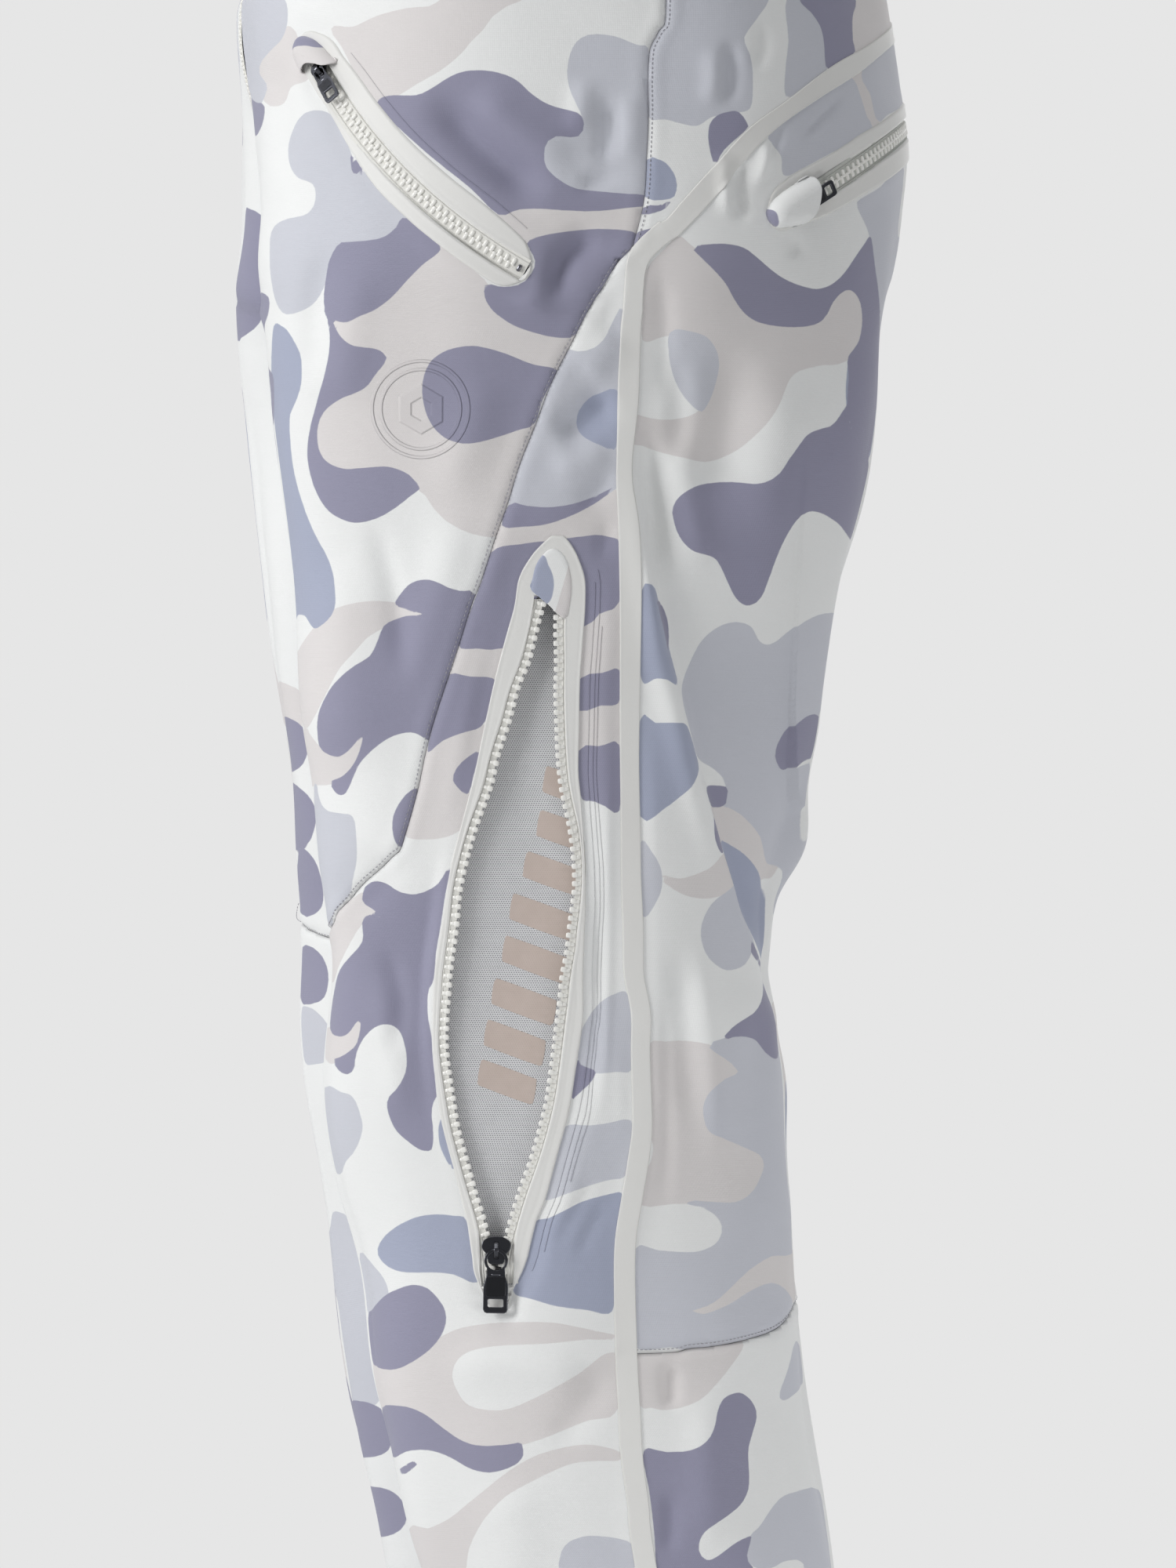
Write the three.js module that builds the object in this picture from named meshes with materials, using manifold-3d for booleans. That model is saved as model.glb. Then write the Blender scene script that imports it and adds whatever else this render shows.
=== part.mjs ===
// Insulated ski pants, adult size M. Millimetres, +Z up, +X wearer's left, -Y front.
// The origin is the middle of the waist in the plane of the waistband's top edge.
import * as THREE from 'three';
import Module from 'manifold-3d';

const wasm = await Module();
wasm.setup();

// ---- driving dimensions -------------------------------------------------
const HEM_Z = -1050;            // outseam
const BAND_H = 38;              // waistband height
const CLOTH_T = 2;              // shell, insulation and lining together
const GAP = 0.2;                // half the gap at a butt seam
const TAPE_LIFT = 0.9;          // bonded tapes sit this far above the cloth
const FRAME_LIFT = 1.2;         // bonded zip frames likewise
const TAPE_T = 0.8;
const FRAME_T = 1.0;
const CHAIN_HALF = 3.5;         // half width of closed teeth
const CHAIN_TAPE = 4.6;         // half width of the pocket chain with its tape
const CHAIN_W = 1.3;            // half thickness of the teeth
const SLOT_HALF = 5.2;          // half width of the slot in frame and cloth
const SLIT = 0.5;               // half width of the line between the tooth rows
const VENT_TAPE = 5.0;          // tape beside each vent tooth row
const TOOTH_W = 3.0;            // depth of a vent tooth row across
const PITCH = 4.3;              // vent tooth pitch
const LINING_DROP = 6.5;        // mesh and pocket bags hang this far inside
const GAITER_TOP = -862, GAITER_BOTTOM = -1040;

// Body of one half: values at the heights Z. XO outer side, XF/XB corner of front and
// back, XI inseam, YF/YB front and back, YS side, YCF/YCB centre seams, K how far the
// half has closed into a leg, NE roundness of the outer side.
const BODY = {
  Z: [0, -22, -44, -72, -100, -140, -172, -207, -237, -272, -307, -352, -412, -472, -522, -562, -592, -622, -662, -702, -742, -794, -842, -900, -972, -1050],
  XO: [155, 157, 159, 164, 169, 174, 176, 177, 177, 175, 173, 171, 169, 168, 168, 168, 168, 169, 171, 173, 175, 178, 181, 185, 190, 195],
  XF: [26, 26, 26, 26, 27, 29, 34, 45, 62, 78, 86, 90, 92, 95, 98, 100, 102, 104, 106, 109, 112, 115, 119, 123, 128, 134],
  XB: [26, 26, 27, 28, 30, 38, 50, 64, 74, 82, 87, 90, 92, 95, 98, 100, 102, 104, 106, 109, 112, 115, 119, 123, 128, 134],
  XI: [0, 0, 0, 0, 0, 0, 0, 0, 0, 0.5, 7, 12, 17, 23, 28, 32, 35, 38, 42, 45, 48, 52, 57, 62, 67, 73],
  YF: [-140, -145, -151, -162, -171.08, -168.25, -166.58, -164.38, -166.32, -163.88, -159.04, -155.17, -149.38, -145.37, -139.67, -136.29, -134.46, -133.45, -130.83, -124.94, -118.11, -111.76, -100.73, -84.83, -66, -52],
  YB: [138, 141, 146, 156, 162.06, 167.62, 169.22, 165.16, 159.25, 148.55, 143.42, 134.76, 124.78, 115.51, 104.81, 96.11, 91.78, 100.13, 101.44, 103.14, 104.14, 109.15, 114.34, 120.37, 130, 136],
  YS: [3, 2, 1.5, 1, -0.51, 3.69, 5.32, 4.39, 0.46, -3.67, -3.81, -6.2, -8.3, -10.93, -13.43, -16.09, -17.34, -12.66, -10.7, -6.9, -2.99, 2.69, 10.81, 21.77, 36, 46],
  YCF: [-140, -145, -151, -162, -171.08, -166.75, -152, -130, -95, 8, 5, 0, -3, -5, -7, -9, -10, -10, -8, -5, 0, 4, 10, 18, 30, 42],
  YCB: [138, 141, 146, 155, 159.06, 159.62, 155, 143, 110, 12, 5, 0, -3, -5, -7, -9, -10, -10, -8, -5, 0, 4, 10, 18, 30, 42],
  K: [0, 0, 0, 0, 0, 0, 0.1, 0.3, 0.6, 1, 1, 1, 1, 1, 1, 1, 1, 1, 1, 1, 1, 1, 1, 1, 1, 1],
  NE: [2, 2, 2, 2.05, 2.1, 2.15, 2.2, 2.2, 2.2, 2.2, 2.2, 2.2, 2.2, 2.2, 2.2, 2.2, 2.2, 2.2, 2.2, 2.2, 2.2, 2.2, 2.2, 2.2, 2.2, 2.2],
};

// Seams and edges as [u, z]: u runs 0..4 from the centre front or inseam round the
// outer side to the centre back.
const SIDE_SEAM = [[2.1185, -105.1], [2.0913, -121.57], [2.0684, -132], [2.056, -156.22], [2.0509, -181.15], [2.0499, -204.05], [2.0412, -226.55], [2.0393, -230.5]];
const DIAG_SEAM = [[2.0393, -230.5], [2.0159, -239.22], [2.0001, -252.23], [1.9679, -274.28], [1.9211, -299.86], [1.8928, -319.53], [1.8626, -340.39], [1.8408, -358.5], [1.8149, -375.04], [1.7798, -397.88], [1.7567, -409.69], [1.7231, -430.97], [1.7006, -444.37], [1.6395, -477.5], [1.5992, -501.97], [1.5595, -520.93], [1.5285, -533.58]];
const KNEE_DART = [[1.5285, -533.58], [1.4273, -543.51], [1.315, -553.89], [1.2085, -563.91], [1.0751, -572.45]];
const TAPE_FRONT = [[2.0354, -236.03], [2.0403, -256.87], [2.0355, -302.88], [2.042, -342.25], [2.0548, -376.91], [2.0735, -447.9], [2.0878, -493.29], [2.1098, -538.29], [2.1369, -578.96], [2.1409, -605.8], [2.1266, -633.01], [2.1206, -669.25], [2.0967, -690.49], [2.0699, -709.75], [2.0388, -735.28], [2.0155, -782.42], [2.0021, -813.43], [1.9901, -836.57], [1.9846, -861.66], [1.9728, -893.4]];
const TAPE_BACK = [[2.0733, -235.94], [2.078, -256.8], [2.078, -302.81], [2.0752, -342.21], [2.1022, -376.87], [2.1234, -447.88], [2.1372, -493.29], [2.1662, -538.31], [2.2006, -579], [2.2018, -605.86], [2.1833, -633.07], [2.1796, -669.33], [2.1593, -690.58], [2.1311, -709.83], [2.0983, -735.37], [2.0746, -782.51], [2.0588, -813.52], [2.0429, -836.66], [2.0353, -861.75], [2.0237, -893.49]];
const YOKE_LOW = [[2.0725, -239.89], [2.1229, -223.96], [2.2017, -199.55], [2.2794, -176.51], [2.3759, -160.24], [2.5431, -142], [2.8158, -120.54]];
const YOKE_UP = [[2.0403, -229.71], [2.0898, -216.57], [2.1204, -206.21], [2.1774, -188.98], [2.2511, -169.14], [2.3468, -154.49], [2.4702, -137.63], [2.5968, -126.35], [2.8485, -110.17]];
const CALF_SEAM = [[2.0132, -786.35], [2.1762, -785.86], [2.2359, -784.05], [2.3428, -782.82], [2.513, -779.15], [2.6486, -775.44], [2.8687, -766.28]];
const VENT_FRONT = [[1.9262, -376.21], [1.9106, -379.76], [1.8897, -385.67], [1.8648, -396.31], [1.8549, -410.5], [1.8427, -420.75], [1.8281, -432.97], [1.8112, -447.95], [1.7881, -470.42], [1.7628, -493.3], [1.7432, -507.1], [1.7177, -523.67], [1.6914, -540.64], [1.674, -559.18], [1.6571, -574.97], [1.6417, -588], [1.6305, -599.45], [1.6106, -623.13], [1.6102, -638.11], [1.6155, -657.81], [1.6206, -671.59], [1.6397, -694.4], [1.6498, -708.56], [1.6572, -719.57], [1.6574, -732.56], [1.6577, -738.46], [1.6587, -746.32], [1.6726, -751.41], [1.6997, -755.31]];
const VENT_BACK = [[1.9598, -376.2], [1.9704, -379.74], [1.9824, -385.64], [1.9955, -396.27], [1.9978, -410.46], [1.9971, -420.72], [1.996, -432.94], [1.9947, -447.93], [1.9968, -470.41], [1.9988, -493.29], [2.0049, -507.1], [2.0129, -523.67], [2.023, -540.64], [2.0314, -559.18], [2.0336, -574.96], [2.0344, -587.98], [2.0302, -599.42], [2.0074, -623.06], [1.9961, -638.02], [1.9801, -657.69], [1.9624, -671.46], [1.9207, -694.26], [1.8928, -708.42], [1.863, -719.43], [1.8369, -732.41], [1.8251, -738.31], [1.8027, -746.18], [1.7819, -751.3], [1.7384, -755.26]];
const TEETH_FRONT = [[1.9222, -408.92], [1.9167, -414.04], [1.9116, -418.77], [1.9041, -427.05], [1.8919, -439.27], [1.8704, -451.5], [1.8517, -468.45], [1.8251, -485.8], [1.8066, -501.58], [1.7658, -522.88], [1.7389, -540.63], [1.7221, -555.22], [1.7133, -571], [1.6999, -586.39], [1.683, -603.76], [1.6652, -618.75], [1.6588, -635.7], [1.6695, -657.75], [1.6761, -673.1], [1.6883, -688.05], [1.701, -703.38], [1.7158, -717.14], [1.7219, -726.97], [1.725, -734.05], [1.7247, -738.77], [1.721, -745.85]];
const TEETH_BACK = [[1.9398, -408.91], [1.9404, -414.04], [1.9409, -418.77], [1.9421, -427.04], [1.9451, -439.27], [1.9454, -451.49], [1.9495, -468.45], [1.9551, -485.8], [1.964, -501.58], [1.9856, -522.88], [1.9979, -540.63], [2.0006, -555.22], [1.9966, -571], [1.9919, -586.38], [1.975, -603.72], [1.9542, -618.69], [1.9396, -635.63], [1.9198, -657.66], [1.8957, -673.01], [1.8647, -687.96], [1.8254, -703.31], [1.7917, -717.08], [1.7685, -726.93], [1.7526, -734.02], [1.7443, -738.75], [1.7357, -745.83]];
const VENT_ARC = [[1.9303, -410.1], [1.8628, -572.55], [1.7355, -736.4]];
const HAND_UP = [[1.3476, -115.57], [1.4286, -121.81], [1.4673, -132.65], [1.5039, -143.01], [1.5476, -156.17], [1.6205, -175.78], [1.6994, -193.61], [1.7764, -208.87], [1.844, -223.18], [1.8745, -231.87], [1.8847, -239.36]];
const HAND_LOW = [[1.3164, -128.4], [1.3351, -135.08], [1.3588, -143.81], [1.4241, -162.61], [1.4713, -179.43], [1.5325, -199.04], [1.6068, -214.58], [1.671, -225.96], [1.7595, -240.82], [1.8252, -250.35], [1.867, -249.58]];
const HAND_ARC = [[1.386, -133.72], [1.595, -193.88], [1.8531, -240.53]];
const BACK_CHAIN = [[2.3411, -213.47], [2.4237, -202.17], [2.5201, -190.17], [2.6334, -178.55], [2.8051, -167.08]];
const BACK_UP = [[2.2951, -203.42], [2.3615, -189.87], [2.4522, -180.35], [2.5671, -167.97], [2.7916, -152.48]];
const BACK_LOW = [[2.3275, -223.87], [2.4829, -211.71], [2.5859, -202.03], [2.6698, -194.76], [2.7951, -183.58]];

const COL = { white: 0xe9e9e7, shell: 0xd6d6da, tape: 0xe6e5e1, metal: 0x4a4c52, band: 0xd9d8d6, mesh: 0xc9c9cc, teeth: 0xf0f0ee, lining: 0xb9bac0, rubber: 0xe8e7e4 };

// ---- surface ------------------------------------------------------------
const ZK = BODY.Z.map((v) => -v);
const SLOPES = {};
for (const k of Object.keys(BODY)) {
  if (k === 'Z') continue;
  const V = BODY[k], m = new Array(V.length).fill(0), h = [], d = [];
  for (let i = 0; i < V.length - 1; i++) { h.push(ZK[i + 1] - ZK[i]); d.push((V[i + 1] - V[i]) / h[i]); }
  m[0] = d[0]; m[V.length - 1] = d[d.length - 1];
  for (let j = 1; j < V.length - 1; j++) {
    if (d[j - 1] * d[j] <= 0) continue;
    const w1 = 2 * h[j] + h[j - 1], w2 = h[j] + 2 * h[j - 1];
    m[j] = (w1 + w2) / (w1 / d[j - 1] + w2 / d[j]);
  }
  SLOPES[k] = m;
}
function val(k, z) {
  const x = Math.min(Math.max(-z, ZK[0]), ZK[ZK.length - 1]);
  let i = 0;
  while (i < ZK.length - 2 && x >= ZK[i + 1]) i++;
  const h = ZK[i + 1] - ZK[i], t = (x - ZK[i]) / h, V = BODY[k], m = SLOPES[k];
  return (1 + 2 * t) * (1 - t) ** 2 * V[i] + t * (1 - t) ** 2 * h * m[i] + t * t * (3 - 2 * t) * V[i + 1] + t * t * (t - 1) * h * m[i + 1];
}
function surf(u, z) {
  const p = {};
  for (const k of Object.keys(SLOPES)) p[k] = val(k, z);
  const e = 2 / p.NE, seg = Math.min(Math.max(Math.floor(u), 0), 3), t = (u - seg) * Math.PI / 2;
  const c = Math.max(Math.cos(t), 0), s = Math.max(Math.sin(t), 0);
  let x, y;
  if (seg === 0) { const g = (1 - p.K) * (1 - t / (Math.PI / 2)) + p.K * c; x = p.XF - (p.XF - p.XI) * g; y = p.YF + (p.YCF - p.YF) * (1 - s); }
  else if (seg === 1) { x = p.XF + (p.XO - p.XF) * s ** e; y = p.YS - (p.YS - p.YF) * c ** e; }
  else if (seg === 2) { x = p.XB + (p.XO - p.XB) * c ** e; y = p.YS + (p.YB - p.YS) * s ** e; }
  else { const g = (1 - p.K) * (t / (Math.PI / 2)) + p.K * s; x = p.XB - (p.XB - p.XI) * g; y = p.YB - (p.YB - p.YCB) * (1 - c); }
  return new THREE.Vector3(x, y, z);
}
function normal(u, z) {
  const u0 = Math.max(u - 0.02, 0), u1 = Math.min(u + 0.02, 4);
  const du = surf(u1, z).sub(surf(u0, z)), dz = surf(u, z + 2).sub(surf(u, z - 2));
  return du.cross(dz).normalize();
}
function P(u, z, o) {
  const p = surf(u, z).addScaledVector(normal(u, z), o);
  if (z > -274) p.x = Math.max(p.x, 0.2);
  return p;
}
const scaleU = (u, z) => surf(u + 0.01, z).distanceTo(surf(u - 0.01, z)) / 0.02;

// ---- tables -------------------------------------------------------------
function look(arr, key, out, q) {
  const a = arr.slice().sort((m, n) => m[key] - n[key]);
  let i = 0;
  while (i < a.length - 2 && q > a[i + 1][key]) i++;
  const t = (q - a[i][key]) / (a[i + 1][key] - a[i][key]);
  return a[i][out] + (a[i + 1][out] - a[i][out]) * t;
}
const uAt = (arr, z) => look(arr, 1, 0, z);
const zAt = (arr, u) => look(arr, 0, 1, u);
const SIDE_TOP = [[2.17, 0], ...SIDE_SEAM];
const YOKE_LO = [...YOKE_LOW, [3.3, -104], [4.01, -94]];
const YOKE_HI = [...YOKE_UP, [3.3, -93], [4.01, -83]];
const DART = [...KNEE_DART, [0.5, -585], [-0.01, -588]];
const CALF = [...CALF_SEAM, [3.4, -745], [4.01, -738]];
const DIAG_TOP = DIAG_SEAM[0][1];
const DIAG_END = DIAG_SEAM[DIAG_SEAM.length - 1];
const TF = [...TAPE_FRONT, [1.955, -1050]], TB = [...TAPE_BACK, [2.006, -1050]];
const seamU = (z) => (uAt(TF, z) + uAt(TB, z)) / 2;
const yokeZ = (u) => (zAt(YOKE_LO, u) + zAt(YOKE_HI, u)) / 2;
const frontU = (z) => (z > DIAG_TOP ? uAt(SIDE_TOP, z) : z < DIAG_END[1] ? DIAG_END[0] : uAt(DIAG_SEAM, z));
const dartZ = (u) => (u > DIAG_END[0] ? DIAG_END[1] : zAt(DART, u));
const sideU = (z) => (z > -236 ? uAt(SIDE_TOP, Math.max(z, -236)) + (z < -230 ? 0.004 : 0) : seamU(z));

// ---- solids -------------------------------------------------------------
function solid(verts, tris) {
  const key = new Map(), vp = [], remap = verts.map((v) => {
    const k = `${Math.round(v.x * 5e3)},${Math.round(v.y * 5e3)},${Math.round(v.z * 5e3)}`;
    if (!key.has(k)) { key.set(k, vp.length / 3); vp.push(v.x, v.y, v.z); }
    return key.get(k);
  });
  const tv = [];
  for (const [a, b, c] of tris) { const A = remap[a], B = remap[b], D = remap[c]; if (A !== B && B !== D && A !== D) tv.push(A, B, D); }
  let vol = 0;
  for (let i = 0; i < tv.length; i += 3) {
    const g = (j) => new THREE.Vector3(vp[3 * tv[j]], vp[3 * tv[j] + 1], vp[3 * tv[j] + 2]);
    vol += g(i).dot(g(i + 1).cross(g(i + 2)));
  }
  if (vol < 0) for (let i = 0; i < tv.length; i += 3) [tv[i + 1], tv[i + 2]] = [tv[i + 2], tv[i + 1]];
  return new wasm.Manifold(new wasm.Mesh({ numProp: 3, vertProperties: new Float32Array(vp), triVerts: new Uint32Array(tv) }));
}
// rows[i][j] = [outer point, inner point]; wrap closes the columns into a tube
function gridSolid(rows, wrap = false) {
  const R = rows.length, n = rows[0].length, v = [], t = [];
  for (const r of rows) for (const [a, b] of r) v.push(a, b);
  const id = (i, j, k) => 2 * (i * n + (j % n)) + k;
  const cols = wrap ? n : n - 1;
  for (let i = 0; i < R - 1; i++) for (let j = 0; j < cols; j++) {
    t.push([id(i, j, 0), id(i + 1, j, 0), id(i, j + 1, 0)], [id(i, j + 1, 0), id(i + 1, j, 0), id(i + 1, j + 1, 0)]);
    t.push([id(i, j, 1), id(i, j + 1, 1), id(i + 1, j, 1)], [id(i, j + 1, 1), id(i + 1, j + 1, 1), id(i + 1, j, 1)]);
  }
  for (let j = 0; j < cols; j++) {
    t.push([id(0, j, 0), id(0, j + 1, 0), id(0, j, 1)], [id(0, j + 1, 0), id(0, j + 1, 1), id(0, j, 1)]);
    t.push([id(R - 1, j, 0), id(R - 1, j, 1), id(R - 1, j + 1, 0)], [id(R - 1, j + 1, 0), id(R - 1, j, 1), id(R - 1, j + 1, 1)]);
  }
  if (!wrap) for (let i = 0; i < R - 1; i++) {
    t.push([id(i, 0, 0), id(i, 0, 1), id(i + 1, 0, 0)], [id(i + 1, 0, 0), id(i, 0, 1), id(i + 1, 0, 1)]);
    t.push([id(i, n - 1, 0), id(i + 1, n - 1, 0), id(i, n - 1, 1)], [id(i + 1, n - 1, 0), id(i + 1, n - 1, 1), id(i, n - 1, 1)]);
  }
  return solid(v, t);
}
// a strip on the surface between two edges given point for point
function strip(a, b, cols, top, bottom, shift = () => 0) {
  return gridSolid(a.map((p, i) => {
    const q = b[i], r = [];
    for (let j = 0; j <= cols; j++) {
      const u = p[0] + (q[0] - p[0]) * j / cols, z = p[1] + (q[1] - p[1]) * j / cols, s = shift(u, z);
      r.push([P(u, z, top + s), P(u, z, bottom + s)]);
    }
    return r;
  }));
}
// the cloth between clip functions (kept where every function is above 0)
const US = [0.0015, 0.33, 0.67, 1, 1.25, 1.5, 1.75, 2, 2.25, 2.5, 2.75, 3, 3.33, 3.67, 3.9985];
const ZS = [-BAND_H - 1.6, -85, -130, -175, -215, -242, -258, -272, -300, -350, -410, -470, -525, -565, -600, -650, -710, -780, -860, -950, HEM_Z];
function panel(clips) {
  const v = [], idx = new Map(), tris = [], edges = new Map();
  const vid = (u, z) => {
    const k = `${u.toFixed(5)},${z.toFixed(3)}`;
    if (!idx.has(k)) { idx.set(k, v.length); v.push(P(u, z, 0), P(u, z, -CLOTH_T)); }
    return idx.get(k);
  };
  for (let i = 0; i < US.length - 1; i++) for (let j = 0; j < ZS.length - 1; j++) {
    let poly = [[US[i], ZS[j]], [US[i], ZS[j + 1]], [US[i + 1], ZS[j + 1]], [US[i + 1], ZS[j]]];
    for (const f of clips) {
      const g = poly.map(([u, z]) => { const q = f(u, z); return Math.abs(q) < 0.1 ? 0 : q; });
      const out = [];
      for (let k = 0; k < poly.length; k++) {
        const m = (k + 1) % poly.length, A = poly[k], B = poly[m], ga = g[k], gb = g[m];
        if (ga >= 0) out.push(A);
        if ((ga > 0 && gb < 0) || (ga < 0 && gb > 0)) { const t = ga / (ga - gb); out.push([A[0] + (B[0] - A[0]) * t, A[1] + (B[1] - A[1]) * t]); }
      }
      poly = out;
      if (poly.length < 3) break;
    }
    if (poly.length < 3) continue;
    const ids = poly.map(([u, z]) => vid(u, z)).filter((a, k, s) => a !== s[(k + 1) % s.length]);
    if (ids.length < 3) continue;
    for (let k = 1; k < ids.length - 1; k++) tris.push([ids[0], ids[k], ids[k + 1]]);
    for (let k = 0; k < ids.length; k++) {
      const a = ids[k], b = ids[(k + 1) % ids.length], e = `${b},${a}`;
      if (edges.has(e)) edges.delete(e); else edges.set(`${a},${b}`, [a, b]);
    }
  }
  const all = [];
  for (const [a, b, c] of tris) all.push([a, b, c], [a + 1, c + 1, b + 1]);
  for (const [a, b] of edges.values()) all.push([a, a + 1, b], [b, a + 1, b + 1]);
  return solid(v, all);
}

// ---- arcs that the zips run on -----------------------------------------
function arcOf(p) {
  const [a, b, c] = p, ab = b.clone().sub(a), ac = c.clone().sub(a), n = ab.clone().cross(ac), nn = n.lengthSq();
  const o = a.clone().add(n.clone().cross(ab).multiplyScalar(ac.lengthSq()).add(ac.clone().cross(n).multiplyScalar(ab.lengthSq())).divideScalar(2 * nn));
  const axis = n.clone().normalize(), R = a.distanceTo(o), r0 = a.clone().sub(o).normalize(), s0 = axis.clone().cross(r0);
  const rc = c.clone().sub(o).normalize();
  let total = Math.atan2(rc.dot(s0), rc.dot(r0));
  return { o, axis, R, r0, s0, total, length: R * total };
}
// w0 is the outward direction half way; frame(d) is the frame d millimetres from the start
function track(points, w0) {
  const A = arcOf(points);
  const raw = (d) => {
    const th = d / A.R, r = A.r0.clone().multiplyScalar(Math.cos(th)).addScaledVector(A.s0, Math.sin(th));
    return { p: A.o.clone().addScaledVector(r, A.R), t: A.axis.clone().cross(r), r };
  };
  const mid = raw(A.length / 2), w = w0.clone().addScaledVector(mid.t, -w0.dot(mid.t)).normalize();
  const cr = w.dot(mid.r), ca = w.dot(A.axis);
  A.frame = (d) => {
    const f = raw(d), W = f.r.clone().multiplyScalar(cr).addScaledVector(A.axis, ca);
    return { p: f.p, t: f.t, w: W, b: f.t.clone().cross(W) };
  };
  return A;
}
function arcSweep(A, d0, d1, n, profile) {
  const v = [], t = [], m = profile.length;
  for (let i = 0; i <= n; i++) { const f = A.frame(d0 + (d1 - d0) * i / n); for (const [b, w] of profile) v.push(f.p.clone().addScaledVector(f.b, b).addScaledVector(f.w, w)); }
  for (let i = 0; i < n; i++) for (let j = 0; j < m; j++) { const a = i * m + j, b = i * m + (j + 1) % m; t.push([a, a + m, b], [b, a + m, b + m]); }
  const caps = THREE.ShapeUtils.triangulateShape(profile.map(([b, w]) => new THREE.Vector2(b, w)), []);
  const ccw = THREE.ShapeUtils.area(profile.map(([b, w]) => new THREE.Vector2(b, w))) > 0;
  for (const c of caps) { const [x, y, z] = ccw ? c : [c[0], c[2], c[1]]; t.push([x, y, z], [n * m + x, n * m + z, n * m + y]); }
  return solid(v, t);
}
// extrudes [x, y] outlines by depth and places x, y, z on the three given axes
function block(shape, depth, place, holes = [], bevel = 0) {
  const s = new THREE.Shape(shape.map(([x, y]) => new THREE.Vector2(x, y)));
  for (const h of holes) s.holes.push(new THREE.Path(h.map(([x, y]) => new THREE.Vector2(x, y))));
  const g = new THREE.ExtrudeGeometry(s, { depth: depth - 2 * bevel, bevelEnabled: bevel > 0, bevelThickness: bevel, bevelSize: bevel, bevelOffset: -bevel, bevelSegments: 1, steps: 1 });
  const q = g.attributes.position, v = [], t = [];
  for (let i = 0; i < q.count; i++) v.push(place(q.getX(i), q.getY(i), q.getZ(i) + bevel));
  for (let i = 0; i < q.count; i += 3) t.push([i, i + 1, i + 2]);
  return solid(v, t);
}
const circle = (cx, cy, r, n = 16, ph = 0) => Array.from({ length: n }, (_, i) => [cx + r * Math.cos(2 * Math.PI * (i + ph) / n), cy + r * Math.sin(2 * Math.PI * (i + ph) / n)]);
function rounded(x0, y0, x1, y1, r, n = 3) {
  const out = [], c = [[x1 - r, y1 - r, 0], [x0 + r, y1 - r, 1], [x0 + r, y0 + r, 2], [x1 - r, y0 + r, 3]];
  for (const [x, y, q] of c) for (let i = 0; i <= n; i++) { const a = (q + i / n) * Math.PI / 2; out.push([x + r * Math.cos(a), y + r * Math.sin(a)]); }
  return out;
}
const join = (list) => list.reduce((a, b) => a.add(b));

// ---- sliders and pullers -----------------------------------------------
// Local axes: b across the chain, t along it, w away from the wearer. dir is +1 when
// the puller lies towards +t.
const CROWN_R = 1.35;
function slider(f, half, len, ridge, flange, web, clear = 0.35) {
  const at = (b, t, w) => f.p.clone().addScaledVector(f.b, b).addScaledVector(f.t, t).addScaledVector(f.w, w);
  const lo = ridge + clear, hi = lo + 1.2, parts = [];
  const plate = rounded(-half, -len / 2, half, len / 2, half * 0.45, 2);
  parts.push(block(plate, 1.2, (x, y, z) => at(x, y, lo + z)));
  parts.push(block(plate, 1.2, (x, y, z) => at(x, y, -hi + z)));
  parts.push(block([[-web, -len * 0.35], [web, -len * 0.35], [web, len * 0.35], [-web, len * 0.35]], 2 * lo + 0.8, (x, y, z) => at(x, y, z - lo - 0.4)));
  if (flange) for (const s of [-1, 1]) for (const k of [-1, 1]) {
    const a = s > 0 ? flange : -half + 0.15, b = s > 0 ? half - 0.15 : -flange;
    parts.push(block([[a, -len * 0.28], [b, -len * 0.28], [b, len * 0.28], [a, len * 0.28]], lo + 0.3 - 0.75, (x, y, z) => at(x, y, k > 0 ? 0.75 + z : -0.75 - z)));
  }
  const cw = hi + 0.3 + CROWN_R, base = [];
  for (let i = 0; i <= 6; i++) { const a = Math.PI * i / 6; base.push([(CROWN_R + 1.1) * Math.cos(a), cw + (CROWN_R + 1.1) * Math.sin(a)]); }
  base.push([-CROWN_R - 2.2, hi - 0.4], [CROWN_R + 2.2, hi - 0.4]);
  parts.push(block(base, 2.4, (x, y, z) => at(z - 1.2, x, y), [circle(0, cw, CROWN_R, 10)]));
  return { body: join(parts), pivot: at(0, 0, cw), f, cw };
}
function puller(s, outline, holes, thick, dir) {
  const f = s.f, at = (b, t, w) => s.pivot.clone().addScaledVector(f.b, b).addScaledVector(f.t, t * dir).addScaledVector(f.w, w);
  return block(outline, thick, (x, y, z) => at(x, y, z - thick / 2), holes);
}
// big ring-topped puller of the vent: ring centre a ring radius from the pivot
function ventPullerShape() {
  const out = [], R = 6.0, c = 5.1;
  for (let i = 0; i <= 12; i++) { const a = (-40 + 260 * i / 12) * Math.PI / 180; out.push([R * Math.cos(a), c - R * Math.sin(a) * 1.0]); }
  const top = out.map(([x, y]) => [x, y]);
  top.push([-4.6, 12.5], [-6.2, 17], [-6.2, 30], [-4.7, 31.5], [4.7, 31.5], [6.2, 30], [6.2, 17], [4.6, 12.5]);
  return { outline: top, holes: [circle(0, c + 0.3, 4.6, 14), rounded(-3.9, 24.2, 3.9, 28.2, 0.9, 2)] };
}
function smallPullerShape() {
  return { outline: [[-3.0, -0.7], [3.0, -0.7], [3.6, 0.6], [3.6, 6.5], [4.3, 8.5], [4.3, 19], [3.2, 20.4], [-3.2, 20.4], [-4.3, 19], [-4.3, 8.5], [-3.6, 6.5], [-3.6, 0.6]], holes: [[[-2.3, 0.7], [2.3, 0.7], [2.3, 5.6], [-2.3, 5.6]]] };
}
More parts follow.
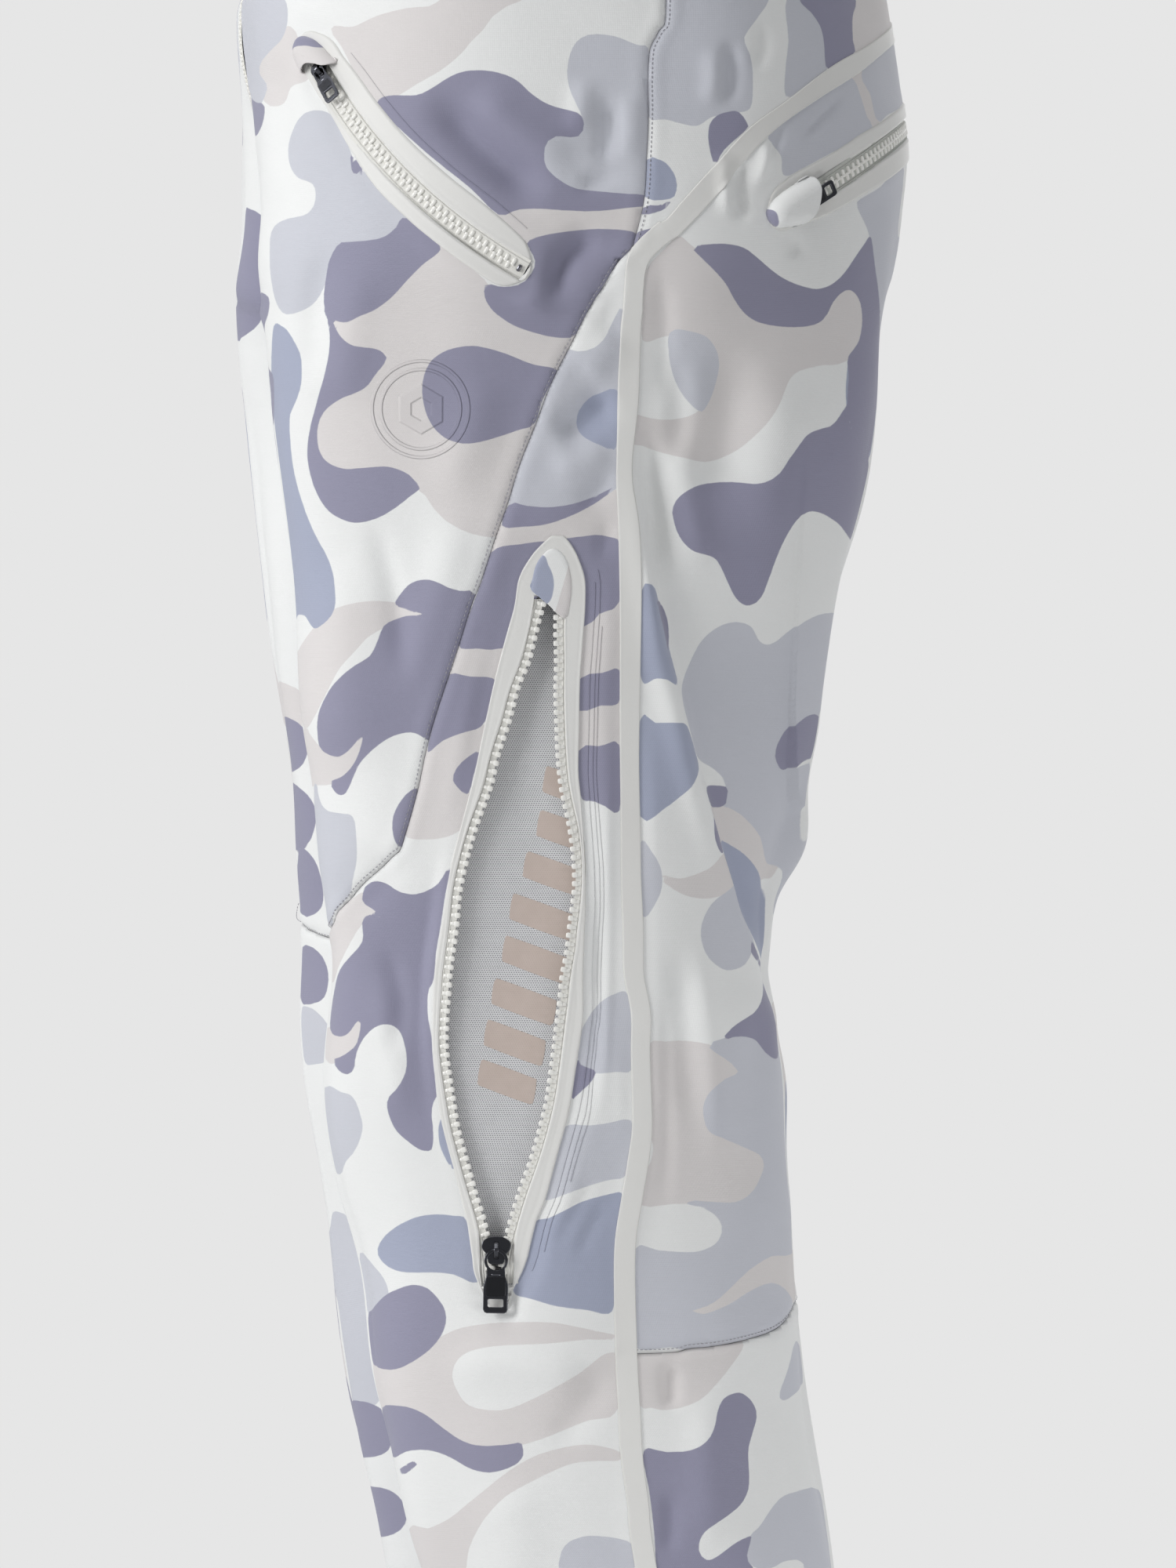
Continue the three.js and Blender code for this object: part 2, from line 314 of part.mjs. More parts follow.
function chain(A, d0, d1, n, tapeHalf) {
  const side = (s) => [[s * SLIT, -CHAIN_W], [s * CHAIN_HALF, -CHAIN_W], [s * CHAIN_HALF, -0.4], [s * tapeHalf, -0.4], [s * tapeHalf, 0.4], [s * CHAIN_HALF, 0.4], [s * CHAIN_HALF, CHAIN_W], [s * SLIT, CHAIN_W]];
  const end = [[-CHAIN_HALF, -CHAIN_W], [CHAIN_HALF, -CHAIN_W], [CHAIN_HALF, -0.4], [tapeHalf, -0.4], [tapeHalf, 0.4], [CHAIN_HALF, 0.4], [CHAIN_HALF, CHAIN_W], [-CHAIN_HALF, CHAIN_W], [-CHAIN_HALF, 0.4], [-tapeHalf, 0.4], [-tapeHalf, -0.4], [-CHAIN_HALF, -0.4]];
  return join([arcSweep(A, d0, d1, n, side(1)), arcSweep(A, d0, d1, n, side(-1)), arcSweep(A, d1 - 0.3, d1 + 4, 1, end)]);
}
const cutAlong = (A, d0, d1, n, half) => arcSweep(A, d0, d1, n, [[-half, -14], [half, -14], [half, 14], [-half, 14]]);

// ---- group --------------------------------------------------------------
const root = new THREE.Group();
root.name = 'ski_pants';
const joints = {};
root.userData.joints = joints;
function put(name, body, color, rough = 0.8, metal = 0) {
  const pieces = body.decompose();
  if (pieces.length !== 1) throw new Error(`${name} has ${pieces.length} bodies`);
  const m = body.getMesh(), n = m.numProp, pos = new Float32Array(m.vertProperties.length / n * 3);
  for (let i = 0; i < pos.length / 3; i++) for (let k = 0; k < 3; k++) pos[3 * i + k] = m.vertProperties[n * i + k];
  const g = new THREE.BufferGeometry();
  g.setAttribute('position', new THREE.BufferAttribute(pos, 3));
  g.setIndex(new THREE.BufferAttribute(new Uint32Array(m.triVerts), 1));
  g.computeVertexNormals();
  const mesh = new THREE.Mesh(g, new THREE.MeshStandardMaterial({ color, roughness: rough, metalness: metal }));
  mesh.name = name;
  root.add(mesh);
}
const mirror = (m) => m.mirror([1, 0, 0]);
function both(name, body, ...rest) { put(`left_${name}`, body, ...rest); put(`right_${name}`, mirror(body), ...rest); }
const vec = (v) => [v.x, v.y, v.z];
function slide(name, A, at, from, to, s, dir) {
  joints[name] = { centre: vec(A.o), axis: vec(A.axis), deg: [(from - at) / A.R * 180 / Math.PI, (to - at) / A.R * 180 / Math.PI] };
  // positive turns the free end of the puller away from the cloth
  const f = s.f, axis = f.t.clone().multiplyScalar(dir).cross(f.w);
  joints[`${name}_puller`] = { centre: vec(s.pivot), axis: vec(axis), deg: [0, 120] };
}

// fly track down the centre front
const flyPt = (z) => new THREE.Vector3(0, val('YCF', z), z);
const FLY = track([flyPt(-46), flyPt(-104), flyPt(-166)], new THREE.Vector3(0, -1, 0));
// hand pocket, back pocket and vent tracks on the left half
const onS = (a) => surf(a[0], a[1]);
const HAND = track(HAND_ARC.map(onS), normal(HAND_ARC[1][0], HAND_ARC[1][1]));
const BACK = track([onS([2.36, -211]), onS([2.6327, -178.56]), onS([3.02, -160])], normal(2.66, -177));
const VENT = track(VENT_ARC.map(onS), normal(VENT_ARC[1][0], VENT_ARC[1][1]));

// ---- cloth panels -------------------------------------------------------
const M = (u, z) => scaleU(Math.min(Math.max(u, 0.02), 3.98), z);
const fFront = (u, z) => Math.max((u - frontU(z)) * M(u, z), dartZ(u) - z);
const fSide = (u, z) => (sideU(z) - u) * M(u, z);
let front = panel([(u, z) => -fFront(u, z) - GAP]);
let shin = panel([(u, z) => fFront(u, z) - GAP, (u, z) => fSide(u, z) - GAP, (u, z) => (z > -230 ? -1 : 1) * Math.abs(z + 230)]);
let thighBack = panel([(u, z) => -fSide(u, z) - GAP, (u, z) => yokeZ(u) - GAP - z, (u, z) => z - zAt(CALF, u) - GAP]);
let calf = panel([(u, z) => -fSide(u, z) - GAP, (u, z) => zAt(CALF, u) - GAP - z]);
let yoke = panel([(u, z) => -fSide(u, z) - GAP, (u, z) => z - yokeZ(u) - GAP]);

// ---- vent ---------------------------------------------------------------
const ventShift = (u, z) => {
  // brings rows to the level of the slider's arc
  let best = 1e9, d = 0;
  for (let i = 0; i <= 40; i++) { const q = VENT.frame(VENT.length * i / 40), e = Math.abs(q.p.z - z); if (e < best) { best = e; d = VENT.length * i / 40; } }
  const q = VENT.frame(d), uu = (uAt(TEETH_FRONT, z) + uAt(TEETH_BACK, z)) / 2;
  return Math.max(-1.5, Math.min(1.5, q.p.clone().sub(surf(uu, q.p.z)).dot(normal(uu, q.p.z))));
};
const mmU = (u, z, d) => u + d / scaleU(u, z);
const teethZ = TEETH_FRONT.map((p) => p[1]);
const innerRow = (z, s) => {
  const arr = s < 0 ? TEETH_FRONT : TEETH_BACK, u = uAt(arr, z), mid = (uAt(TEETH_FRONT, z) + uAt(TEETH_BACK, z)) / 2;
  const near = mmU(mid, z, s * 8.4), far = mmU(u, z, s * (VENT_TAPE - 0.2));
  return [s < 0 ? Math.min(near, far) : Math.max(near, far), z];
};
const slotZ = [-405.5, -412, -427, -451, -486, -523, -555, -586, -619, -657, -688, -717, -734, -745.5, -752];
const ventHole = strip(slotZ.map((z) => innerRow(z, -1)), slotZ.map((z) => innerRow(z, 1)), 1, 14, -9);
const ventOuterA = VENT_FRONT, ventOuterB = VENT_BACK;
const zOf = VENT_FRONT.map((p) => p[1]);
const low = [[1.682, -757.5], [1.692, -763]], lowB = [[1.762, -757.5], [1.752, -763]];
const outA = [...ventOuterA.slice(0, -2), ...low], outB = [...ventOuterB.slice(0, -2), ...lowB];
const ringZ = [-376.2, -386, -404, -436, -476, -516, -553, -587, -621, -658, -690, -714, -735, -752, -763];
function ringOf(outL, outR, inL, inR) {
  // loop down the front edge and up the back edge, outer and inner edges point for point
  const n = ringZ.length, o = [], q = [];
  for (let i = 0; i < n; i++) { o.push([uAt(outL, ringZ[i]), ringZ[i]]); q.push(inL[i]); }
  for (let i = n - 1; i >= 0; i--) { o.push([uAt(outR, ringZ[i]), ringZ[i]]); q.push(inR[i]); }
  const lift = [FRAME_LIFT + FRAME_T, FRAME_LIFT];
  const rows = [o.map(([u, z]) => [P(u, z, lift[0]), P(u, z, lift[1])]), o.map(([u, z], i) => { const U = (u + q[i][0]) / 2, Z = (z + q[i][1]) / 2; return [P(U, Z, lift[0]), P(U, Z, lift[1])]; }), q.map(([u, z]) => [P(u, z, lift[0]), P(u, z, lift[1])])];
  return gridSolid(rows, true);
}
const ventFrame = ringOf(outA, outB, slotZ.map((z) => innerRow(z, -1)), slotZ.map((z) => innerRow(z, 1)));
shin = shin.subtract(ventHole);
function toothRow(arr, s) {
  // tape with its ridge of teeth towards the opening
  const stations = slotZ.slice(1, -1);
  const rows = stations.map((z) => {
    const u = uAt(arr, z), sh = ventShift(u, z), out = innerRow(z, s)[0] - s * 0.4 / scaleU(u, z);
    const at = (d, w) => P(mmU(u, z, s * d), z, w + sh);
    return [[at(0.4, 1.1), at(0.4, -1.1)], [at(TOOTH_W + 0.2, CHAIN_W), at(TOOTH_W + 0.2, -CHAIN_W)], [at(TOOTH_W + 0.6, 0.4), at(TOOTH_W + 0.6, -0.4)], [P(out, z, 0.4 + sh), P(out, z, -0.4 + sh)]];
  });
  return gridSolid(rows);
}
const frontRow = toothRow(TEETH_FRONT, -1), backRow = toothRow(TEETH_BACK, 1);
const meshA = VENT_FRONT.filter((p, i) => i % 2 === 1 && p[1] < -384), meshB = VENT_BACK.filter((p, i) => i % 2 === 1 && p[1] < -384);
const ventMesh = strip(meshA, meshB.map((p, i) => [p[0], meshA[i][1]]), 3, -LINING_DROP, -LINING_DROP - 1);
const VENT_AT = VENT.length - 2;
const ventSlider = slider(VENT.frame(VENT_AT), 7.35, 14, CHAIN_W, 0, 0.3, 0.75);
const vp = ventPullerShape();
const ventPuller = puller(ventSlider, vp.outline, vp.holes, 1.4, 1);
slide('vent', VENT, VENT_AT, 12, VENT_AT, ventSlider, 1);

// ---- hand pocket --------------------------------------------------------
const HAND_AT = 7, HAND_END = HAND.length - 9;
const handCut = cutAlong(HAND, -2, HAND.length + 4.6, 8, SLOT_HALF);
let handFrame = strip(HAND_UP, HAND_LOW, 2, FRAME_LIFT + FRAME_T, FRAME_LIFT);
handFrame = handFrame.subtract(handCut);
front = front.subtract(handCut);
const handChain = chain(HAND, -1.5, HAND.length, 12, CHAIN_TAPE);
const handSlider = slider(HAND.frame(HAND_AT), 4.85, 11, CHAIN_W, 3.85, 0.2);
const sp = smallPullerShape();
const handPuller = puller(handSlider, sp.outline, sp.holes, 1.3, 1);
slide('hand_pocket', HAND, HAND_AT, HAND_AT, HAND_END, handSlider, 1);
const handBag = strip([[1.33, -124], [1.3, -160], [1.3, -205], [1.32, -250], [1.36, -290]], [[1.5, -124], [1.68, -160], [1.84, -205], [1.9, -250], [1.8, -290]], 4, -LINING_DROP - 2.5, -LINING_DROP - 4);

// ---- back pocket --------------------------------------------------------
const BACK_AT = 7, BACK_END = BACK.length - 9;
const backCut = cutAlong(BACK, -2, BACK.length + 4.6, 7, SLOT_HALF);
const bUp = [[2.292, -206], [2.322, -199], [2.3609, -192], [2.405, -187], [2.4516, -182], [2.51, -175.5], [2.5666, -169.5], [2.64, -163.8], [2.72, -158], [2.7901, -154], [2.87, -150.5], [2.95, -147.5], [3.06, -145]];
const bLow = [[2.3276, -223.87], [2.38, -219], [2.42, -216], [2.47, -212], [2.52, -207.3], [2.57, -202.5], [2.63, -197.5], [2.7, -192], [2.77, -187.2], [2.84, -183], [2.92, -179.2], [3.0, -176], [3.1, -173.5]];
let backFrame = strip(bUp, bLow, 3, FRAME_LIFT + FRAME_T, FRAME_LIFT).subtract(backCut);
thighBack = thighBack.subtract(backCut);
const backChain = chain(BACK, -1.5, BACK.length, 13, CHAIN_TAPE);
const backSlider = slider(BACK.frame(BACK_AT), 4.85, 11, CHAIN_W, 3.85, 0.2);
const backPuller = puller(backSlider, sp.outline, sp.holes, 1.3, 1);
slide('back_pocket', BACK, BACK_AT, BACK_AT, BACK_END, backSlider, 1);
const backBag = strip([[2.3, -200], [2.33, -225], [2.38, -260], [2.44, -285]], [[3.1, -158], [3.1, -190], [3.06, -240], [3.0, -272]], 5, -LINING_DROP - 2.5, -LINING_DROP - 4);

// ---- fly ----------------------------------------------------------------
const FLY_AT = 7;
const flyCut = cutAlong(FLY, -3, FLY.length + 4.6, 5, SLOT_HALF);
front = front.subtract(flyCut);
const flyChain = chain(FLY, -1.5, FLY.length, 18, CHAIN_TAPE);
const flySlider = slider(FLY.frame(FLY_AT), 4.85, 11, CHAIN_W, 3.85, 0.2);
const flyPuller = puller(flySlider, sp.outline, sp.holes, 1.3, 1);
slide('fly', FLY, FLY_AT, FLY_AT, FLY.length - 9, flySlider, 1);
const flyGuard = arcSweep(FLY, -1, FLY.length + 6, 8, [[-20, -9.2], [20, -9.2], [20, -8], [-20, -8]]);

// ---- tapes --------------------------------------------------------------
const tz = [-256.87, -280, -302.88, -342.25, -376.91, -412, -447.9, -493.29, -538.29, -560, -578.96, -605.8, -633.01, -669.25, -690.49, -709.75, -735.28, -782.42, -813.43, -836.57, -861.66, -893.4, -950, -1000, HEM_Z];
const sideTape = strip([[2.0385, -232.5], ...tz.map((z) => [uAt(TF, z), z])], [[2.0725, -241.2], ...tz.map((z) => [uAt(TB, z), z])], 1, TAPE_LIFT + TAPE_T, TAPE_LIFT);
const yu = [2.12, 2.16, 2.2, 2.24, 2.28, 2.33, 2.38, 2.45, 2.54, 2.61, 2.68, 2.74, 2.8, 2.9, 3, 3.2, 3.4, 3.6, 3.8, 3.99];
const yokeTape = strip([[2.076, -239.0], ...yu.map((u) => [u, zAt(YOKE_LO, u)])], [[2.044, -229.6], ...yu.map((u) => [u - 0.01, zAt(YOKE_HI, u - 0.01)])], 1, TAPE_LIFT + TAPE_T, TAPE_LIFT);

// ---- gaiter -------------------------------------------------------------
function gaiter() {
  const rows = [];
  for (const z of [GAITER_TOP, -950, GAITER_BOTTOM]) {
    const r = [], cx = (val('XO', z) + val('XI', z)) / 2, cy = (val('YF', z) + val('YB', z)) / 2;
    for (let j = 0; j < 18; j++) {
      const p = surf(4 * j / 18, z), k = 0.86, g = 0.845;
      r.push([new THREE.Vector3(cx + (p.x - cx) * k, cy + (p.y - cy) * k, z), new THREE.Vector3(cx + (p.x - cx) * g, cy + (p.y - cy) * g, z)]);
    }
    rows.push(r);
  }
  return gridSolid(rows, true);
}

both('front_thigh_panel', front, COL.shell);
both('shin_panel', shin, COL.shell);
both('back_thigh_panel', thighBack, COL.shell);
both('calf_panel', calf, COL.shell);
both('hip_yoke', yoke, COL.shell);
both('side_tape', sideTape, COL.tape, 0.6);
both('yoke_tape', yokeTape, COL.tape, 0.6);
both('vent_frame', ventFrame, COL.tape, 0.6);
both('vent_teeth_front', frontRow, COL.teeth, 0.4);
both('vent_teeth_back', backRow, COL.teeth, 0.4);
both('vent_mesh', ventMesh, COL.mesh);
both('vent_slider', ventSlider.body, COL.metal, 0.3, 0.9);
both('vent_puller', ventPuller, COL.metal, 0.3, 0.9);
both('hand_pocket_frame', handFrame, COL.tape, 0.6);
both('hand_pocket_chain', handChain, COL.teeth, 0.4);
both('hand_pocket_slider', handSlider.body, COL.metal, 0.3, 0.9);
both('hand_pocket_puller', handPuller, COL.metal, 0.3, 0.9);
both('hand_pocket_bag', handBag, COL.lining);
both('back_pocket_frame', backFrame, COL.tape, 0.6);
both('back_pocket_chain', backChain, COL.teeth, 0.4);
both('back_pocket_slider', backSlider.body, COL.metal, 0.3, 0.9);
both('back_pocket_puller', backPuller, COL.metal, 0.3, 0.9);
both('back_pocket_bag', backBag, COL.lining);
both('gaiter', gaiter(), COL.lining);

// ---- waistband ----------------------------------------------------------
// full loop: U 0..4 left half front to back, 4..8 right half back to front
function bandPt(U, z, o) {
  const right = U > 4, u = Math.min(Math.max(right ? 8 - U : U, 0), 4), p = surf(u, z).addScaledVector(normal(u, z), o);
  if (u < 0.001 || u > 3.999) p.x = 0;
  if (right) p.x = -p.x;
  return p;
}
const bandRows = [];
for (const z of [0, -BAND_H]) {
  const r = [];
  for (let j = 0; j <= 36; j++) { const U = 0.03 + (8 - 0.06) * j / 36; r.push([bandPt(U, z, 0), bandPt(U, z, -2.5)]); }
  bandRows.push(r);
}
const tabRows = [];
for (const z of [-3, -BAND_H + 3]) {
  const r = [];
  for (let j = 0; j <= 10; j++) {
    const U = 0.16 - 0.48 * j / 10, u = Math.abs(U), p0 = surf(u, z), n = normal(u, z), k = U > 0.05 ? 0 : 1;
    const hi = p0.clone().addScaledVector(n, 1.9), lo = p0.clone().addScaledVector(n, k ? 0.4 : -0.8);
    if (U < 0) { hi.x = -hi.x; lo.x = -lo.x; }
    r.push([hi, lo]);
  }
  tabRows.push(r);
}
put('waistband', gridSolid(bandRows).add(gridSolid(tabRows)), COL.band, 0.7);

// ---- waist hardware -----------------------------------------------------
const localAt = (U, z) => {
  const u = Math.abs(U), n = normal(u, z), p = surf(u, z);
  if (U < 0) { n.x = -n.x; p.x = -p.x; }
  if (U === 4) { n.x = 0; p.x = 0; n.normalize(); }
  const b = new THREE.Vector3(0, 0, 1).cross(n).normalize(), up = n.clone().cross(b);
  return { p, n, b, at: (x, y, o) => p.clone().addScaledVector(b, x).addScaledVector(up, y).addScaledVector(n, o) };
};
const sn = localAt(-0.25, -19);
put('waist_snap_cap', block(circle(0, 0, 7.2, 24), 2, (x, y, z) => sn.at(x, y, 2.6 + z), [], 0.5), COL.metal, 0.35, 0.9);
function loop(U) {
  const q = localAt(U, -19), w = 5;
  const out = [[0.5, 17], [2, 17.6], [4.6, 15], [5.6, 11], [5.6, -11], [4.6, -15], [2, -17.6], [0.5, -17], [0.5, -14.6], [1.9, -14.8], [3.4, -13], [4.2, -10], [4.2, 10], [3.4, 13], [1.9, 14.8], [0.5, 14.6]];
  return block(out, 2 * w, (x, y, z) => q.at(z - w, y, x + 0.5));
}
put('left_belt_loop', loop(0.95), COL.band, 0.7);
put('right_belt_loop', mirror(loop(0.95)), COL.band, 0.7);
put('back_belt_loop', loop(4), COL.band, 0.7);
// adjuster tabs: sewn at the back end, peel outwards
const TAB_U0 = 1.72, TAB_U1 = 1.3;
const tabStrip = () => {
  const zs = [-8, -30], rows = [];
  for (const z of zs) { const r = []; for (let j = 0; j <= 8; j++) { const u = TAB_U0 + (TAB_U1 - TAB_U0) * j / 8; r.push([P(u, z, 1.9), P(u, z, 0.6)]); } rows.push(r); }
  return gridSolid(rows);
};
both('adjuster_tab', tabStrip(), COL.band, 0.7);
const h0 = P(TAB_U0, -8, 0.6), h1 = P(TAB_U0, -30, 0.6);
joints.adjuster = { centre: vec(h0.clone().add(h1).multiplyScalar(0.5)), axis: vec(h0.clone().sub(h1).normalize()), deg: [0, 90] };

put('fly_chain', flyChain, COL.teeth, 0.4);
put('fly_slider', flySlider.body, COL.metal, 0.3, 0.9);
put('fly_puller', flyPuller, COL.metal, 0.3, 0.9);
put('fly_guard', flyGuard, COL.lining);

export default root;
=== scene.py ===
# Looks of the ski pants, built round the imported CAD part. Lengths in the helpers are millimetres.
import bpy, math
import numpy as np
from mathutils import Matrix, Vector


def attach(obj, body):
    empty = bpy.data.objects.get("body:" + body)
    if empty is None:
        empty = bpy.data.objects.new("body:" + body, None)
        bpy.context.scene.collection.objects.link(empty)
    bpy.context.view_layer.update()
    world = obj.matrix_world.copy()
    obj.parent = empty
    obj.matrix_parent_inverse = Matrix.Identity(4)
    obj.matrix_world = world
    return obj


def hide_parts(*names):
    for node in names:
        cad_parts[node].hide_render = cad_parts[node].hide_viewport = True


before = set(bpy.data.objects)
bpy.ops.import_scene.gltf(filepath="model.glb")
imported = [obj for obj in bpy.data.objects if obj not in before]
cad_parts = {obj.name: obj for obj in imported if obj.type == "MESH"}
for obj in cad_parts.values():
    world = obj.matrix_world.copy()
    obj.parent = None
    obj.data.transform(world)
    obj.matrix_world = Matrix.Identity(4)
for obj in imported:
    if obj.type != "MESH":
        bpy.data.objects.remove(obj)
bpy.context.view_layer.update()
SIDES = (("left", 1.0), ("right", -1.0))

# ---- one half of the garment: values at the heights Z ----------------------
TAB = {
    "Z": [0.0, -22.0, -44.0, -72.0, -100.0, -140.0, -172.0, -207.0, -237.0, -272.0, -307.0, -352.0, -412.0, -472.0, -522.0, -562.0, -592.0, -622.0, -662.0, -702.0, -742.0, -794.0, -842.0, -900.0, -972.0, -1050.0],
    "XO": [155.0, 157.0, 159.0, 164.0, 169.0, 174.0, 176.0, 177.0, 177.0, 175.0, 173.0, 171.0, 169.0, 168.0, 168.0, 168.0, 168.0, 169.0, 171.0, 173.0, 175.0, 178.0, 181.0, 185.0, 190.0, 195.0],
    "XF": [26.0, 26.0, 26.0, 26.0, 27.0, 29.0, 34.0, 45.0, 62.0, 78.0, 86.0, 90.0, 92.0, 95.0, 98.0, 100.0, 102.0, 104.0, 106.0, 109.0, 112.0, 115.0, 119.0, 123.0, 128.0, 134.0],
    "XB": [26.0, 26.0, 27.0, 28.0, 30.0, 38.0, 50.0, 64.0, 74.0, 82.0, 87.0, 90.0, 92.0, 95.0, 98.0, 100.0, 102.0, 104.0, 106.0, 109.0, 112.0, 115.0, 119.0, 123.0, 128.0, 134.0],
    "XI": [0.0, 0.0, 0.0, 0.0, 0.0, 0.0, 0.0, 0.0, 0.0, 0.5, 7.0, 12.0, 17.0, 23.0, 28.0, 32.0, 35.0, 38.0, 42.0, 45.0, 48.0, 52.0, 57.0, 62.0, 67.0, 73.0],
    "YF": [-140.0, -145.0, -151.0, -162.0, -171.08, -168.25, -166.58, -164.38, -166.32, -163.88, -159.04, -155.17, -149.38, -145.37, -139.67, -136.29, -134.46, -133.45, -130.83, -124.94, -118.11, -111.76, -100.73, -84.83, -66.0, -52.0],
    "YB": [138.0, 141.0, 146.0, 156.0, 162.06, 167.62, 169.22, 165.16, 159.25, 148.55, 143.42, 134.76, 124.78, 115.51, 104.81, 96.11, 91.78, 100.13, 101.44, 103.14, 104.14, 109.15, 114.34, 120.37, 130.0, 136.0],
    "YS": [3.0, 2.0, 1.5, 1.0, -0.51, 3.69, 5.32, 4.39, 0.46, -3.67, -3.81, -6.2, -8.3, -10.93, -13.43, -16.09, -17.34, -12.66, -10.7, -6.9, -2.99, 2.69, 10.81, 21.77, 36.0, 46.0],
    "YCF": [-140.0, -145.0, -151.0, -162.0, -171.08, -166.75, -152.0, -130.0, -95.0, 8.0, 5.0, 0.0, -3.0, -5.0, -7.0, -9.0, -10.0, -10.0, -8.0, -5.0, 0.0, 4.0, 10.0, 18.0, 30.0, 42.0],
    "YCB": [138.0, 141.0, 146.0, 155.0, 159.06, 159.62, 155.0, 143.0, 110.0, 12.0, 5.0, 0.0, -3.0, -5.0, -7.0, -9.0, -10.0, -10.0, -8.0, -5.0, 0.0, 4.0, 10.0, 18.0, 30.0, 42.0],
    "K": [0.0, 0.0, 0.0, 0.0, 0.0, 0.0, 0.1, 0.3, 0.6, 1.0, 1.0, 1.0, 1.0, 1.0, 1.0, 1.0, 1.0, 1.0, 1.0, 1.0, 1.0, 1.0, 1.0, 1.0, 1.0, 1.0],
    "NE": [2.0, 2.0, 2.0, 2.05, 2.1, 2.15, 2.2, 2.2, 2.2, 2.2, 2.2, 2.2, 2.2, 2.2, 2.2, 2.2, 2.2, 2.2, 2.2, 2.2, 2.2, 2.2, 2.2, 2.2, 2.2, 2.2],
}

# seams and edges as [u, z]
SIDE_SEAM = [[2.1185, -105.1], [2.0913, -121.57], [2.0684, -132.0], [2.056, -156.22], [2.0509, -181.15], [2.0499, -204.05], [2.0412, -226.55], [2.0393, -230.5]]
DIAG_SEAM = [[2.0393, -230.5], [2.0159, -239.22], [2.0001, -252.23], [1.9679, -274.28], [1.9211, -299.86], [1.8928, -319.53], [1.8626, -340.39], [1.8408, -358.5], [1.8149, -375.04], [1.7798, -397.88], [1.7567, -409.69], [1.7231, -430.97], [1.7006, -444.37], [1.6395, -477.5], [1.5992, -501.97], [1.5595, -520.93], [1.5285, -533.58]]
KNEE_DART = [[1.5285, -533.58], [1.4273, -543.51], [1.315, -553.89], [1.2085, -563.91], [1.0751, -572.45]]
TAPE_FRONT = [[2.0354, -236.03], [2.0403, -256.87], [2.0355, -302.88], [2.042, -342.25], [2.0548, -376.91], [2.0735, -447.9], [2.0878, -493.29], [2.1098, -538.29], [2.1369, -578.96], [2.1409, -605.8], [2.1266, -633.01], [2.1206, -669.25], [2.0967, -690.49], [2.0699, -709.75], [2.0388, -735.28], [2.0155, -782.42], [2.0021, -813.43], [1.9901, -836.57], [1.9846, -861.66], [1.9728, -893.4]]
TAPE_BACK = [[2.0733, -235.94], [2.078, -256.8], [2.078, -302.81], [2.0752, -342.21], [2.1022, -376.87], [2.1234, -447.88], [2.1372, -493.29], [2.1662, -538.31], [2.2006, -579.0], [2.2018, -605.86], [2.1833, -633.07], [2.1796, -669.33], [2.1593, -690.58], [2.1311, -709.83], [2.0983, -735.37], [2.0746, -782.51], [2.0588, -813.52], [2.0429, -836.66], [2.0353, -861.75], [2.0237, -893.49]]
YOKE_LOW = [[2.0725, -239.89], [2.1229, -223.96], [2.2017, -199.55], [2.2794, -176.51], [2.3759, -160.24], [2.5431, -142.0], [2.8158, -120.54]]
YOKE_UP = [[2.0403, -229.71], [2.0898, -216.57], [2.1204, -206.21], [2.1774, -188.98], [2.2511, -169.14], [2.3468, -154.49], [2.4702, -137.63], [2.5968, -126.35], [2.8485, -110.17]]
CALF_SEAM = [[2.0132, -786.35], [2.1762, -785.86], [2.2359, -784.05], [2.3428, -782.82], [2.513, -779.15], [2.6486, -775.44], [2.8687, -766.28]]
VENT_FRONT = [[1.9262, -376.21], [1.9106, -379.76], [1.8897, -385.67], [1.8648, -396.31], [1.8549, -410.5], [1.8427, -420.75], [1.8281, -432.97], [1.8112, -447.95], [1.7881, -470.42], [1.7628, -493.3], [1.7432, -507.1], [1.7177, -523.67], [1.6914, -540.64], [1.674, -559.18], [1.6571, -574.97], [1.6417, -588.0], [1.6305, -599.45], [1.6106, -623.13], [1.6102, -638.11], [1.6155, -657.81], [1.6206, -671.59], [1.6397, -694.4], [1.6498, -708.56], [1.6572, -719.57], [1.6574, -732.56], [1.6577, -738.46], [1.6587, -746.32], [1.6726, -751.41], [1.6997, -755.31]]
VENT_BACK = [[1.9598, -376.2], [1.9704, -379.74], [1.9824, -385.64], [1.9955, -396.27], [1.9978, -410.46], [1.9971, -420.72], [1.996, -432.94], [1.9947, -447.93], [1.9968, -470.41], [1.9988, -493.29], [2.0049, -507.1], [2.0129, -523.67], [2.023, -540.64], [2.0314, -559.18], [2.0336, -574.96], [2.0344, -587.98], [2.0302, -599.42], [2.0074, -623.06], [1.9961, -638.02], [1.9801, -657.69], [1.9624, -671.46], [1.9207, -694.26], [1.8928, -708.42], [1.863, -719.43], [1.8369, -732.41], [1.8251, -738.31], [1.8027, -746.18], [1.7819, -751.3], [1.7384, -755.26]]
TEETH_FRONT = [[1.9222, -408.92], [1.9167, -414.04], [1.9116, -418.77], [1.9041, -427.05], [1.8919, -439.27], [1.8704, -451.5], [1.8517, -468.45], [1.8251, -485.8], [1.8066, -501.58], [1.7658, -522.88], [1.7389, -540.63], [1.7221, -555.22], [1.7133, -571.0], [1.6999, -586.39], [1.683, -603.76], [1.6652, -618.75], [1.6588, -635.7], [1.6695, -657.75], [1.6761, -673.1], [1.6883, -688.05], [1.701, -703.38], [1.7158, -717.14], [1.7219, -726.97], [1.725, -734.05], [1.7247, -738.77], [1.721, -745.85]]
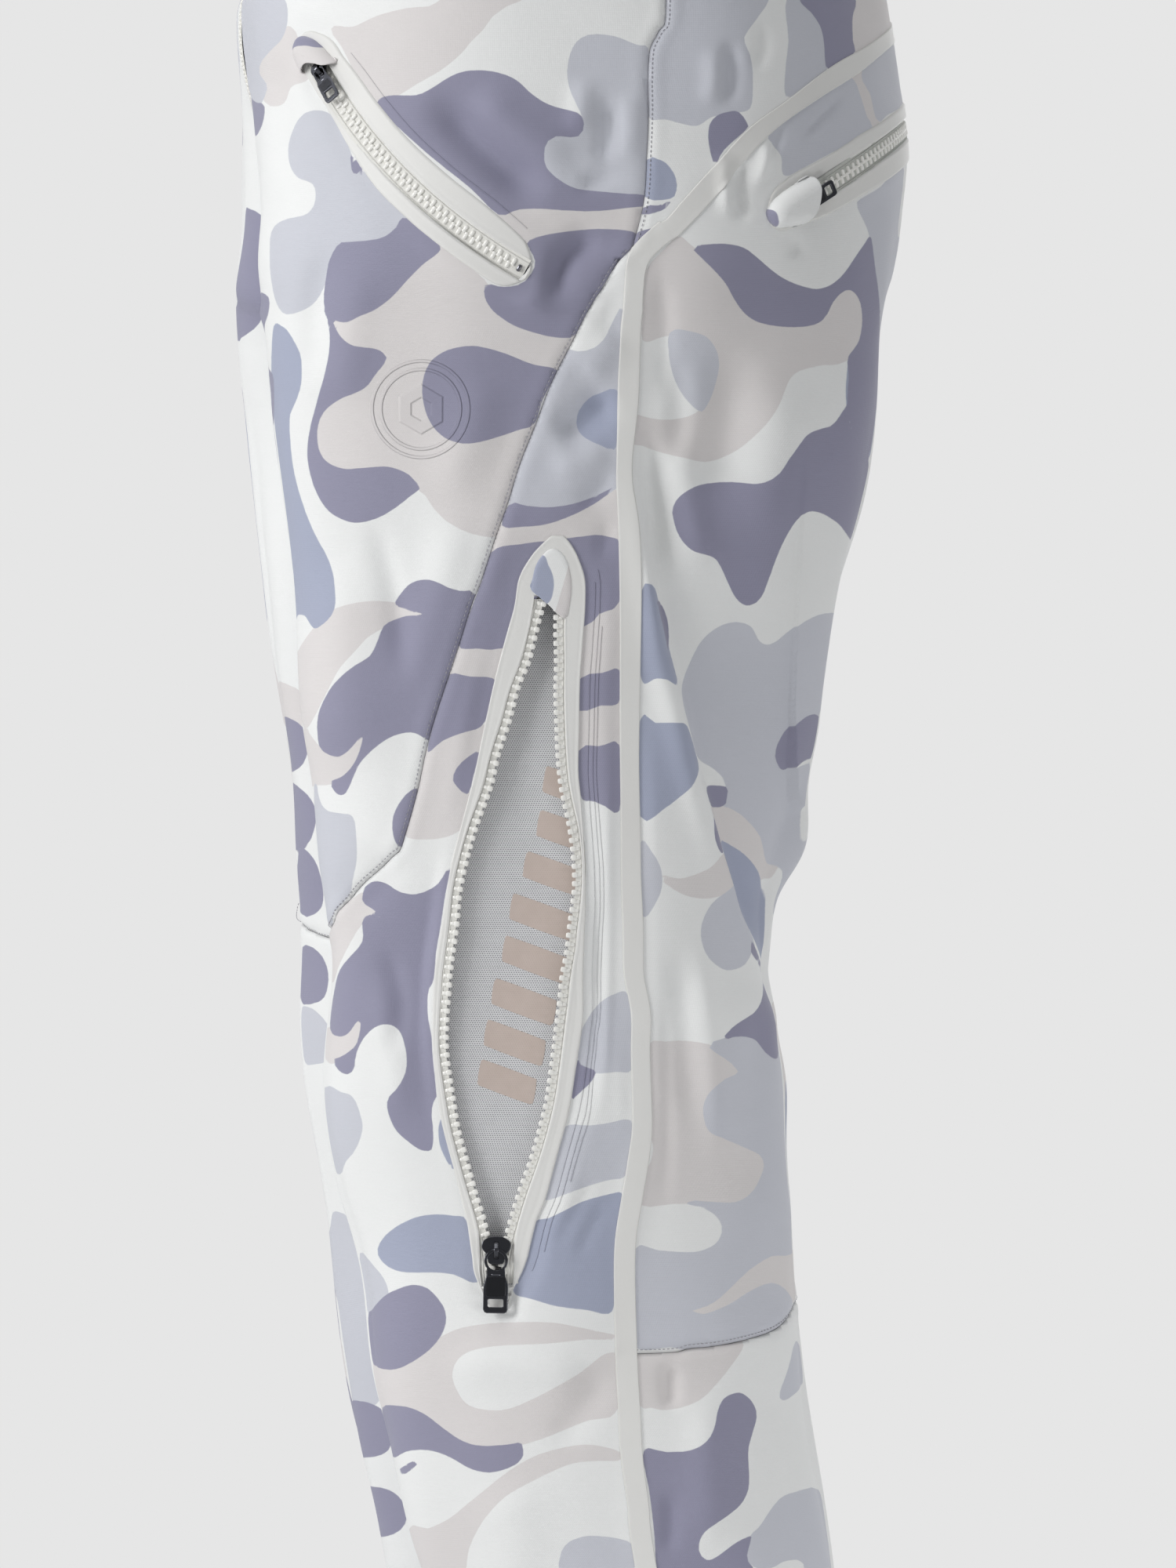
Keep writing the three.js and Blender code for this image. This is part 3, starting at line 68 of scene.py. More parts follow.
TEETH_BACK = [[1.9398, -408.91], [1.9404, -414.04], [1.9409, -418.77], [1.9421, -427.04], [1.9451, -439.27], [1.9454, -451.49], [1.9495, -468.45], [1.9551, -485.8], [1.964, -501.58], [1.9856, -522.88], [1.9979, -540.63], [2.0006, -555.22], [1.9966, -571.0], [1.9919, -586.38], [1.975, -603.72], [1.9542, -618.69], [1.9396, -635.63], [1.9198, -657.66], [1.8957, -673.01], [1.8647, -687.96], [1.8254, -703.31], [1.7917, -717.08], [1.7685, -726.93], [1.7526, -734.02], [1.7443, -738.75], [1.7357, -745.83]]
VENT_ARC = [[1.9303, -410.1], [1.8628, -572.55], [1.7355, -736.4]]
HAND_CHAIN = [[1.3521, -129.68], [1.3838, -133.29], [1.4153, -139.28], [1.4554, -153.72], [1.5, -168.53], [1.5593, -185.3], [1.6163, -198.36], [1.7003, -212.6], [1.7832, -225.47], [1.8512, -239.35], [1.8703, -243.29]]
HAND_UP = [[1.3476, -115.57], [1.4286, -121.81], [1.4673, -132.65], [1.5039, -143.01], [1.5476, -156.17], [1.6205, -175.78], [1.6994, -193.61], [1.7764, -208.87], [1.844, -223.18], [1.8745, -231.87], [1.8847, -239.36]]
HAND_LOW = [[1.3164, -128.4], [1.3351, -135.08], [1.3588, -143.81], [1.4241, -162.61], [1.4713, -179.43], [1.5325, -199.04], [1.6068, -214.58], [1.671, -225.96], [1.7595, -240.82], [1.8252, -250.35], [1.867, -249.58]]
HAND_ARC = [[1.386, -133.72], [1.595, -193.88], [1.8531, -240.53]]
HAND_GARAGE = [[1.3167, -128.01], [1.3449, -119.95], [1.4084, -124.38], [1.4474, -133.24], [1.3851, -135.71], [1.3468, -139.65]]
BACK_CHAIN = [[2.3411, -213.47], [2.4237, -202.17], [2.5201, -190.17], [2.6334, -178.55], [2.8051, -167.08]]
BACK_UP = [[2.2951, -203.42], [2.3615, -189.87], [2.4522, -180.35], [2.5671, -167.97], [2.7916, -152.48]]
BACK_LOW = [[2.3275, -223.87], [2.4829, -211.71], [2.5859, -202.03], [2.6698, -194.76], [2.7951, -183.58]]
BADGE = [[1.6416, -311.47]]

# print shapes of each panel on the outer side, in units of 0.4 mm
CAMO = {
    "front": """
L(305,-10)(352,-10)(365,15)(360,45)(345,62)(330,80)(328,95)(338,110)(330,132)(318,130)(300,100)
T(365,37)(350,60)(326,86)(340,128)(357,129)(368,108)(392,98)(380,70)(376,45)
V(315,118)(322,130)(337,134)(334,160)(322,174)(318,150)
T(426,37)(450,38)(480,24)(520,14)(548,12)(562,5)(580,-5)(660,-5)(645,5)(625,20)(615,35)(600,50)(585,68)(560,88)(530,105)(505,120)(495,119)(480,128)(460,100)(440,60)
V(480,131)(497,122)(530,122)(548,115)(570,101)(590,92)(617,90)(640,94)(660,103)(675,117)(690,128)(705,135)(738,145)(745,160)(740,172)(730,175)(710,174)(698,182)(694,198)(698,215)(715,230)(735,240)(760,243)(800,247)(824,249)(824,262)(800,265)(760,269)(720,268)(690,266)(660,267)(636,274)(600,240)(550,200)(500,155)
L(828,68)(815,60)(800,54)(785,48)(762,45)(745,48)(733,60)(726,85)(728,110)(736,130)(743,145)(745,160)(741,172)(728,174)(710,174)(698,183)(694,200)(700,218)(716,231)(740,240)(770,244)(824,249)(827,150)
T(636,274)(660,267)(690,266)(720,268)(760,269)(800,265)(824,262)(812,296)(780,292)(750,292)(715,296)(690,301)(672,310)(655,290)
V(672,309)(690,301)(715,296)(750,292)(780,292)(812,297)(806,316)(790,335)(772,362)(755,395)(735,427)(725,431)(705,430)(680,424)(655,415)(635,402)(625,392)(618,378)(620,362)(640,366)(665,362)(680,345)(682,330)
L(405,143)(420,147)(430,160)(440,180)(447,200)(450,215)(465,222)(490,245)(518,277)(505,290)(490,302)(470,307)(445,309)(433,311)(420,330)(413,350)(408,368)(395,388)(378,398)(365,397)(355,380)(350,350)(350,325)(352,300)(360,288)(375,282)(395,277)(405,265)(408,250)(405,235)(395,229)(385,225)(375,212)(369,195)(370,180)(378,162)(390,148)
V(447,195)(455,205)(465,222)(452,221)(449,215)
V(518,277)(563,314)(540,335)(520,355)(500,378)(480,395)(462,404)(445,412)(425,406)(415,392)(412,375)(414,350)(420,330)(433,311)(445,309)(470,307)(490,302)(505,290)
T(563,314)(600,345)(620,365)(618,378)(625,392)(635,402)(655,415)(680,424)(705,430)(735,430)(715,470)(700,471)(680,466)(660,458)(640,447)(620,442)(600,440)(580,443)(560,455)(545,475)(538,500)(542,525)(550,545)(560,557)(580,565)(600,566)(625,563)(650,552)(680,543)(670,570)(655,610)(642,655)(635,680)(610,679)(590,672)(570,660)(555,645)(545,630)(535,622)(528,610)(515,600)(500,595)(470,596)(445,598)(425,592)(412,575)(408,560)(410,540)(420,522)(440,510)(460,500)(470,490)(480,475)(493,460)(490,450)(480,445)(455,441)(440,430)(430,415)(425,407)(445,412)(462,404)(480,395)(500,378)(520,355)(540,335)
V(538,500)(540,480)(548,462)(560,452)(575,445)(600,441)(625,445)(650,453)(680,465)(712,472)(700,495)(690,515)(682,541)(660,549)(630,559)(600,566)(575,562)(557,550)(545,532)(540,515)
V(412,392)(425,406)(433,420)(442,432)(455,441)(480,445)(490,451)(493,460)(480,478)(470,493)(455,502)(440,508)(422,520)(412,535)(408,555)(410,575)(420,590)(440,598)(460,597)(490,595)(505,598)(520,605)(530,615)(536,622)(520,635)(500,650)(480,661)(455,667)(435,662)(418,650)(405,628)(397,600)(395,575)(400,545)(410,510)(420,475)(425,440)(422,415)
B(352,418)(362,417)(372,425)(385,450)(389,475)(388,495)(380,515)(373,530)(372,560)(375,600)(385,640)(400,680)(418,715)(428,745)(431,780)(410,800)(400,795)(392,785)(380,783)(376,790)(372,740)(368,690)(360,620)(352,540)(350,480)
V(330,380)(345,380)(344,400)(338,415)(337,430)(338,450)(345,470)(352,480)(353,520)(351,560)(345,550)(338,520)(334,470)
T(410,800)(430,782)(450,774)(475,770)(500,772)(525,778)(545,786)(530,785)(510,787)(490,797)(470,810)(455,830)(440,850)(430,870)(420,890)(405,915)(394,925)(390,905)(385,880)(380,850)(390,825)
V(500,772)(510,755)(525,743)(545,739)(560,743)(575,750)(590,754)(607,755)(600,785)(590,810)(578,845)(567,880)(555,915)(547,945)(540,940)(525,934)(505,938)(490,947)(475,960)(462,975)(452,995)(445,1010)(438,1014)(430,1010)(424,997)(440,990)(455,975)(465,955)(469,937)(462,945)(450,958)(435,965)(415,955)(413,935)(416,910)(428,885)(440,868)(458,850)(476,836)(484,815)(490,797)(510,787)(530,785)(545,786)(525,778)
T(393,935)(413,955)(435,965)(450,958)(462,945)(469,937)(466,955)(455,975)(440,990)(424,997)(405,998)(393,998)(392,970)
V(533,1005)(520,1012)(510,1025)(503,1040)(502,1060)(506,1075)(511,1082)(518,1060)(526,1035)
L(403,1000)(405,1015)(412,1030)(422,1037)(440,1040)(451,1043)(454,1060)(454,1085)(452,1100)(447,1120)(440,1140)(425,1162)(415,1180)(412,1150)(408,1100)(404,1050)
""",
    "shin": """
L(797,392)(785,410)(775,430)(760,445)(740,451)(722,450)(705,485)(690,520)(680,550)(665,590)(655,620)(650,642)(670,645)(700,647)(730,643)(760,633)(785,622)(788,600)(785,560)(788,500)(795,440)
B(788,500)(772,501)(755,508)(742,522)(738,538)(742,552)(755,562)(770,568)(785,570)
V(650,642)(670,645)(700,647)(730,643)(760,633)(786,620)(784,625)(760,642)(735,655)(710,665)(690,670)(665,672)(640,671)
T(640,671)(665,672)(690,670)(710,665)(735,655)(760,642)(784,626)(788,650)(788,687)(760,690)(735,692)(700,691)(665,694)(640,698)(628,702)
V(628,702)(665,694)(700,690)(788,687)(790,767)(765,782)(743,800)(640,827)(610,827)(584,824)(600,780)(615,740)
T(584,824)(610,827)(640,827)(632,867)(600,863)(572,860)
T(743,800)(765,782)(790,767)(790,853)(770,858)(740,865)
V(572,860)(600,863)(632,867)(625,900)(615,926)(590,935)(565,945)(545,960)(552,925)(562,890)
V(740,865)(770,858)(790,854)(790,896)(765,900)(738,907)
T(545,960)(565,945)(590,935)(615,926)(612,955)(605,962)(590,970)(580,982)(578,995)(582,1005)(598,1013)(595,1030)(590,1050)(575,1062)(550,1067)(520,1065)(522,1050)(530,1020)(538,985)
T(738,907)(765,900)(790,896)(790,951)(765,952)(738,956)
V(612,958)(598,965)(585,977)(578,992)(583,1003)(597,1013)(605,985)
V(738,956)(765,952)(790,951)(790,1033)(770,1028)(755,1021)(741,1017)
V(575,1103)(560,1125)(545,1135)(525,1141)(505,1137)(490,1128)(475,1124)(462,1130)(457,1142)(457,1152)(470,1160)(482,1170)(465,1168)(458,1175)(460,1195)(455,1208)(445,1220)(430,1240)(423,1265)(421,1290)(423,1315)(435,1322)(447,1318)(455,1305)(461,1302)(460,1320)(455,1335)(440,1347)(430,1352)(437,1365)(447,1370)(455,1363)(457,1345)(465,1325)(480,1310)(497,1307)(510,1320)(518,1345)(518,1370)(508,1390)(498,1400)(496,1415)(505,1440)(520,1455)(535,1466)(548,1468)(552,1460)(552,1440)(550,1420)(553,1405)(557,1400)(552,1350)(550,1320)(545,1295)(545,1265)(553,1250)(556,1215)(562,1180)(568,1140)
T(417,1180)(430,1165)(445,1150)(457,1142)(457,1152)(470,1160)(482,1170)(465,1168)(455,1178)(445,1195)(435,1215)(425,1235)(418,1250)(416,1215)
T(422,1313)(435,1322)(447,1318)(455,1305)(461,1302)(458,1325)(450,1345)(435,1351)(425,1350)
L(425,1388)(440,1395)(452,1400)(460,1420)(463,1440)(455,1465)(445,1480)(440,1495)(435,1470)(430,1430)
B(565,1425)(560,1440)(562,1460)(568,1475)(578,1490)(575,1465)(570,1445)
L(800,1270)(785,1270)(770,1278)(755,1295)(742,1320)(738,1345)(745,1360)(760,1367)(785,1365)(805,1362)(803,1320)
V(737,1350)(745,1360)(760,1367)(752,1382)(740,1393)(729,1402)
L(722,1438)(750,1438)(775,1435)(803,1431)(802,1460)(798,1497)(775,1503)(745,1512)(715,1523)(695,1528)(705,1500)(715,1465)
B(683,1560)(700,1555)(720,1545)(745,1533)(775,1525)(795,1524)(788,1560)(782,1600)(781,1671)(750,1670)(710,1665)(680,1656)(655,1648)(665,1625)(675,1600)
B(594,1557)(580,1552)(555,1550)(530,1554)(505,1566)(488,1580)(480,1595)(485,1608)(500,1618)(520,1622)(555,1622)(580,1625)(608,1635)(603,1600)
V(490,1652)(505,1645)(525,1639)(545,1643)(560,1658)(569,1675)(567,1695)(555,1715)(535,1732)(510,1745)(490,1747)(475,1740)(468,1710)(465,1680)(475,1665)
L(455,1600)(470,1615)(485,1632)(492,1650)(490,1670)(480,1680)(468,1672)(460,1640)
T(477,1740)(490,1747)(510,1745)(535,1732)(555,1715)(570,1705)(590,1697)(620,1692)(650,1690)(700,1690)(730,1695)(760,1701)(783,1706)(783,1707)(750,1705)(700,1710)(650,1712)(620,1715)(595,1722)(580,1735)(574,1755)(580,1775)(592,1792)(610,1800)(640,1802)(665,1795)(700,1778)(740,1755)(783,1728)(785,1797)(750,1808)(720,1820)(690,1832)(650,1843)(620,1845)(595,1840)(570,1828)(550,1812)(530,1798)(505,1793)(487,1796)(480,1770)
V(487,1796)(505,1793)(525,1796)(545,1806)(565,1822)(590,1838)(615,1844)(650,1842)(665,1840)(668,1852)(665,1862)(650,1872)(625,1878)(600,1873)(580,1862)(560,1853)(540,1849)(520,1851)(503,1858)(495,1830)
V(512,1875)(525,1865)(537,1862)(530,1872)(518,1880)
T(530,1955)(550,1952)(575,1940)(600,1920)(625,1900)(650,1880)(680,1862)(710,1852)(745,1846)(775,1850)(791,1856)(791,1860)(760,1860)(730,1863)(700,1875)(670,1890)(645,1905)(625,1925)(610,1945)(595,1975)(590,2010)(585,2060)(540,2060)
L(717,1985)(725,1970)(745,1962)(770,1962)(800,1968)(806,1980)(808,2010)(810,2080)(760,2100)(730,2060)(715,2010)
""",
    "yoke": """
L(851,-5)(855,-60)(900,-90)(960,-60)(978,-5)(965,20)(950,40)(945,52)(950,65)(955,80)(956,120)(953,138)(940,142)(920,145)(905,148)(890,158)(875,157)(850,150)(827,144)(828,68)(840,40)
L(1005,5)(1020,0)(1035,15)(1047,30)(1052,55)(1054,85)(1040,100)(1020,112)(1003,122)(1003,90)(1008,50)
V(1018,-5)(1030,-45)(1070,-50)(1095,-5)(1090,20)(1090,50)(1092,65)(1080,75)(1055,88)(1052,60)(1048,35)(1035,15)
T(1095,-5)(1105,0)(1132,0)(1137,20)(1137,35)(1115,55)(1095,65)(1090,45)(1090,20)
V(935,142)(945,147)(953,160)(952,165)(935,180)(920,195)(912,210)(906,195)(903,175)(905,158)(915,147)
B(826,204)(838,204)(850,210)(860,225)(862,240)(856,252)(824,250)
V(824,262)(840,262)(855,256)(850,265)(835,272)(818,273)
V(812,297)(835,290)(850,280)(840,295)(820,310)(808,316)
""",
    "back": """
T(865,305)(875,312)(895,330)(910,345)(925,362)(935,380)(948,398)(965,410)(990,416)(1020,417)(1042,412)(1053,400)(1060,385)(1072,372)(1083,370)(1093,382)(1095,400)(1090,430)(1080,450)(1062,461)(1045,462)(1033,465)(1015,470)(1003,480)(995,495)(985,515)(970,538)(955,557)(940,572)(920,583)(900,586)(880,582)(850,575)(820,565)(797,560)(801,532)(830,537)(855,539)(880,535)(897,524)(910,500)(916,470)(912,450)(900,432)(880,426)(860,424)(840,428)(823,432)(824,400)(825,370)(828,345)(850,320)
L(858,424)(880,425)(900,432)(913,450)(917,470)(912,495)(903,515)(896,523)(885,515)(872,498)(862,475)(857,450)
V(882,315)(900,312)(925,311)(948,316)(965,328)(985,345)(1005,358)(1030,367)(1045,368)(1060,362)(1075,348)(1090,328)(1105,310)(1114,302)(1118,340)(1119,380)(1114,430)(1109,480)(1105,520)(1095,575)(1085,570)(1075,545)(1071,515)(1074,480)(1074,456)(1088,435)(1095,405)(1093,382)(1083,370)(1072,372)(1060,385)(1053,400)(1042,412)(1020,417)(990,416)(965,410)(948,398)(935,380)(925,362)(910,345)(895,330)
L(1095,262)(1105,280)(1114,302)(1119,350)(1118,420)(1110,470)(1118,440)(1132,400)(1145,360)(1150,300)(1151,215)(1125,240)(1100,255)
L(980,172)(1000,155)(1020,142)(1050,122)(1085,100)(1100,130)(1105,150)(1110,165)(1080,182)(1050,198)(1020,214)(1001,222)(998,200)(990,185)
T(1085,100)(1100,92)(1110,105)(1118,130)(1120,150)(1112,162)(1103,140)
L(1102,90)(1137,58)(1147,90)(1150,130)(1130,145)(1120,152)(1115,120)
V(862,660)(862,645)(870,632)(885,622)(905,617)(935,615)(960,617)(975,613)(988,602)(998,585)(1010,568)(1022,553)(1040,546)(1055,540)(1070,518)(1073,540)(1080,560)(1092,583)(1095,600)(1085,640)(1078,690)(1065,670)(1050,658)(1035,652)(1022,653)(1010,665)(1000,685)(990,715)(982,745)(975,765)(962,773)(950,768)(940,755)(925,725)(915,712)(900,707)(885,702)(870,685)
B(1071,515)(1074,470)(1080,455)(1107,470)(1108,500)(1100,560)(1092,582)(1080,560)
L(875,895)(880,870)(890,845)(902,822)(920,805)(940,797)(958,798)(968,805)(975,818)(985,825)(998,822)(1015,805)(1035,790)(1052,784)(1062,788)(1058,830)(1048,880)(1040,910)(1025,920)(1012,935)(1003,955)(1003,975)(1012,985)(1030,975)(1035,960)(1028,1000)(1015,1060)(1000,1105)(990,1070)(970,1045)(945,1030)(915,1028)(940,1025)(942,1005)(935,990)(920,978)(905,970)(895,960)(885,930)
V(1040,911)(1025,920)(1012,935)(1003,955)(1003,972)(1012,985)(1025,972)(1033,963)(1038,940)
V(908,1005)(940,1005)(942,1015)(938,1030)(912,1028)
T(915,1028)(945,1028)(975,1045)(990,1065)(1000,1090)(995,1120)(985,1120)(975,1100)(955,1085)(930,1078)(920,1050)
B(930,1078)(955,1085)(975,1100)(990,1125)(990,1170)(985,1230)(975,1200)(955,1140)
B(818,755)(835,751)(842,775)(850,800)(857,830)(866,872)(850,866)(835,864)(818,864)
V(838,765)(850,775)(858,800)(856,835)(848,800)
B(817,920)(835,923)(860,923)(873,925)(882,940)(892,965)(893,975)(880,1000)(865,1015)(845,1030)(816,1040)
L(816,1078)(828,1088)(838,1105)(841,1125)(836,1145)(818,1167)
T(845,1120)(865,1124)(890,1118)(910,1108)(927,1092)(940,1110)(943,1122)(930,1135)(910,1142)(890,1142)(868,1136)
V(914,1040)(920,1055)(928,1075)(926,1088)(918,1085)(911,1065)
L(948,1133)(930,1140)(910,1155)(898,1178)(897,1200)(905,1220)(920,1232)(935,1235)(955,1228)(965,1212)(970,1200)(960,1165)
V(968,1200)(978,1225)(988,1255)(998,1295)(1002,1320)(1003,1345)(998,1350)(988,1342)(975,1327)(955,1322)(935,1323)(917,1328)(935,1310)(955,1298)(970,1288)(980,1270)(982,1245)(975,1228)(965,1215)
T(828,1337)(850,1332)(875,1331)(900,1336)(925,1348)(940,1362)(948,1372)(930,1378)(912,1390)(900,1410)(902,1435)(915,1447)(935,1453)(960,1460)(982,1470)(988,1485)(980,1505)(965,1525)(945,1535)(915,1535)(890,1532)(860,1532)(820,1534)(825,1500)(833,1485)(837,1465)(833,1450)(829,1442)(831,1400)
L(903,1335)(930,1325)(960,1322)(980,1330)(998,1350)(1004,1345)(1006,1400)(1008,1500)(1012,1580)(1012,1598)(990,1600)(960,1618)(935,1640)(910,1660)(877,1673)(900,1678)(935,1665)(960,1650)(990,1638)(1008,1648)(1014,1668)(1000,1690)(960,1706)(920,1715)(880,1720)(855,1716)(814,1718)(812,1680)(810,1596)(840,1597)(870,1599)(895,1598)(918,1588)(928,1570)(922,1552)(905,1540)(880,1533)(915,1535)(945,1535)(968,1522)(982,1502)(988,1485)(982,1470)(955,1459)(925,1450)(905,1440)(899,1415)(905,1395)(925,1378)(948,1370)(935,1355)
T(877,1673)(910,1660)(935,1640)(960,1618)(990,1600)(1012,1598)(1016,1640)(1014,1660)(1008,1648)(990,1638)(960,1650)(935,1665)(900,1678)
""",
    "calf": """
T(784,1728)(815,1727)(850,1727)(890,1722)(925,1716)(948,1712)(935,1735)(915,1760)(895,1780)(875,1790)(850,1795)(830,1792)(817,1788)
V(945,1776)(960,1783)(970,1795)(972,1808)(965,1830)(959,1850)(960,1880)(958,1900)(945,1920)(920,1938)(900,1952)(892,1965)(892,1980)(902,1990)(915,1985)(935,1970)(950,1962)(960,1960)(955,1975)(953,1990)(965,2010)(960,2060)(920,2090)(850,2070)(838,2010)(835,1960)(828,1900)(820,1850)(850,1852)(880,1850)(900,1838)(910,1820)(915,1800)(925,1783)
L(1047,1902)(1020,1905)(1005,1912)(990,1930)(975,1948)(960,1960)(953,1975)(955,1990)(970,2000)(985,1998)(1000,1990)(1020,1987)(1030,1995)(1030,2010)(1060,2010)(1055,1950)
L(1022,1712)(1030,1760)(1015,1778)(1005,1783)(1003,1775)(1010,1750)
""",
    "far": """
V(300,270)(338,280)(345,300)(345,350)(336,400)(318,425)(300,420)
V(350,920)(375,918)(392,935)(392,960)(380,980)(350,982)
V(355,1005)(385,1008)(403,1030)(403,1055)(390,1078)(355,1080)
V(375,1085)(400,1095)(410,1130)(405,1160)(375,1165)
V(375,1210)(400,1215)(415,1240)(412,1270)(395,1280)(375,1275)
L(375,1290)(400,1295)(420,1320)(415,1350)(375,1352)
T(345,875)(380,880)(395,900)(392,922)(345,925)
V(435,1790)(480,1795)(500,1820)(495,1850)(470,1858)(435,1850)
V(468,1898)(500,1900)(520,1925)(515,1950)(490,1958)(465,1950)
L(405,1555)(440,1560)(470,1600)(485,1680)(490,1760)(470,1795)(440,1785)(420,1700)(405,1620)
""",
}


# ---- surface -----------------------------------------------------------------
ZK = -np.array(TAB["Z"], float)
HK = np.diff(ZK)
VAL = {k: np.array(v, float) for k, v in TAB.items() if k != "Z"}
SLOPE = {}
for _k, _v in VAL.items():
    _d = np.diff(_v) / HK
    _m = np.zeros(len(_v)); _m[0] = _d[0]; _m[-1] = _d[-1]
    for _j in range(1, len(_v) - 1):
        if _d[_j - 1] * _d[_j] > 0:
            _a = 2 * HK[_j] + HK[_j - 1]; _b = HK[_j] + 2 * HK[_j - 1]
            _m[_j] = (_a + _b) / (_a / _d[_j - 1] + _b / _d[_j])
    SLOPE[_k] = _m

def val(k, z):
    x = np.clip(-np.asarray(z, float), ZK[0], ZK[-1])
    i = np.clip(np.searchsorted(ZK, x, side="right") - 1, 0, len(ZK) - 2)
    h = HK[i]; t = (x - ZK[i]) / h; V = VAL[k]; m = SLOPE[k]
    return (1 + 2 * t) * (1 - t) ** 2 * V[i] + t * (1 - t) ** 2 * h * m[i] + t * t * (3 - 2 * t) * V[i + 1] + t * t * (t - 1) * h * m[i + 1]

def surf(u, z):
    u, z = np.broadcast_arrays(np.asarray(u, float), np.asarray(z, float))
    p = {k: val(k, z) for k in VAL}
    e = 2 / p["NE"]; seg = np.clip(np.floor(u), 0, 3); q = (u - seg) * np.pi / 2
    c, s = np.maximum(np.cos(q), 0), np.maximum(np.sin(q), 0)
    g = (1 - p["K"]) * (1 - q / (np.pi / 2)) + p["K"] * c
    x0 = p["XF"] - (p["XF"] - p["XI"]) * g; y0 = p["YF"] + (p["YCF"] - p["YF"]) * (1 - s)
    x1 = p["XF"] + (p["XO"] - p["XF"]) * s ** e; y1 = p["YS"] - (p["YS"] - p["YF"]) * c ** e
    x2 = p["XB"] + (p["XO"] - p["XB"]) * c ** e; y2 = p["YS"] + (p["YB"] - p["YS"]) * s ** e
    g3 = (1 - p["K"]) * (q / (np.pi / 2)) + p["K"] * s
    x3 = p["XB"] - (p["XB"] - p["XI"]) * g3; y3 = p["YB"] - (p["YB"] - p["YCB"]) * (1 - c)
    x = np.select([seg == 0, seg == 1, seg == 2], [x0, x1, x2], x3)
    y = np.select([seg == 0, seg == 1, seg == 2], [y0, y1, y2], y3)
    return np.stack([x, y, z + 0 * x], -1)

def unit(v):
    return v / np.maximum(np.linalg.norm(v, axis=-1, keepdims=True), 1e-12)

def normal(u, z):
    u = np.asarray(u, float); z = np.asarray(z, float)
    du = surf(np.minimum(u + 0.02, 4), z) - surf(np.maximum(u - 0.02, 0), z)
    dz = surf(u, z - 2) - surf(u, z + 2)
    return unit(np.cross(du, dz))
if normal(2.0, -400.0)[0] < 0:
    _n0 = normal
    def normal(u, z):
        return -_n0(u, z)

# arc length from u = 0, and millimetres per unit of u
_UG = np.linspace(0, 4, 401); _ZG = np.linspace(0, -1060, 213)
_pg = surf(_UG[None, :], _ZG[:, None])
_seg = np.linalg.norm(np.diff(_pg, axis=1), axis=2)
ARC = np.concatenate([np.zeros((len(_ZG), 1)), np.cumsum(_seg, 1)], 1)
def _bil(T, u, z):
    a = np.clip(np.asarray(u, float) * 100, 0, 399.999); b = np.clip(-np.asarray(z, float) / 5, 0, len(_ZG) - 1.001)
    i = a.astype(int); j = b.astype(int); fa = a - i; fb = b - j
    return (T[j, i] * (1 - fa) + T[j, i + 1] * fa) * (1 - fb) + (T[j + 1, i] * (1 - fa) + T[j + 1, i + 1] * fa) * fb
arc = lambda u, z: _bil(ARC, u, z)
def mm(u, z):
    u = np.clip(u, 0.02, 3.98)
    return (arc(u + 0.015, z) - arc(u - 0.015, z)) / 0.03
def u_off(u, z, d):
    return u + d / mm(u, z)

# ---- pattern plane of the outer side ----------------------------------------
AZ = math.radians(84.0); CAM_D = 5000.0
RIGHT = np.array([math.cos(AZ), math.sin(AZ), 0.0]); BACKW = np.array([math.sin(AZ), -math.cos(AZ), 0.0])
CD0 = BACKW[0] * 100
def plane(p):
    h = p @ RIGHT; d = p @ BACKW; f = CAM_D / (CAM_D + CD0 - d)
    return np.stack([750 + (h - 10.0) * f / 0.4, 1000 + (-500.0 - p[..., 2]) * f / 0.4], -1)
def outer_share(u, z):
    """1 on the side that the pattern plane shows, 0 on the far side."""
    f = normal(u, z) @ BACKW
    return smooth(-0.12, 0.12, f)
def smooth(a, b, x):
    t = np.clip((x - a) / (b - a), 0, 1)
    return t * t * (3 - 2 * t)

# ---- seams --------------------------------------------------------------------
def lookup(arr, key, out, q):
    a = np.array(sorted(arr, key=lambda p: p[key]), float)
    q = np.asarray(q, float)
    r = np.interp(q, a[:, key], a[:, out])
    return r
uAt = lambda arr, z: lookup(arr, 1, 0, z)
zAt = lambda arr, u: lookup(arr, 0, 1, u)
def fine(arr, n, closed=False):
    """Catmull-Rom through the points, about n points."""
    a = np.array(arr, float)
    P0 = np.roll(a, 1, 0) if closed else np.vstack([2 * a[0] - a[1], a[:-1]])
    P2 = np.roll(a, -1, 0) if closed else np.vstack([a[1:], 2 * a[-1] - a[-2]])
    P3 = np.roll(a, -2, 0) if closed else np.vstack([P2[1:], 2 * P2[-1] - P2[-2]])
    k = max(2, int(round(n / max(len(a) - (0 if closed else 1), 1))))
    out = []
    m = len(a) if closed else len(a) - 1
    for i in range(m):
        for j in range(k):
            t = j / k
            out.append(0.5 * (2 * a[i] + (P2[i] - P0[i]) * t + (2 * P0[i] - 5 * a[i] + 4 * P2[i] - P3[i]) * t * t + (3 * a[i] - P0[i] - 3 * P2[i] + P3[i]) * t ** 3))
    if not closed: out.append(a[-1])
    return np.array(out)
def even(pts, n, to3=True):
    """n points evenly spaced along a [u, z] line, measured on the surface."""
    p = np.array(pts, float); q = surf(p[:, 0], p[:, 1]) if to3 else p
    s = np.concatenate([[0], np.cumsum(np.linalg.norm(np.diff(q, axis=0), axis=1))])
    t = np.linspace(0, s[-1], n)
    return np.stack([np.interp(t, s, p[:, k]) for k in range(p.shape[1])], -1), s[-1]

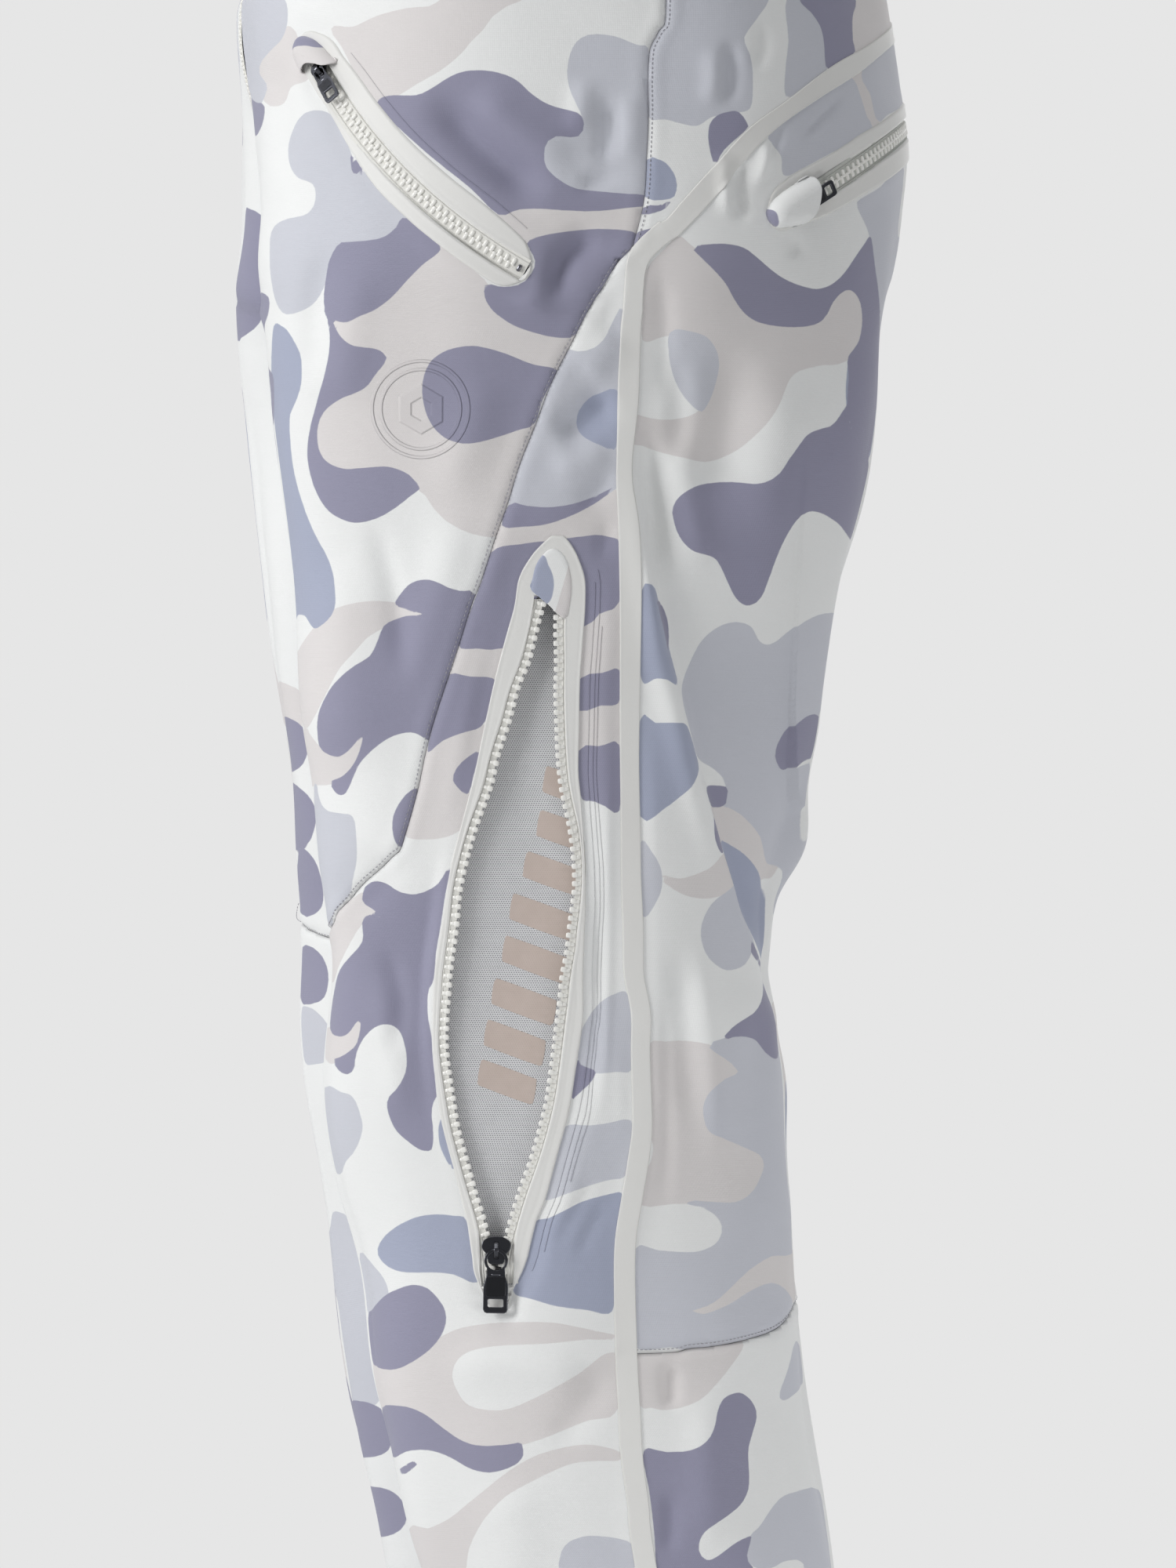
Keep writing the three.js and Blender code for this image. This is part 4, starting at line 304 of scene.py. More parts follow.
SIDE_TOP = [[2.17, 0]] + SIDE_SEAM
YOKE_LO = YOKE_LOW + [[3.3, -104], [4.01, -94]]
YOKE_HI = YOKE_UP + [[3.3, -93], [4.01, -83]]
DART = KNEE_DART + [[0.5, -585], [-0.01, -588]]
CALF = CALF_SEAM + [[3.4, -745], [4.01, -738]]
DIAG_TOP = DIAG_SEAM[0][1]; DIAG_END = DIAG_SEAM[-1]
TF = TAPE_FRONT + [[1.955, -1050]]; TB = TAPE_BACK + [[2.006, -1050]]
_sm = lambda arr: fine(arr, len(arr) * 6).tolist()
SIDE_TOPs, YOKE_LOs, YOKE_HIs, DARTs, CALFs, DIAGs, TFs, TBs = map(_sm, (SIDE_TOP, YOKE_LO, YOKE_HI, DART, CALF, DIAG_SEAM, TF, TB))
seamU = lambda z: (uAt(TFs, z) + uAt(TBs, z)) / 2
yokeZ = lambda u: (zAt(YOKE_LOs, u) + zAt(YOKE_HIs, u)) / 2
def frontU(z):
    z = np.asarray(z, float)
    return np.where(z > DIAG_TOP, uAt(SIDE_TOPs, np.maximum(z, DIAG_TOP)), np.where(z < DIAG_END[1], DIAG_END[0], uAt(DIAGs, np.clip(z, DIAG_END[1], DIAG_TOP))))
def dartZ(u):
    u = np.asarray(u, float)
    return np.where(u > DIAG_END[0], DIAG_END[1], zAt(DARTs, np.minimum(u, DIAG_END[0])))
def sideU(z):
    z = np.asarray(z, float)
    return np.where(z > -236, uAt(SIDE_TOPs, np.maximum(z, -230.5)) + np.where(z < -230, 0.004, 0), seamU(z))
fFront = lambda u, z: np.maximum((u - frontU(z)) * mm(u, z), dartZ(u) - z)
fSide = lambda u, z: (sideU(z) - u) * mm(u, z)

# ---- tracks of the zips --------------------------------------------------------
class Track:
    def __init__(self, pts, w0):
        a, b, c = [np.array(p, float) for p in pts]
        ab, ac = b - a, c - a; n = np.cross(ab, ac); nn = n @ n
        self.o = a + (np.cross(n, ab) * (ac @ ac) + np.cross(ac, n) * (ab @ ab)) / (2 * nn)
        self.axis = unit(n); self.R = np.linalg.norm(a - self.o); self.r0 = unit(a - self.o); self.s0 = np.cross(self.axis, self.r0)
        rc = unit(c - self.o); self.total = math.atan2(rc @ self.s0, rc @ self.r0); self.length = self.R * self.total
        p, t, r = self.raw(self.length / 2)
        w = unit(w0 - t * (w0 @ t)); self.cr, self.ca = w @ r, w @ self.axis
    def raw(self, d):
        th = np.asarray(d, float)[..., None] / self.R
        r = self.r0 * np.cos(th) + self.s0 * np.sin(th)
        return self.o + r * self.R, np.cross(self.axis, r), r
    def at(self, d, b=0.0, w=0.0):
        """points d along, b across and w out of the track"""
        p, t, r = self.raw(d)
        W = r * self.cr + self.axis * self.ca; B = np.cross(t, W)
        return p + B * np.asarray(b, float)[..., None] + W * np.asarray(w, float)[..., None]
    def frame(self, d):
        p, t, r = self.raw(np.asarray(float(d))); W = r * self.cr + self.axis * self.ca
        return p, np.cross(t, W), t, W
    def local(self, p):
        """d and b of points near the track"""
        q = p - self.o; th = np.arctan2(q @ self.s0, q @ self.r0)
        P, t, r = self.raw(th * self.R); W = r * self.cr + self.axis * self.ca; B = np.cross(t, W)
        return th * self.R, ((p - P) * B).sum(-1)
flyPt = lambda z: np.array([0.0, float(val("YCF", z)), z])
onS = lambda a: surf(a[0], a[1])
FLY = Track([flyPt(-46.0), flyPt(-104.0), flyPt(-166.0)], np.array([0, -1.0, 0]))
HAND = Track([onS(a) for a in HAND_ARC], normal(*HAND_ARC[1]))
BACK = Track([onS([2.36, -211]), onS([2.6327, -178.56]), onS([3.02, -160])], normal(2.66, -177.0))
VENT = Track([onS(a) for a in VENT_ARC], normal(*VENT_ARC[1]))
SLOT = 5.2
def slot_f(T, u, z, half=SLOT):
    d, b = T.local(surf(u, z))
    return np.maximum(np.abs(b) - half, np.maximum(-2 - d, d - T.length - 4.6))

# the vent's slot
slotZ = np.array([-405.5,-412,-427,-451,-486,-523,-555,-586,-619,-657,-688,-717,-734,-745.5,-752])
TEF, TEB = _sm(TEETH_FRONT), _sm(TEETH_BACK)
def innerRow(z, s):
    arr = TEF if s < 0 else TEB
    u = uAt(arr, z); mid = (uAt(TEF, z) + uAt(TEB, z)) / 2
    near = u_off(mid, z, s * 8.4); far = u_off(u, z, s * 4.8)
    return np.minimum(near, far) if s < 0 else np.maximum(near, far)
_iz = np.linspace(-405.5, -752, 90)
_il = np.array(innerRow(_iz, -1)); _ir = np.array(innerRow(_iz, 1))
for _a in (_il, _ir):
    for _ in range(3): _a[1:-1] = (_a[:-2] + 2 * _a[1:-1] + _a[2:]) / 4
innerU = lambda z, s: np.interp(-np.asarray(z, float), -_iz, _il if s < 0 else _ir)
def vent_f(u, z):
    m = mm(u, z)
    return np.maximum(np.maximum((innerU(z, -1) - u) * m, (u - innerU(z, 1)) * m), np.maximum(z + 405.5, -752 - z))
lowA, lowB = [[1.682, -757.5], [1.692, -763]], [[1.762, -757.5], [1.752, -763]]
outA, outB = _sm(VENT_FRONT[:-2] + lowA), _sm(VENT_BACK[:-2] + lowB)
# ---- polygons and distances ------------------------------------------------------
def poly_sdf(XY, poly):
    """distance in the plane's units, positive inside; -30 far away"""
    out = np.full(len(XY), -30.0)
    lo, hi = poly.min(0) - 30, poly.max(0) + 30
    k = np.where(((XY >= lo) & (XY <= hi)).all(1))[0]
    if not len(k): return out
    P = XY[k]; best = np.full(len(k), 1e9); inside = np.zeros(len(k), bool)
    A = poly; B = np.roll(poly, -1, 0)
    for a, b in zip(A, B):
        ab = b - a; L = ab @ ab
        if L < 1e-9: continue
        t = np.clip(((P - a) @ ab) / L, 0, 1); q = P - a - t[:, None] * ab
        best = np.minimum(best, (q * q).sum(1))
        if (a[1] > b[1]) != (b[1] > a[1]) or a[1] != b[1]:
            c = (a[1] > P[:, 1]) != (b[1] > P[:, 1])
            if c.any():
                xx = a[0] + (P[:, 1] - a[1]) * ab[0] / (ab[1] if abs(ab[1]) > 1e-12 else 1e-12)
                inside ^= c & (P[:, 0] < xx)
    d = np.sqrt(best)
    out[k] = np.where(inside, d, -d)
    return np.maximum(out, -30)
CAMO_P = {}
for _pn, _tx in CAMO.items():
    _L = []
    for _row in _tx.strip().split("\n"):
        _c, _r = _row[0], _row[1:]
        _pts = np.array([[float(v) for v in s.split(",")] for s in _r.strip("()").split(")(")])
        _L.append((_c, fine(_pts, len(_pts) * 3, closed=True)))
    CAMO_P[_pn] = _L

# seeded smooth noise of three-dimensional points, about unit size
class Waves:
    def __init__(self, seed, lo, hi, n=26):
        r = np.random.RandomState(seed); d = r.normal(size=(n, 3)); d /= np.linalg.norm(d, axis=1)[:, None]
        w = np.exp(r.uniform(math.log(lo), math.log(hi), n)); self.k = d * (2 * math.pi / w)[:, None]; self.ph = r.uniform(0, 6.283, n); self.a = math.sqrt(2 / n)
    def __call__(self, p):
        s = np.zeros(p.shape[:-1])
        for k, h in zip(self.k, self.ph): s += np.sin(p @ k + h)
        return s * self.a
BLOB = {c: Waves(s, 95, 200) for c, s in (("T", 11), ("L", 23), ("B", 37), ("V", 52))}
LEVEL = {"T": 0.72, "L": 0.80, "B": 1.45, "V": 0.86}
GROW = {"T": 1.4, "L": 0.9, "B": 0.45, "V": 0.0}

_nz = np.linspace(-39, -1052, 90); _nq = plane(surf(np.linspace(0, 4, 321)[None, :] + 0 * _nz[:, None], _nz[:, None] + np.zeros((1, 321))))
_NEAR = np.stack([_nq[:, :, 0].min(1), np.take_along_axis(_nq[:, :, 1], _nq[:, :, 0].argmin(1)[:, None], 1)[:, 0]], -1)
def camo(panel, u, z, sign):
    """signed distances in millimetres to each colour's edge, positive inside"""
    p = surf(u, z); XY = plane(p); w = outer_share(u, z) * smooth(-34, 4, XY[:, 1]) * smooth(2038, 1998, XY[:, 1]); out = {}
    q = p * np.array([sign, 1, 1]) + np.array([0, 0, 40.0 if sign < 0 else 0])
    flow = np.stack([Waves(5, 120, 260, 8)(q), Waves(6, 120, 260, 8)(q), Waves(7, 120, 260, 8)(q)], -1) * 18
    for c in "TLBV":
        d = np.full(len(u), -12.0)
        for k, poly in CAMO_P[panel]:
            if k == c: d = np.maximum(d, poly_sdf(XY, poly) * 0.4)
        g = (BLOB[c]((q + flow) * np.array([1, 1, 1.25])) - LEVEL[c]) * 17
        g = np.clip(g, -12, 12)
        d = d * w + g * (1 - w)
        if sign < 0 and panel in ("front", "shin"):
            pr = p * np.array([-1, 1, 1]); fr = (normal(u, z) * np.array([-1, 1, 1])) @ BACKW
            df = np.full(len(u), -12.0); XF = plane(pr)
            wf = smooth(0.0, 0.25, fr) * smooth(2.2, 1.8, u) * smooth(40, 6, XF[:, 0] - np.interp(XF[:, 1], _NEAR[:, 1], _NEAR[:, 0]))
            for k, poly in CAMO_P["far"]:
                if k == c: df = np.maximum(df, poly_sdf(XF, poly) * 0.4)
            d = df * wf + d * (1 - wf)
        out[c] = d + GROW[c]
    return out

# ---- folds: lines in the pattern plane with half width and height ----------------
FOLDS = [
    # kind, width, height, points
    ("g", 24, -5.4, [(540,120),(575,150),(610,185),(655,222),(705,250)]),
    ("g", 26, 2.4, [(600,110),(655,160),(700,190),(740,212)]),
    ("g", 18, -4.0, [(706,395),(712,350),(735,318),(772,296)]),
    ("g", 26, 2.2, [(665,400),(680,370),(690,340)]),
    ("g", 13, -2.6, [(772,120),(778,160),(772,195),(760,210)]),
    ("g", 14, 1.8, [(745,95),(742,140),(735,175)]),
    ("g", 14, 1.6, [(800,110),(800,170),(790,210)]),
    ("g", 11, -1.8, [(735,235),(765,228),(790,218)]),
    ("g", 10, -2.2, [(928,50),(932,95),(926,135)]),
    ("g", 12, 1.3, [(905,60),(908,100),(903,140)]),
    ("g", 9, -1.5, [(968,30),(972,60),(960,90)]),
    ("g", 9, -2.6, [(948,195),(944,235),(952,285)]),
    ("g", 9, 1.8, [(925,190),(922,230),(930,280)]),
    ("g", 8, 1.6, [(978,180),(972,215),(964,240)]),
    ("g", 6, -1.2, [(1020,180),(1050,150),(1080,120)]),
    ("g", 6, -1.2, [(985,205),(990,180),(998,160)]),
    ("g", 9, -1.2, [(1020,330),(1015,305),(1022,290)]),
    ("g", 22, -4.2, [(706,560),(745,535),(785,498)]),
    ("g", 20, 1.6, [(700,600),(745,590),(782,575)]),
    ("g", 12, -1.4, [(740,650),(765,620),(785,600)]),
    ("g", 26, 2.4, [(740,480),(765,455),(790,420)]),
    ("g", 8, -1.0, [(760,720),(772,690),(778,660)]),
    ("s", 6.5, 9.5, [(814,520),(820,600),(830,700),(838,753),(854,830),(873,887),(891,963),(912,1025),(929,1082),(948,1132),(969,1197),(985,1240)]),
    ("g", 14, -2.6, [(826,545),(834,620),(842,690),(850,745)]),
    ("g", 22, 1.8, [(868,540),(880,640),(905,740)]),
    ("g", 16, 1.6, [(800,560),(815,700),(835,820),(855,900),(880,1000),(905,1080),(940,1170)]),
    ("g", 40, 2.6, [(1000,480),(985,600),(960,700)]),
    ("g", 30, -2.6, [(935,430),(925,560),(905,640)]),
    ("g", 16, -1.4, [(860,440),(868,520),(862,600)]),
    ("g", 12, -1.0, [(842,340),(850,420),(846,520)]),
    ("g", 22, 2.0, [(885,1180),(900,1300),(915,1420),(925,1520)]),
    ("g", 18, -1.6, [(865,1190),(872,1320),(885,1450)]),
    ("g", 30, -2.2, [(980,1260),(972,1400),(968,1560)]),
    ("g", 10, -1.0, [(846,1250),(850,1400),(848,1560)]),
    ("g", 12, -2.2, [(858,1735),(855,1765),(858,1800)]),
    ("g", 12, -1.6, [(852,1900),(856,1940),(850,1985)]),
    ("g", 26, 1.8, [(905,1760),(900,1860),(905,1990)]),
    ("g", 36, -2.2, [(985,1720),(975,1850),(985,2000)]),
    ("g", 26, 1.6, [(560,1760),(620,1740),(690,1745),(760,1775)]),
    ("g", 22, -1.4, [(700,1850),(740,1800),(775,1740)]),
    ("g", 40, 1.8, [(640,1880),(660,1960),(650,2060)]),
    ("g", 12, -1.3, [(752,1120),(758,1280),(748,1440)]),
    ("g", 9, 0.9, [(768,1000),(776,1150),(772,1300),(760,1450)]),
    ("g", 8, -0.8, [(700,1600),(725,1560),(760,1490)]),
    ("g", 7, -0.8, [(735,1610),(750,1570),(775,1530)]),
    ("g", 40, 2.6, [(430,700),(440,850),(450,1000)]),
    ("g", 16, -1.8, [(470,650),(500,760),(520,880)]),
    ("g", 30, 2.0, [(590,640),(560,760),(520,900)]),
    ("g", 26, -1.8, [(500,1080),(470,1130),(430,1170)]),
    ("g", 22, 1.8, [(480,1230),(500,1330),(520,1440)]),
    ("g", 12, -1.4, [(480,1200),(505,1280),(500,1360)]),
    ("g", 18, -1.6, [(420,300),(400,400),(405,500)]),
    ("g", 26, 1.6, [(460,330),(450,430),(440,530)]),
    ("g", 16, -1.2, [(350,60),(360,150),(365,240)]),
    ("g", 30, 1.4, [(620,470),(600,560),(560,640)]),
]
def line_dist(XY, line):
    best = np.full(len(XY), 1e9); par = np.zeros(len(XY)); side = np.zeros(len(XY))
    a = np.array(line, float); seg = np.linalg.norm(np.diff(a, axis=0), axis=1); s = np.concatenate([[0], np.cumsum(seg)])
    for i in range(len(a) - 1):
        ab = a[i + 1] - a[i]; q = XY - a[i]; t = np.clip(q @ ab / (ab @ ab), 0, 1); r = q - t[:, None] * ab
        d = np.sqrt((r * r).sum(1)); k = d < best
        best[k] = d[k]; par[k] = ((s[i] + t * seg[i]) / s[-1])[k]; side[k] = np.sign(ab[0] * q[:, 1] - ab[1] * q[:, 0])[k]
    return best, par, side, s[-1]
PUFF = Waves(101, 90, 220, 18); PUFF2 = Waves(102, 38, 75, 24); CRINK = Waves(103, 14, 26, 30)
_ringpx = np.vstack([plane(surf(*np.array(outA).T)), plane(surf(*np.array(outB[::-1]).T))])
_handpx = np.vstack([plane(surf(*np.array(HAND_UP).T)), plane(surf(*np.array(HAND_LOW[::-1]).T))])
_bUp = [[2.292,-206],[2.322,-199],[2.3609,-192],[2.405,-187],[2.4516,-182],[2.51,-175.5],[2.5666,-169.5],[2.64,-163.8],[2.72,-158],[2.7901,-154],[2.87,-150.5],[2.95,-147.5],[3.06,-145]]
_bLow = [[2.3276,-223.87],[2.38,-219],[2.42,-216],[2.47,-212],[2.52,-207.3],[2.57,-202.5],[2.63,-197.5],[2.7,-192],[2.77,-187.2],[2.84,-183],[2.92,-179.2],[3.0,-176],[3.1,-173.5]]
def uz_dist(u, z, loop):
    """signed distance in millimetres to a closed [u, z] loop on the surface, positive outside"""
    l = np.array(loop, float); c = l.mean(0); m = float(mm(c[0], c[1]))
    q = np.stack([(u - c[0]) * m, z - c[1]], -1); P = (l - c) * np.array([m, 1])
    d = poly_sdf(q, P)
    return -d
def fold(u, z, sign=1.0):
    """height of the hanging cloth above the CAD surface"""
    sh = u.shape; u = u.ravel(); z = z.ravel()
    p = surf(u, z); XY = plane(p); f = normal(u, z) @ BACKW; w = smooth(-0.05, 0.2, f)
    D = np.zeros(len(u))
    for kind, wd, h, line in FOLDS:
        a = np.array(line, float); lo, hi = a.min(0) - 5 * wd, a.max(0) + 5 * wd
        k = np.where(((XY > lo) & (XY < hi)).all(1) & (w > 0))[0]
        if not len(k): continue
        d, t, s, L = line_dist(XY[k], fine(line, 24))
        tp = smooth(0, 0.3, t) * smooth(1.0, 0.7, t) if kind == "g" else smooth(0, 0.22, t) * smooth(1.0, 0.86, t)
        if kind == "g": D[k] += 1.75 * h * np.exp(-(d / wd) ** 2) * tp * w[k]
        else:
            sd = d * s  # positive towards the front
            D[k] += h * 0.5 * (np.tanh(sd / wd) - 1) * np.exp(-(np.maximum(-sd, 0) / (19 * wd)) ** 2) * tp * w[k]
    q = p * np.array([sign, 1, 1]) * np.array([1, 1, 0.62])
    low = smooth(-60, -420, z)
    D += PUFF(q) * (0.9 + 1.5 * low) + PUFF2(q) * (0.28 + 0.35 * low)
    # long vertical drapes behind the knee and down the calf, on the sides the pattern plane doesn't show
    a = arc(u, z); far = 1 - w
    D += far * low * (2.2 * np.sin(a / 19 + z / 95 + 1.3 * sign) + 1.3 * np.sin(a / 11 - z / 60 + 0.5)) * smooth(0, 60, a) * smooth(0, 60, arc(4.0, z) - a)
    # knee folds at the back
    D += far * smooth(2.6, 3.1, u) * 3.0 * np.exp(-((z + 560) / 90) ** 2) * np.sin(z / 11 + a / 40)
    # seams pull the cloth in
    g = 0
    for fs in (np.where(z > -233, (u - frontU(z)) * mm(u, z), np.where(z > -533, (u - frontU(z)) * mm(u, z), 99)), np.where(u < DIAG_END[0], dartZ(u) - z, 99), np.where(u > 2.02, zAt(CALFs, u) - z, 99)):
        e = np.abs(fs); g = g - 1.15 * np.exp(-(e / 1.5) ** 2) + 0.45 * np.exp(-((e - 5) / 3.2) ** 2) + CRINK(p) * 0.13 * np.exp(-(e / 9) ** 2)
    D += g
    # quiet beside bonded frames, the waistband and the tapes
    fade = np.ones(len(u))
    for loop in (outA + outB[::-1], HAND_UP + HAND_LOW[::-1], _bUp + _bLow[::-1]):
        fade *= 0.04 + 0.96 * smooth(0.5, 11.0, uz_dist(u, z, loop))
    tapeD = np.minimum(np.abs((u - seamU(z)) * mm(u, z)) + np.where(z > -236, 99, 0), np.where(u > 2.02, np.abs(yokeZ(u) - z), 99))
    D = D * fade * (1 - 0.55 * smooth(13, 4, tapeD))
    D = D * smooth(-39.5, -62, z) * (0.25 + 0.75 * smooth(-1050, -1035, z))
    edge = np.minimum(a, arc(4.0, z) - a)
    D = D * smooth(3, np.where(z > -272, 26, 14), edge)
    return D.reshape(sh)
_cache = {}
def Q(u, z, o=0.0, sign=1.0, D=None):
    """point on the hanging cloth, o above it"""
    u = np.asarray(u, float); z = np.asarray(z, float); u, z = np.broadcast_arrays(u, z)
    if D is None: D = fold(u, z, sign)
    p = surf(u, z) + normal(u, z) * (D + o)[..., None]
    k = z > -274
    p[..., 0] = np.where(k, np.maximum(p[..., 0], 0.2), p[..., 0])
    return p * np.array([sign, 1, 1])
# ---- materials ---------------------------------------------------------------------
def lin(h):
    c = [int(h[i:i + 2], 16) / 255 for i in (1, 3, 5)]
    return tuple(x / 12.92 if x <= 0.04045 else ((x + 0.055) / 1.055) ** 2.4 for x in c) + (1.0,)
class Tree:
    def __init__(self, name):
        self.m = bpy.data.materials.new(name); self.m.use_nodes = True; self.t = self.m.node_tree; self.t.nodes.clear()
    def node(self, kind, props=None, **ins):
        n = self.t.nodes.new(kind)
        for k, v in (props or {}).items(): setattr(n, k, v)
        for k, v in ins.items():
            key = int(k[1:]) if k[0] == "_" and k[1:].isdigit() else k.replace("_", " ")
            s = n.inputs[key]
            if isinstance(v, bpy.types.NodeSocket): self.t.links.new(v, s)
            else: s.default_value = v
        return n
    def math(self, op, a, b=None, clamp=False):
        n = self.t.nodes.new("ShaderNodeMath"); n.operation = op; n.use_clamp = clamp
        for i, v in enumerate((a, b)):
            if v is None: continue
            if isinstance(v, bpy.types.NodeSocket): self.t.links.new(v, n.inputs[i])
            else: n.inputs[i].default_value = v
        return n.outputs[0]
    def mix(self, f, a, b, blend="MIX"):
        n = self.t.nodes.new("ShaderNodeMix"); n.data_type = "RGBA"; n.blend_type = blend
        for i, v in ((0, f), (6, a), (7, b)):
            if isinstance(v, bpy.types.NodeSocket): self.t.links.new(v, n.inputs[i])
            else: n.inputs[i].default_value = v
        return n.outputs[2]
    def attr(self, name):
        return self.node("ShaderNodeAttribute", dict(attribute_name=name)).outputs["Fac"]
    def step(self, v, half=0.3):
        return self.node("ShaderNodeMapRange", dict(interpolation_type="SMOOTHSTEP", clamp=True), _0=v, _1=-half, _2=half, _3=0.0, _4=1.0).outputs[0]
    def coords(self, uv="Flat"):
        return self.node("ShaderNodeUVMap", dict(uv_map=uv)).outputs[0]
    def objc(self):
        return self.node("ShaderNodeTexCoord").outputs["Object"]
    def noise(self, vec, scale, detail=2.0, rough=0.5):
        return self.node("ShaderNodeTexNoise", {}, Vector=vec, Scale=scale, Detail=detail, Roughness=rough).outputs["Fac"]
    def wave(self, vec, scale, axis="X", profile="SIN", dist=0.0, dscale=1.0):
        return self.node("ShaderNodeTexWave", dict(bands_direction=axis, wave_profile=profile), Vector=vec, Scale=scale, Distortion=dist, Detail_Scale=dscale).outputs["Fac"]
    def bump(self, h, dist, strength=1.0, nrm=None):
        n = self.node("ShaderNodeBump", {}, Height=h, Distance=dist, Strength=strength)
        if nrm is not None: self.t.links.new(nrm, n.inputs["Normal"])
        return n.outputs[0]
    def out(self, **ins):
        b = self.node("ShaderNodeBsdfPrincipled", {}, **ins)
        o = self.t.nodes.new("ShaderNodeOutputMaterial"); self.t.links.new(b.outputs[0], o.inputs[0])
        return self.m
def weave(t, uv, pitch=0.00062):
    """woven over-and-under threads; a full wave of the texture is 2*pi/20 units"""
    s = 0.314159 / pitch
    a = t.wave(uv, s, "X"); b = t.wave(uv, s * 0.92, "Y")
    return t.math("MULTIPLY", a, b)
def cloth_material(name, badge=False, painted_shade=0.0):
    t = Tree(name); uv = t.coords(); ob = t.objc()
    n1 = t.noise(ob, 9.0, 3.0); n2 = t.noise(uv, 900.0, 2.0)
    wob = t.math("MULTIPLY", t.math("SUBTRACT", t.noise(uv, 260.0, 2.0), 0.5), 0.35)
    col = lin("#ecedec")
    for c, hx in (("T", "#dcd8d7"), ("L", "#c9cbd3"), ("B", "#a5abbf"), ("V", "#9392a7")):
        f = t.step(t.math("ADD", t.attr("c" + c), wob), 0.28)
        col = t.mix(f, col, lin(hx))
    tone = t.math("ADD", 0.955, t.math("MULTIPLY", n1, 0.05))
    tone = t.math("ADD", tone, t.math("MULTIPLY", n2, 0.035))
    grey = t.node("ShaderNodeCombineColor", {}, Red=tone, Green=tone, Blue=tone).outputs[0]
    col = t.mix(1.0, col, grey, "MULTIPLY")
    # painted shade: within about 1.5 mm of each seam and panel edge the cloth darkens up to 16% toward grey #8b8a8e,
    # standing in for the shade in the seam grooves
    edge = t.math("MULTIPLY", t.math("SUBTRACT", 1.0, t.step(t.math("SUBTRACT", t.attr("seam"), 0.9), 0.7)), 0.16)
    col = t.mix(edge, col, lin("#8b8a8e"))
    # painted shade: the crease copy of the cloth is darkened toward #5c5b66
    if painted_shade: col = t.mix(painted_shade, col, lin("#5c5b66"))
    w = weave(t, uv)
    nr = t.bump(t.noise(uv, 60.0, 3.0), 0.0016, 0.12)
    nr = t.bump(t.noise(uv, 320.0, 2.0), 0.0004, 0.22, nr)
    nr = t.bump(w, 0.00022, 0.30, nr)
    st = t.attr("stitchline")
    nr = t.bump(t.math("MULTIPLY", st, -1.0), 0.0007, 0.8, nr)
    if badge:
        # plain raised rings round a six-sided outline, pressed into the cloth
        s = t.node("ShaderNodeSeparateXYZ", {}, Vector=t.coords("Badge")); x, y = s.outputs[0], s.outputs[1]
        r = t.math("SQRT", t.math("ADD", t.math("MULTIPLY", x, x), t.math("MULTIPLY", y, y)))
        hx = t.math("ABSOLUTE", x); h1 = t.math("ADD", t.math("MULTIPLY", x, 0.5), t.math("MULTIPLY", y, 0.8660254)); h2 = t.math("SUBTRACT", t.math("MULTIPLY", x, 0.5), t.math("MULTIPLY", y, 0.8660254))
        hexd = t.math("MAXIMUM", hx, t.math("MAXIMUM", t.math("ABSOLUTE", h1), t.math("ABSOLUTE", h2)))
        def ridge(v, at, w2):
            q = t.math("DIVIDE", t.math("ABSOLUTE", t.math("SUBTRACT", v, at)), w2)
            return t.node("ShaderNodeMapRange", dict(interpolation_type="SMOOTHSTEP", clamp=True), _0=q, _1=0.35, _2=1.0, _3=1.0, _4=0.0).outputs[0]
        d = t.math("MAXIMUM", ridge(r, 24.6, 1.1), ridge(r, 20.3, 1.1))
        d = t.math("MAXIMUM", d, t.math("MULTIPLY", t.step(t.math("SUBTRACT", 11.0, hexd), 0.6), t.step(t.math("SUBTRACT", hexd, 5.2), 0.6)))
        nr = t.bump(d, 0.0008, 0.85, nr)
        # painted shade: the pressed rings and hexagon are darkened 5% toward #6f6d78
        col = t.mix(t.math("MULTIPLY", d, 0.05), col, lin("#6f6d78"))
    return t.out(Base_Color=col, Roughness=0.72, Specular_IOR_Level=0.32, Sheen_Weight=0.22, Sheen_Roughness=0.45, Normal=nr)
def plain_cloth(name, hx, pitch=0.0008, rough=0.8, bumpd=0.0003, hx2=None, sheen=0.2):
    t = Tree(name); uv = t.coords(); n = t.noise(uv, 45.0, 3.0)
    col = t.mix(n, lin(hx), lin(hx2 or hx)); w = weave(t, uv, pitch)
    # painted highlight: the weave's raised crossings are lightened up to 10% toward white
    col = t.mix(t.math("MULTIPLY", w, 0.10), col, lin("#ffffff"))
    nr = t.bump(t.noise(uv, 90.0, 2.0), 0.001, 0.15); nr = t.bump(w, bumpd, 0.55, nr)
    return t.out(Base_Color=col, Roughness=rough, Specular_IOR_Level=0.3, Sheen_Weight=sheen, Sheen_Roughness=0.5, Normal=nr)
def tape_material():
    t = Tree("bonded_tape"); uv = t.coords(); ob = t.objc()
    n = t.noise(ob, 14.0, 3.0); col = t.mix(n, lin("#e6e6e3"), lin("#deddda"))
    # painted shade: the tape darkens up to 28% toward #a9a7a2 within about 0.8 mm of its edges, where it steps down to
    # the cloth
    e = t.math("SUBTRACT", 1.0, t.step(t.math("SUBTRACT", t.attr("edge"), 0.45), 0.35))
    col = t.mix(t.math("MULTIPLY", e, 0.28), col, lin("#a9a7a2"))
    nr = t.bump(t.noise(uv, 700.0, 2.0), 0.00012, 0.35); nr = t.bump(t.noise(uv, 70.0, 2.0), 0.0006, 0.14, nr)
    return t.out(Base_Color=col, Roughness=0.52, Specular_IOR_Level=0.42, Normal=nr)
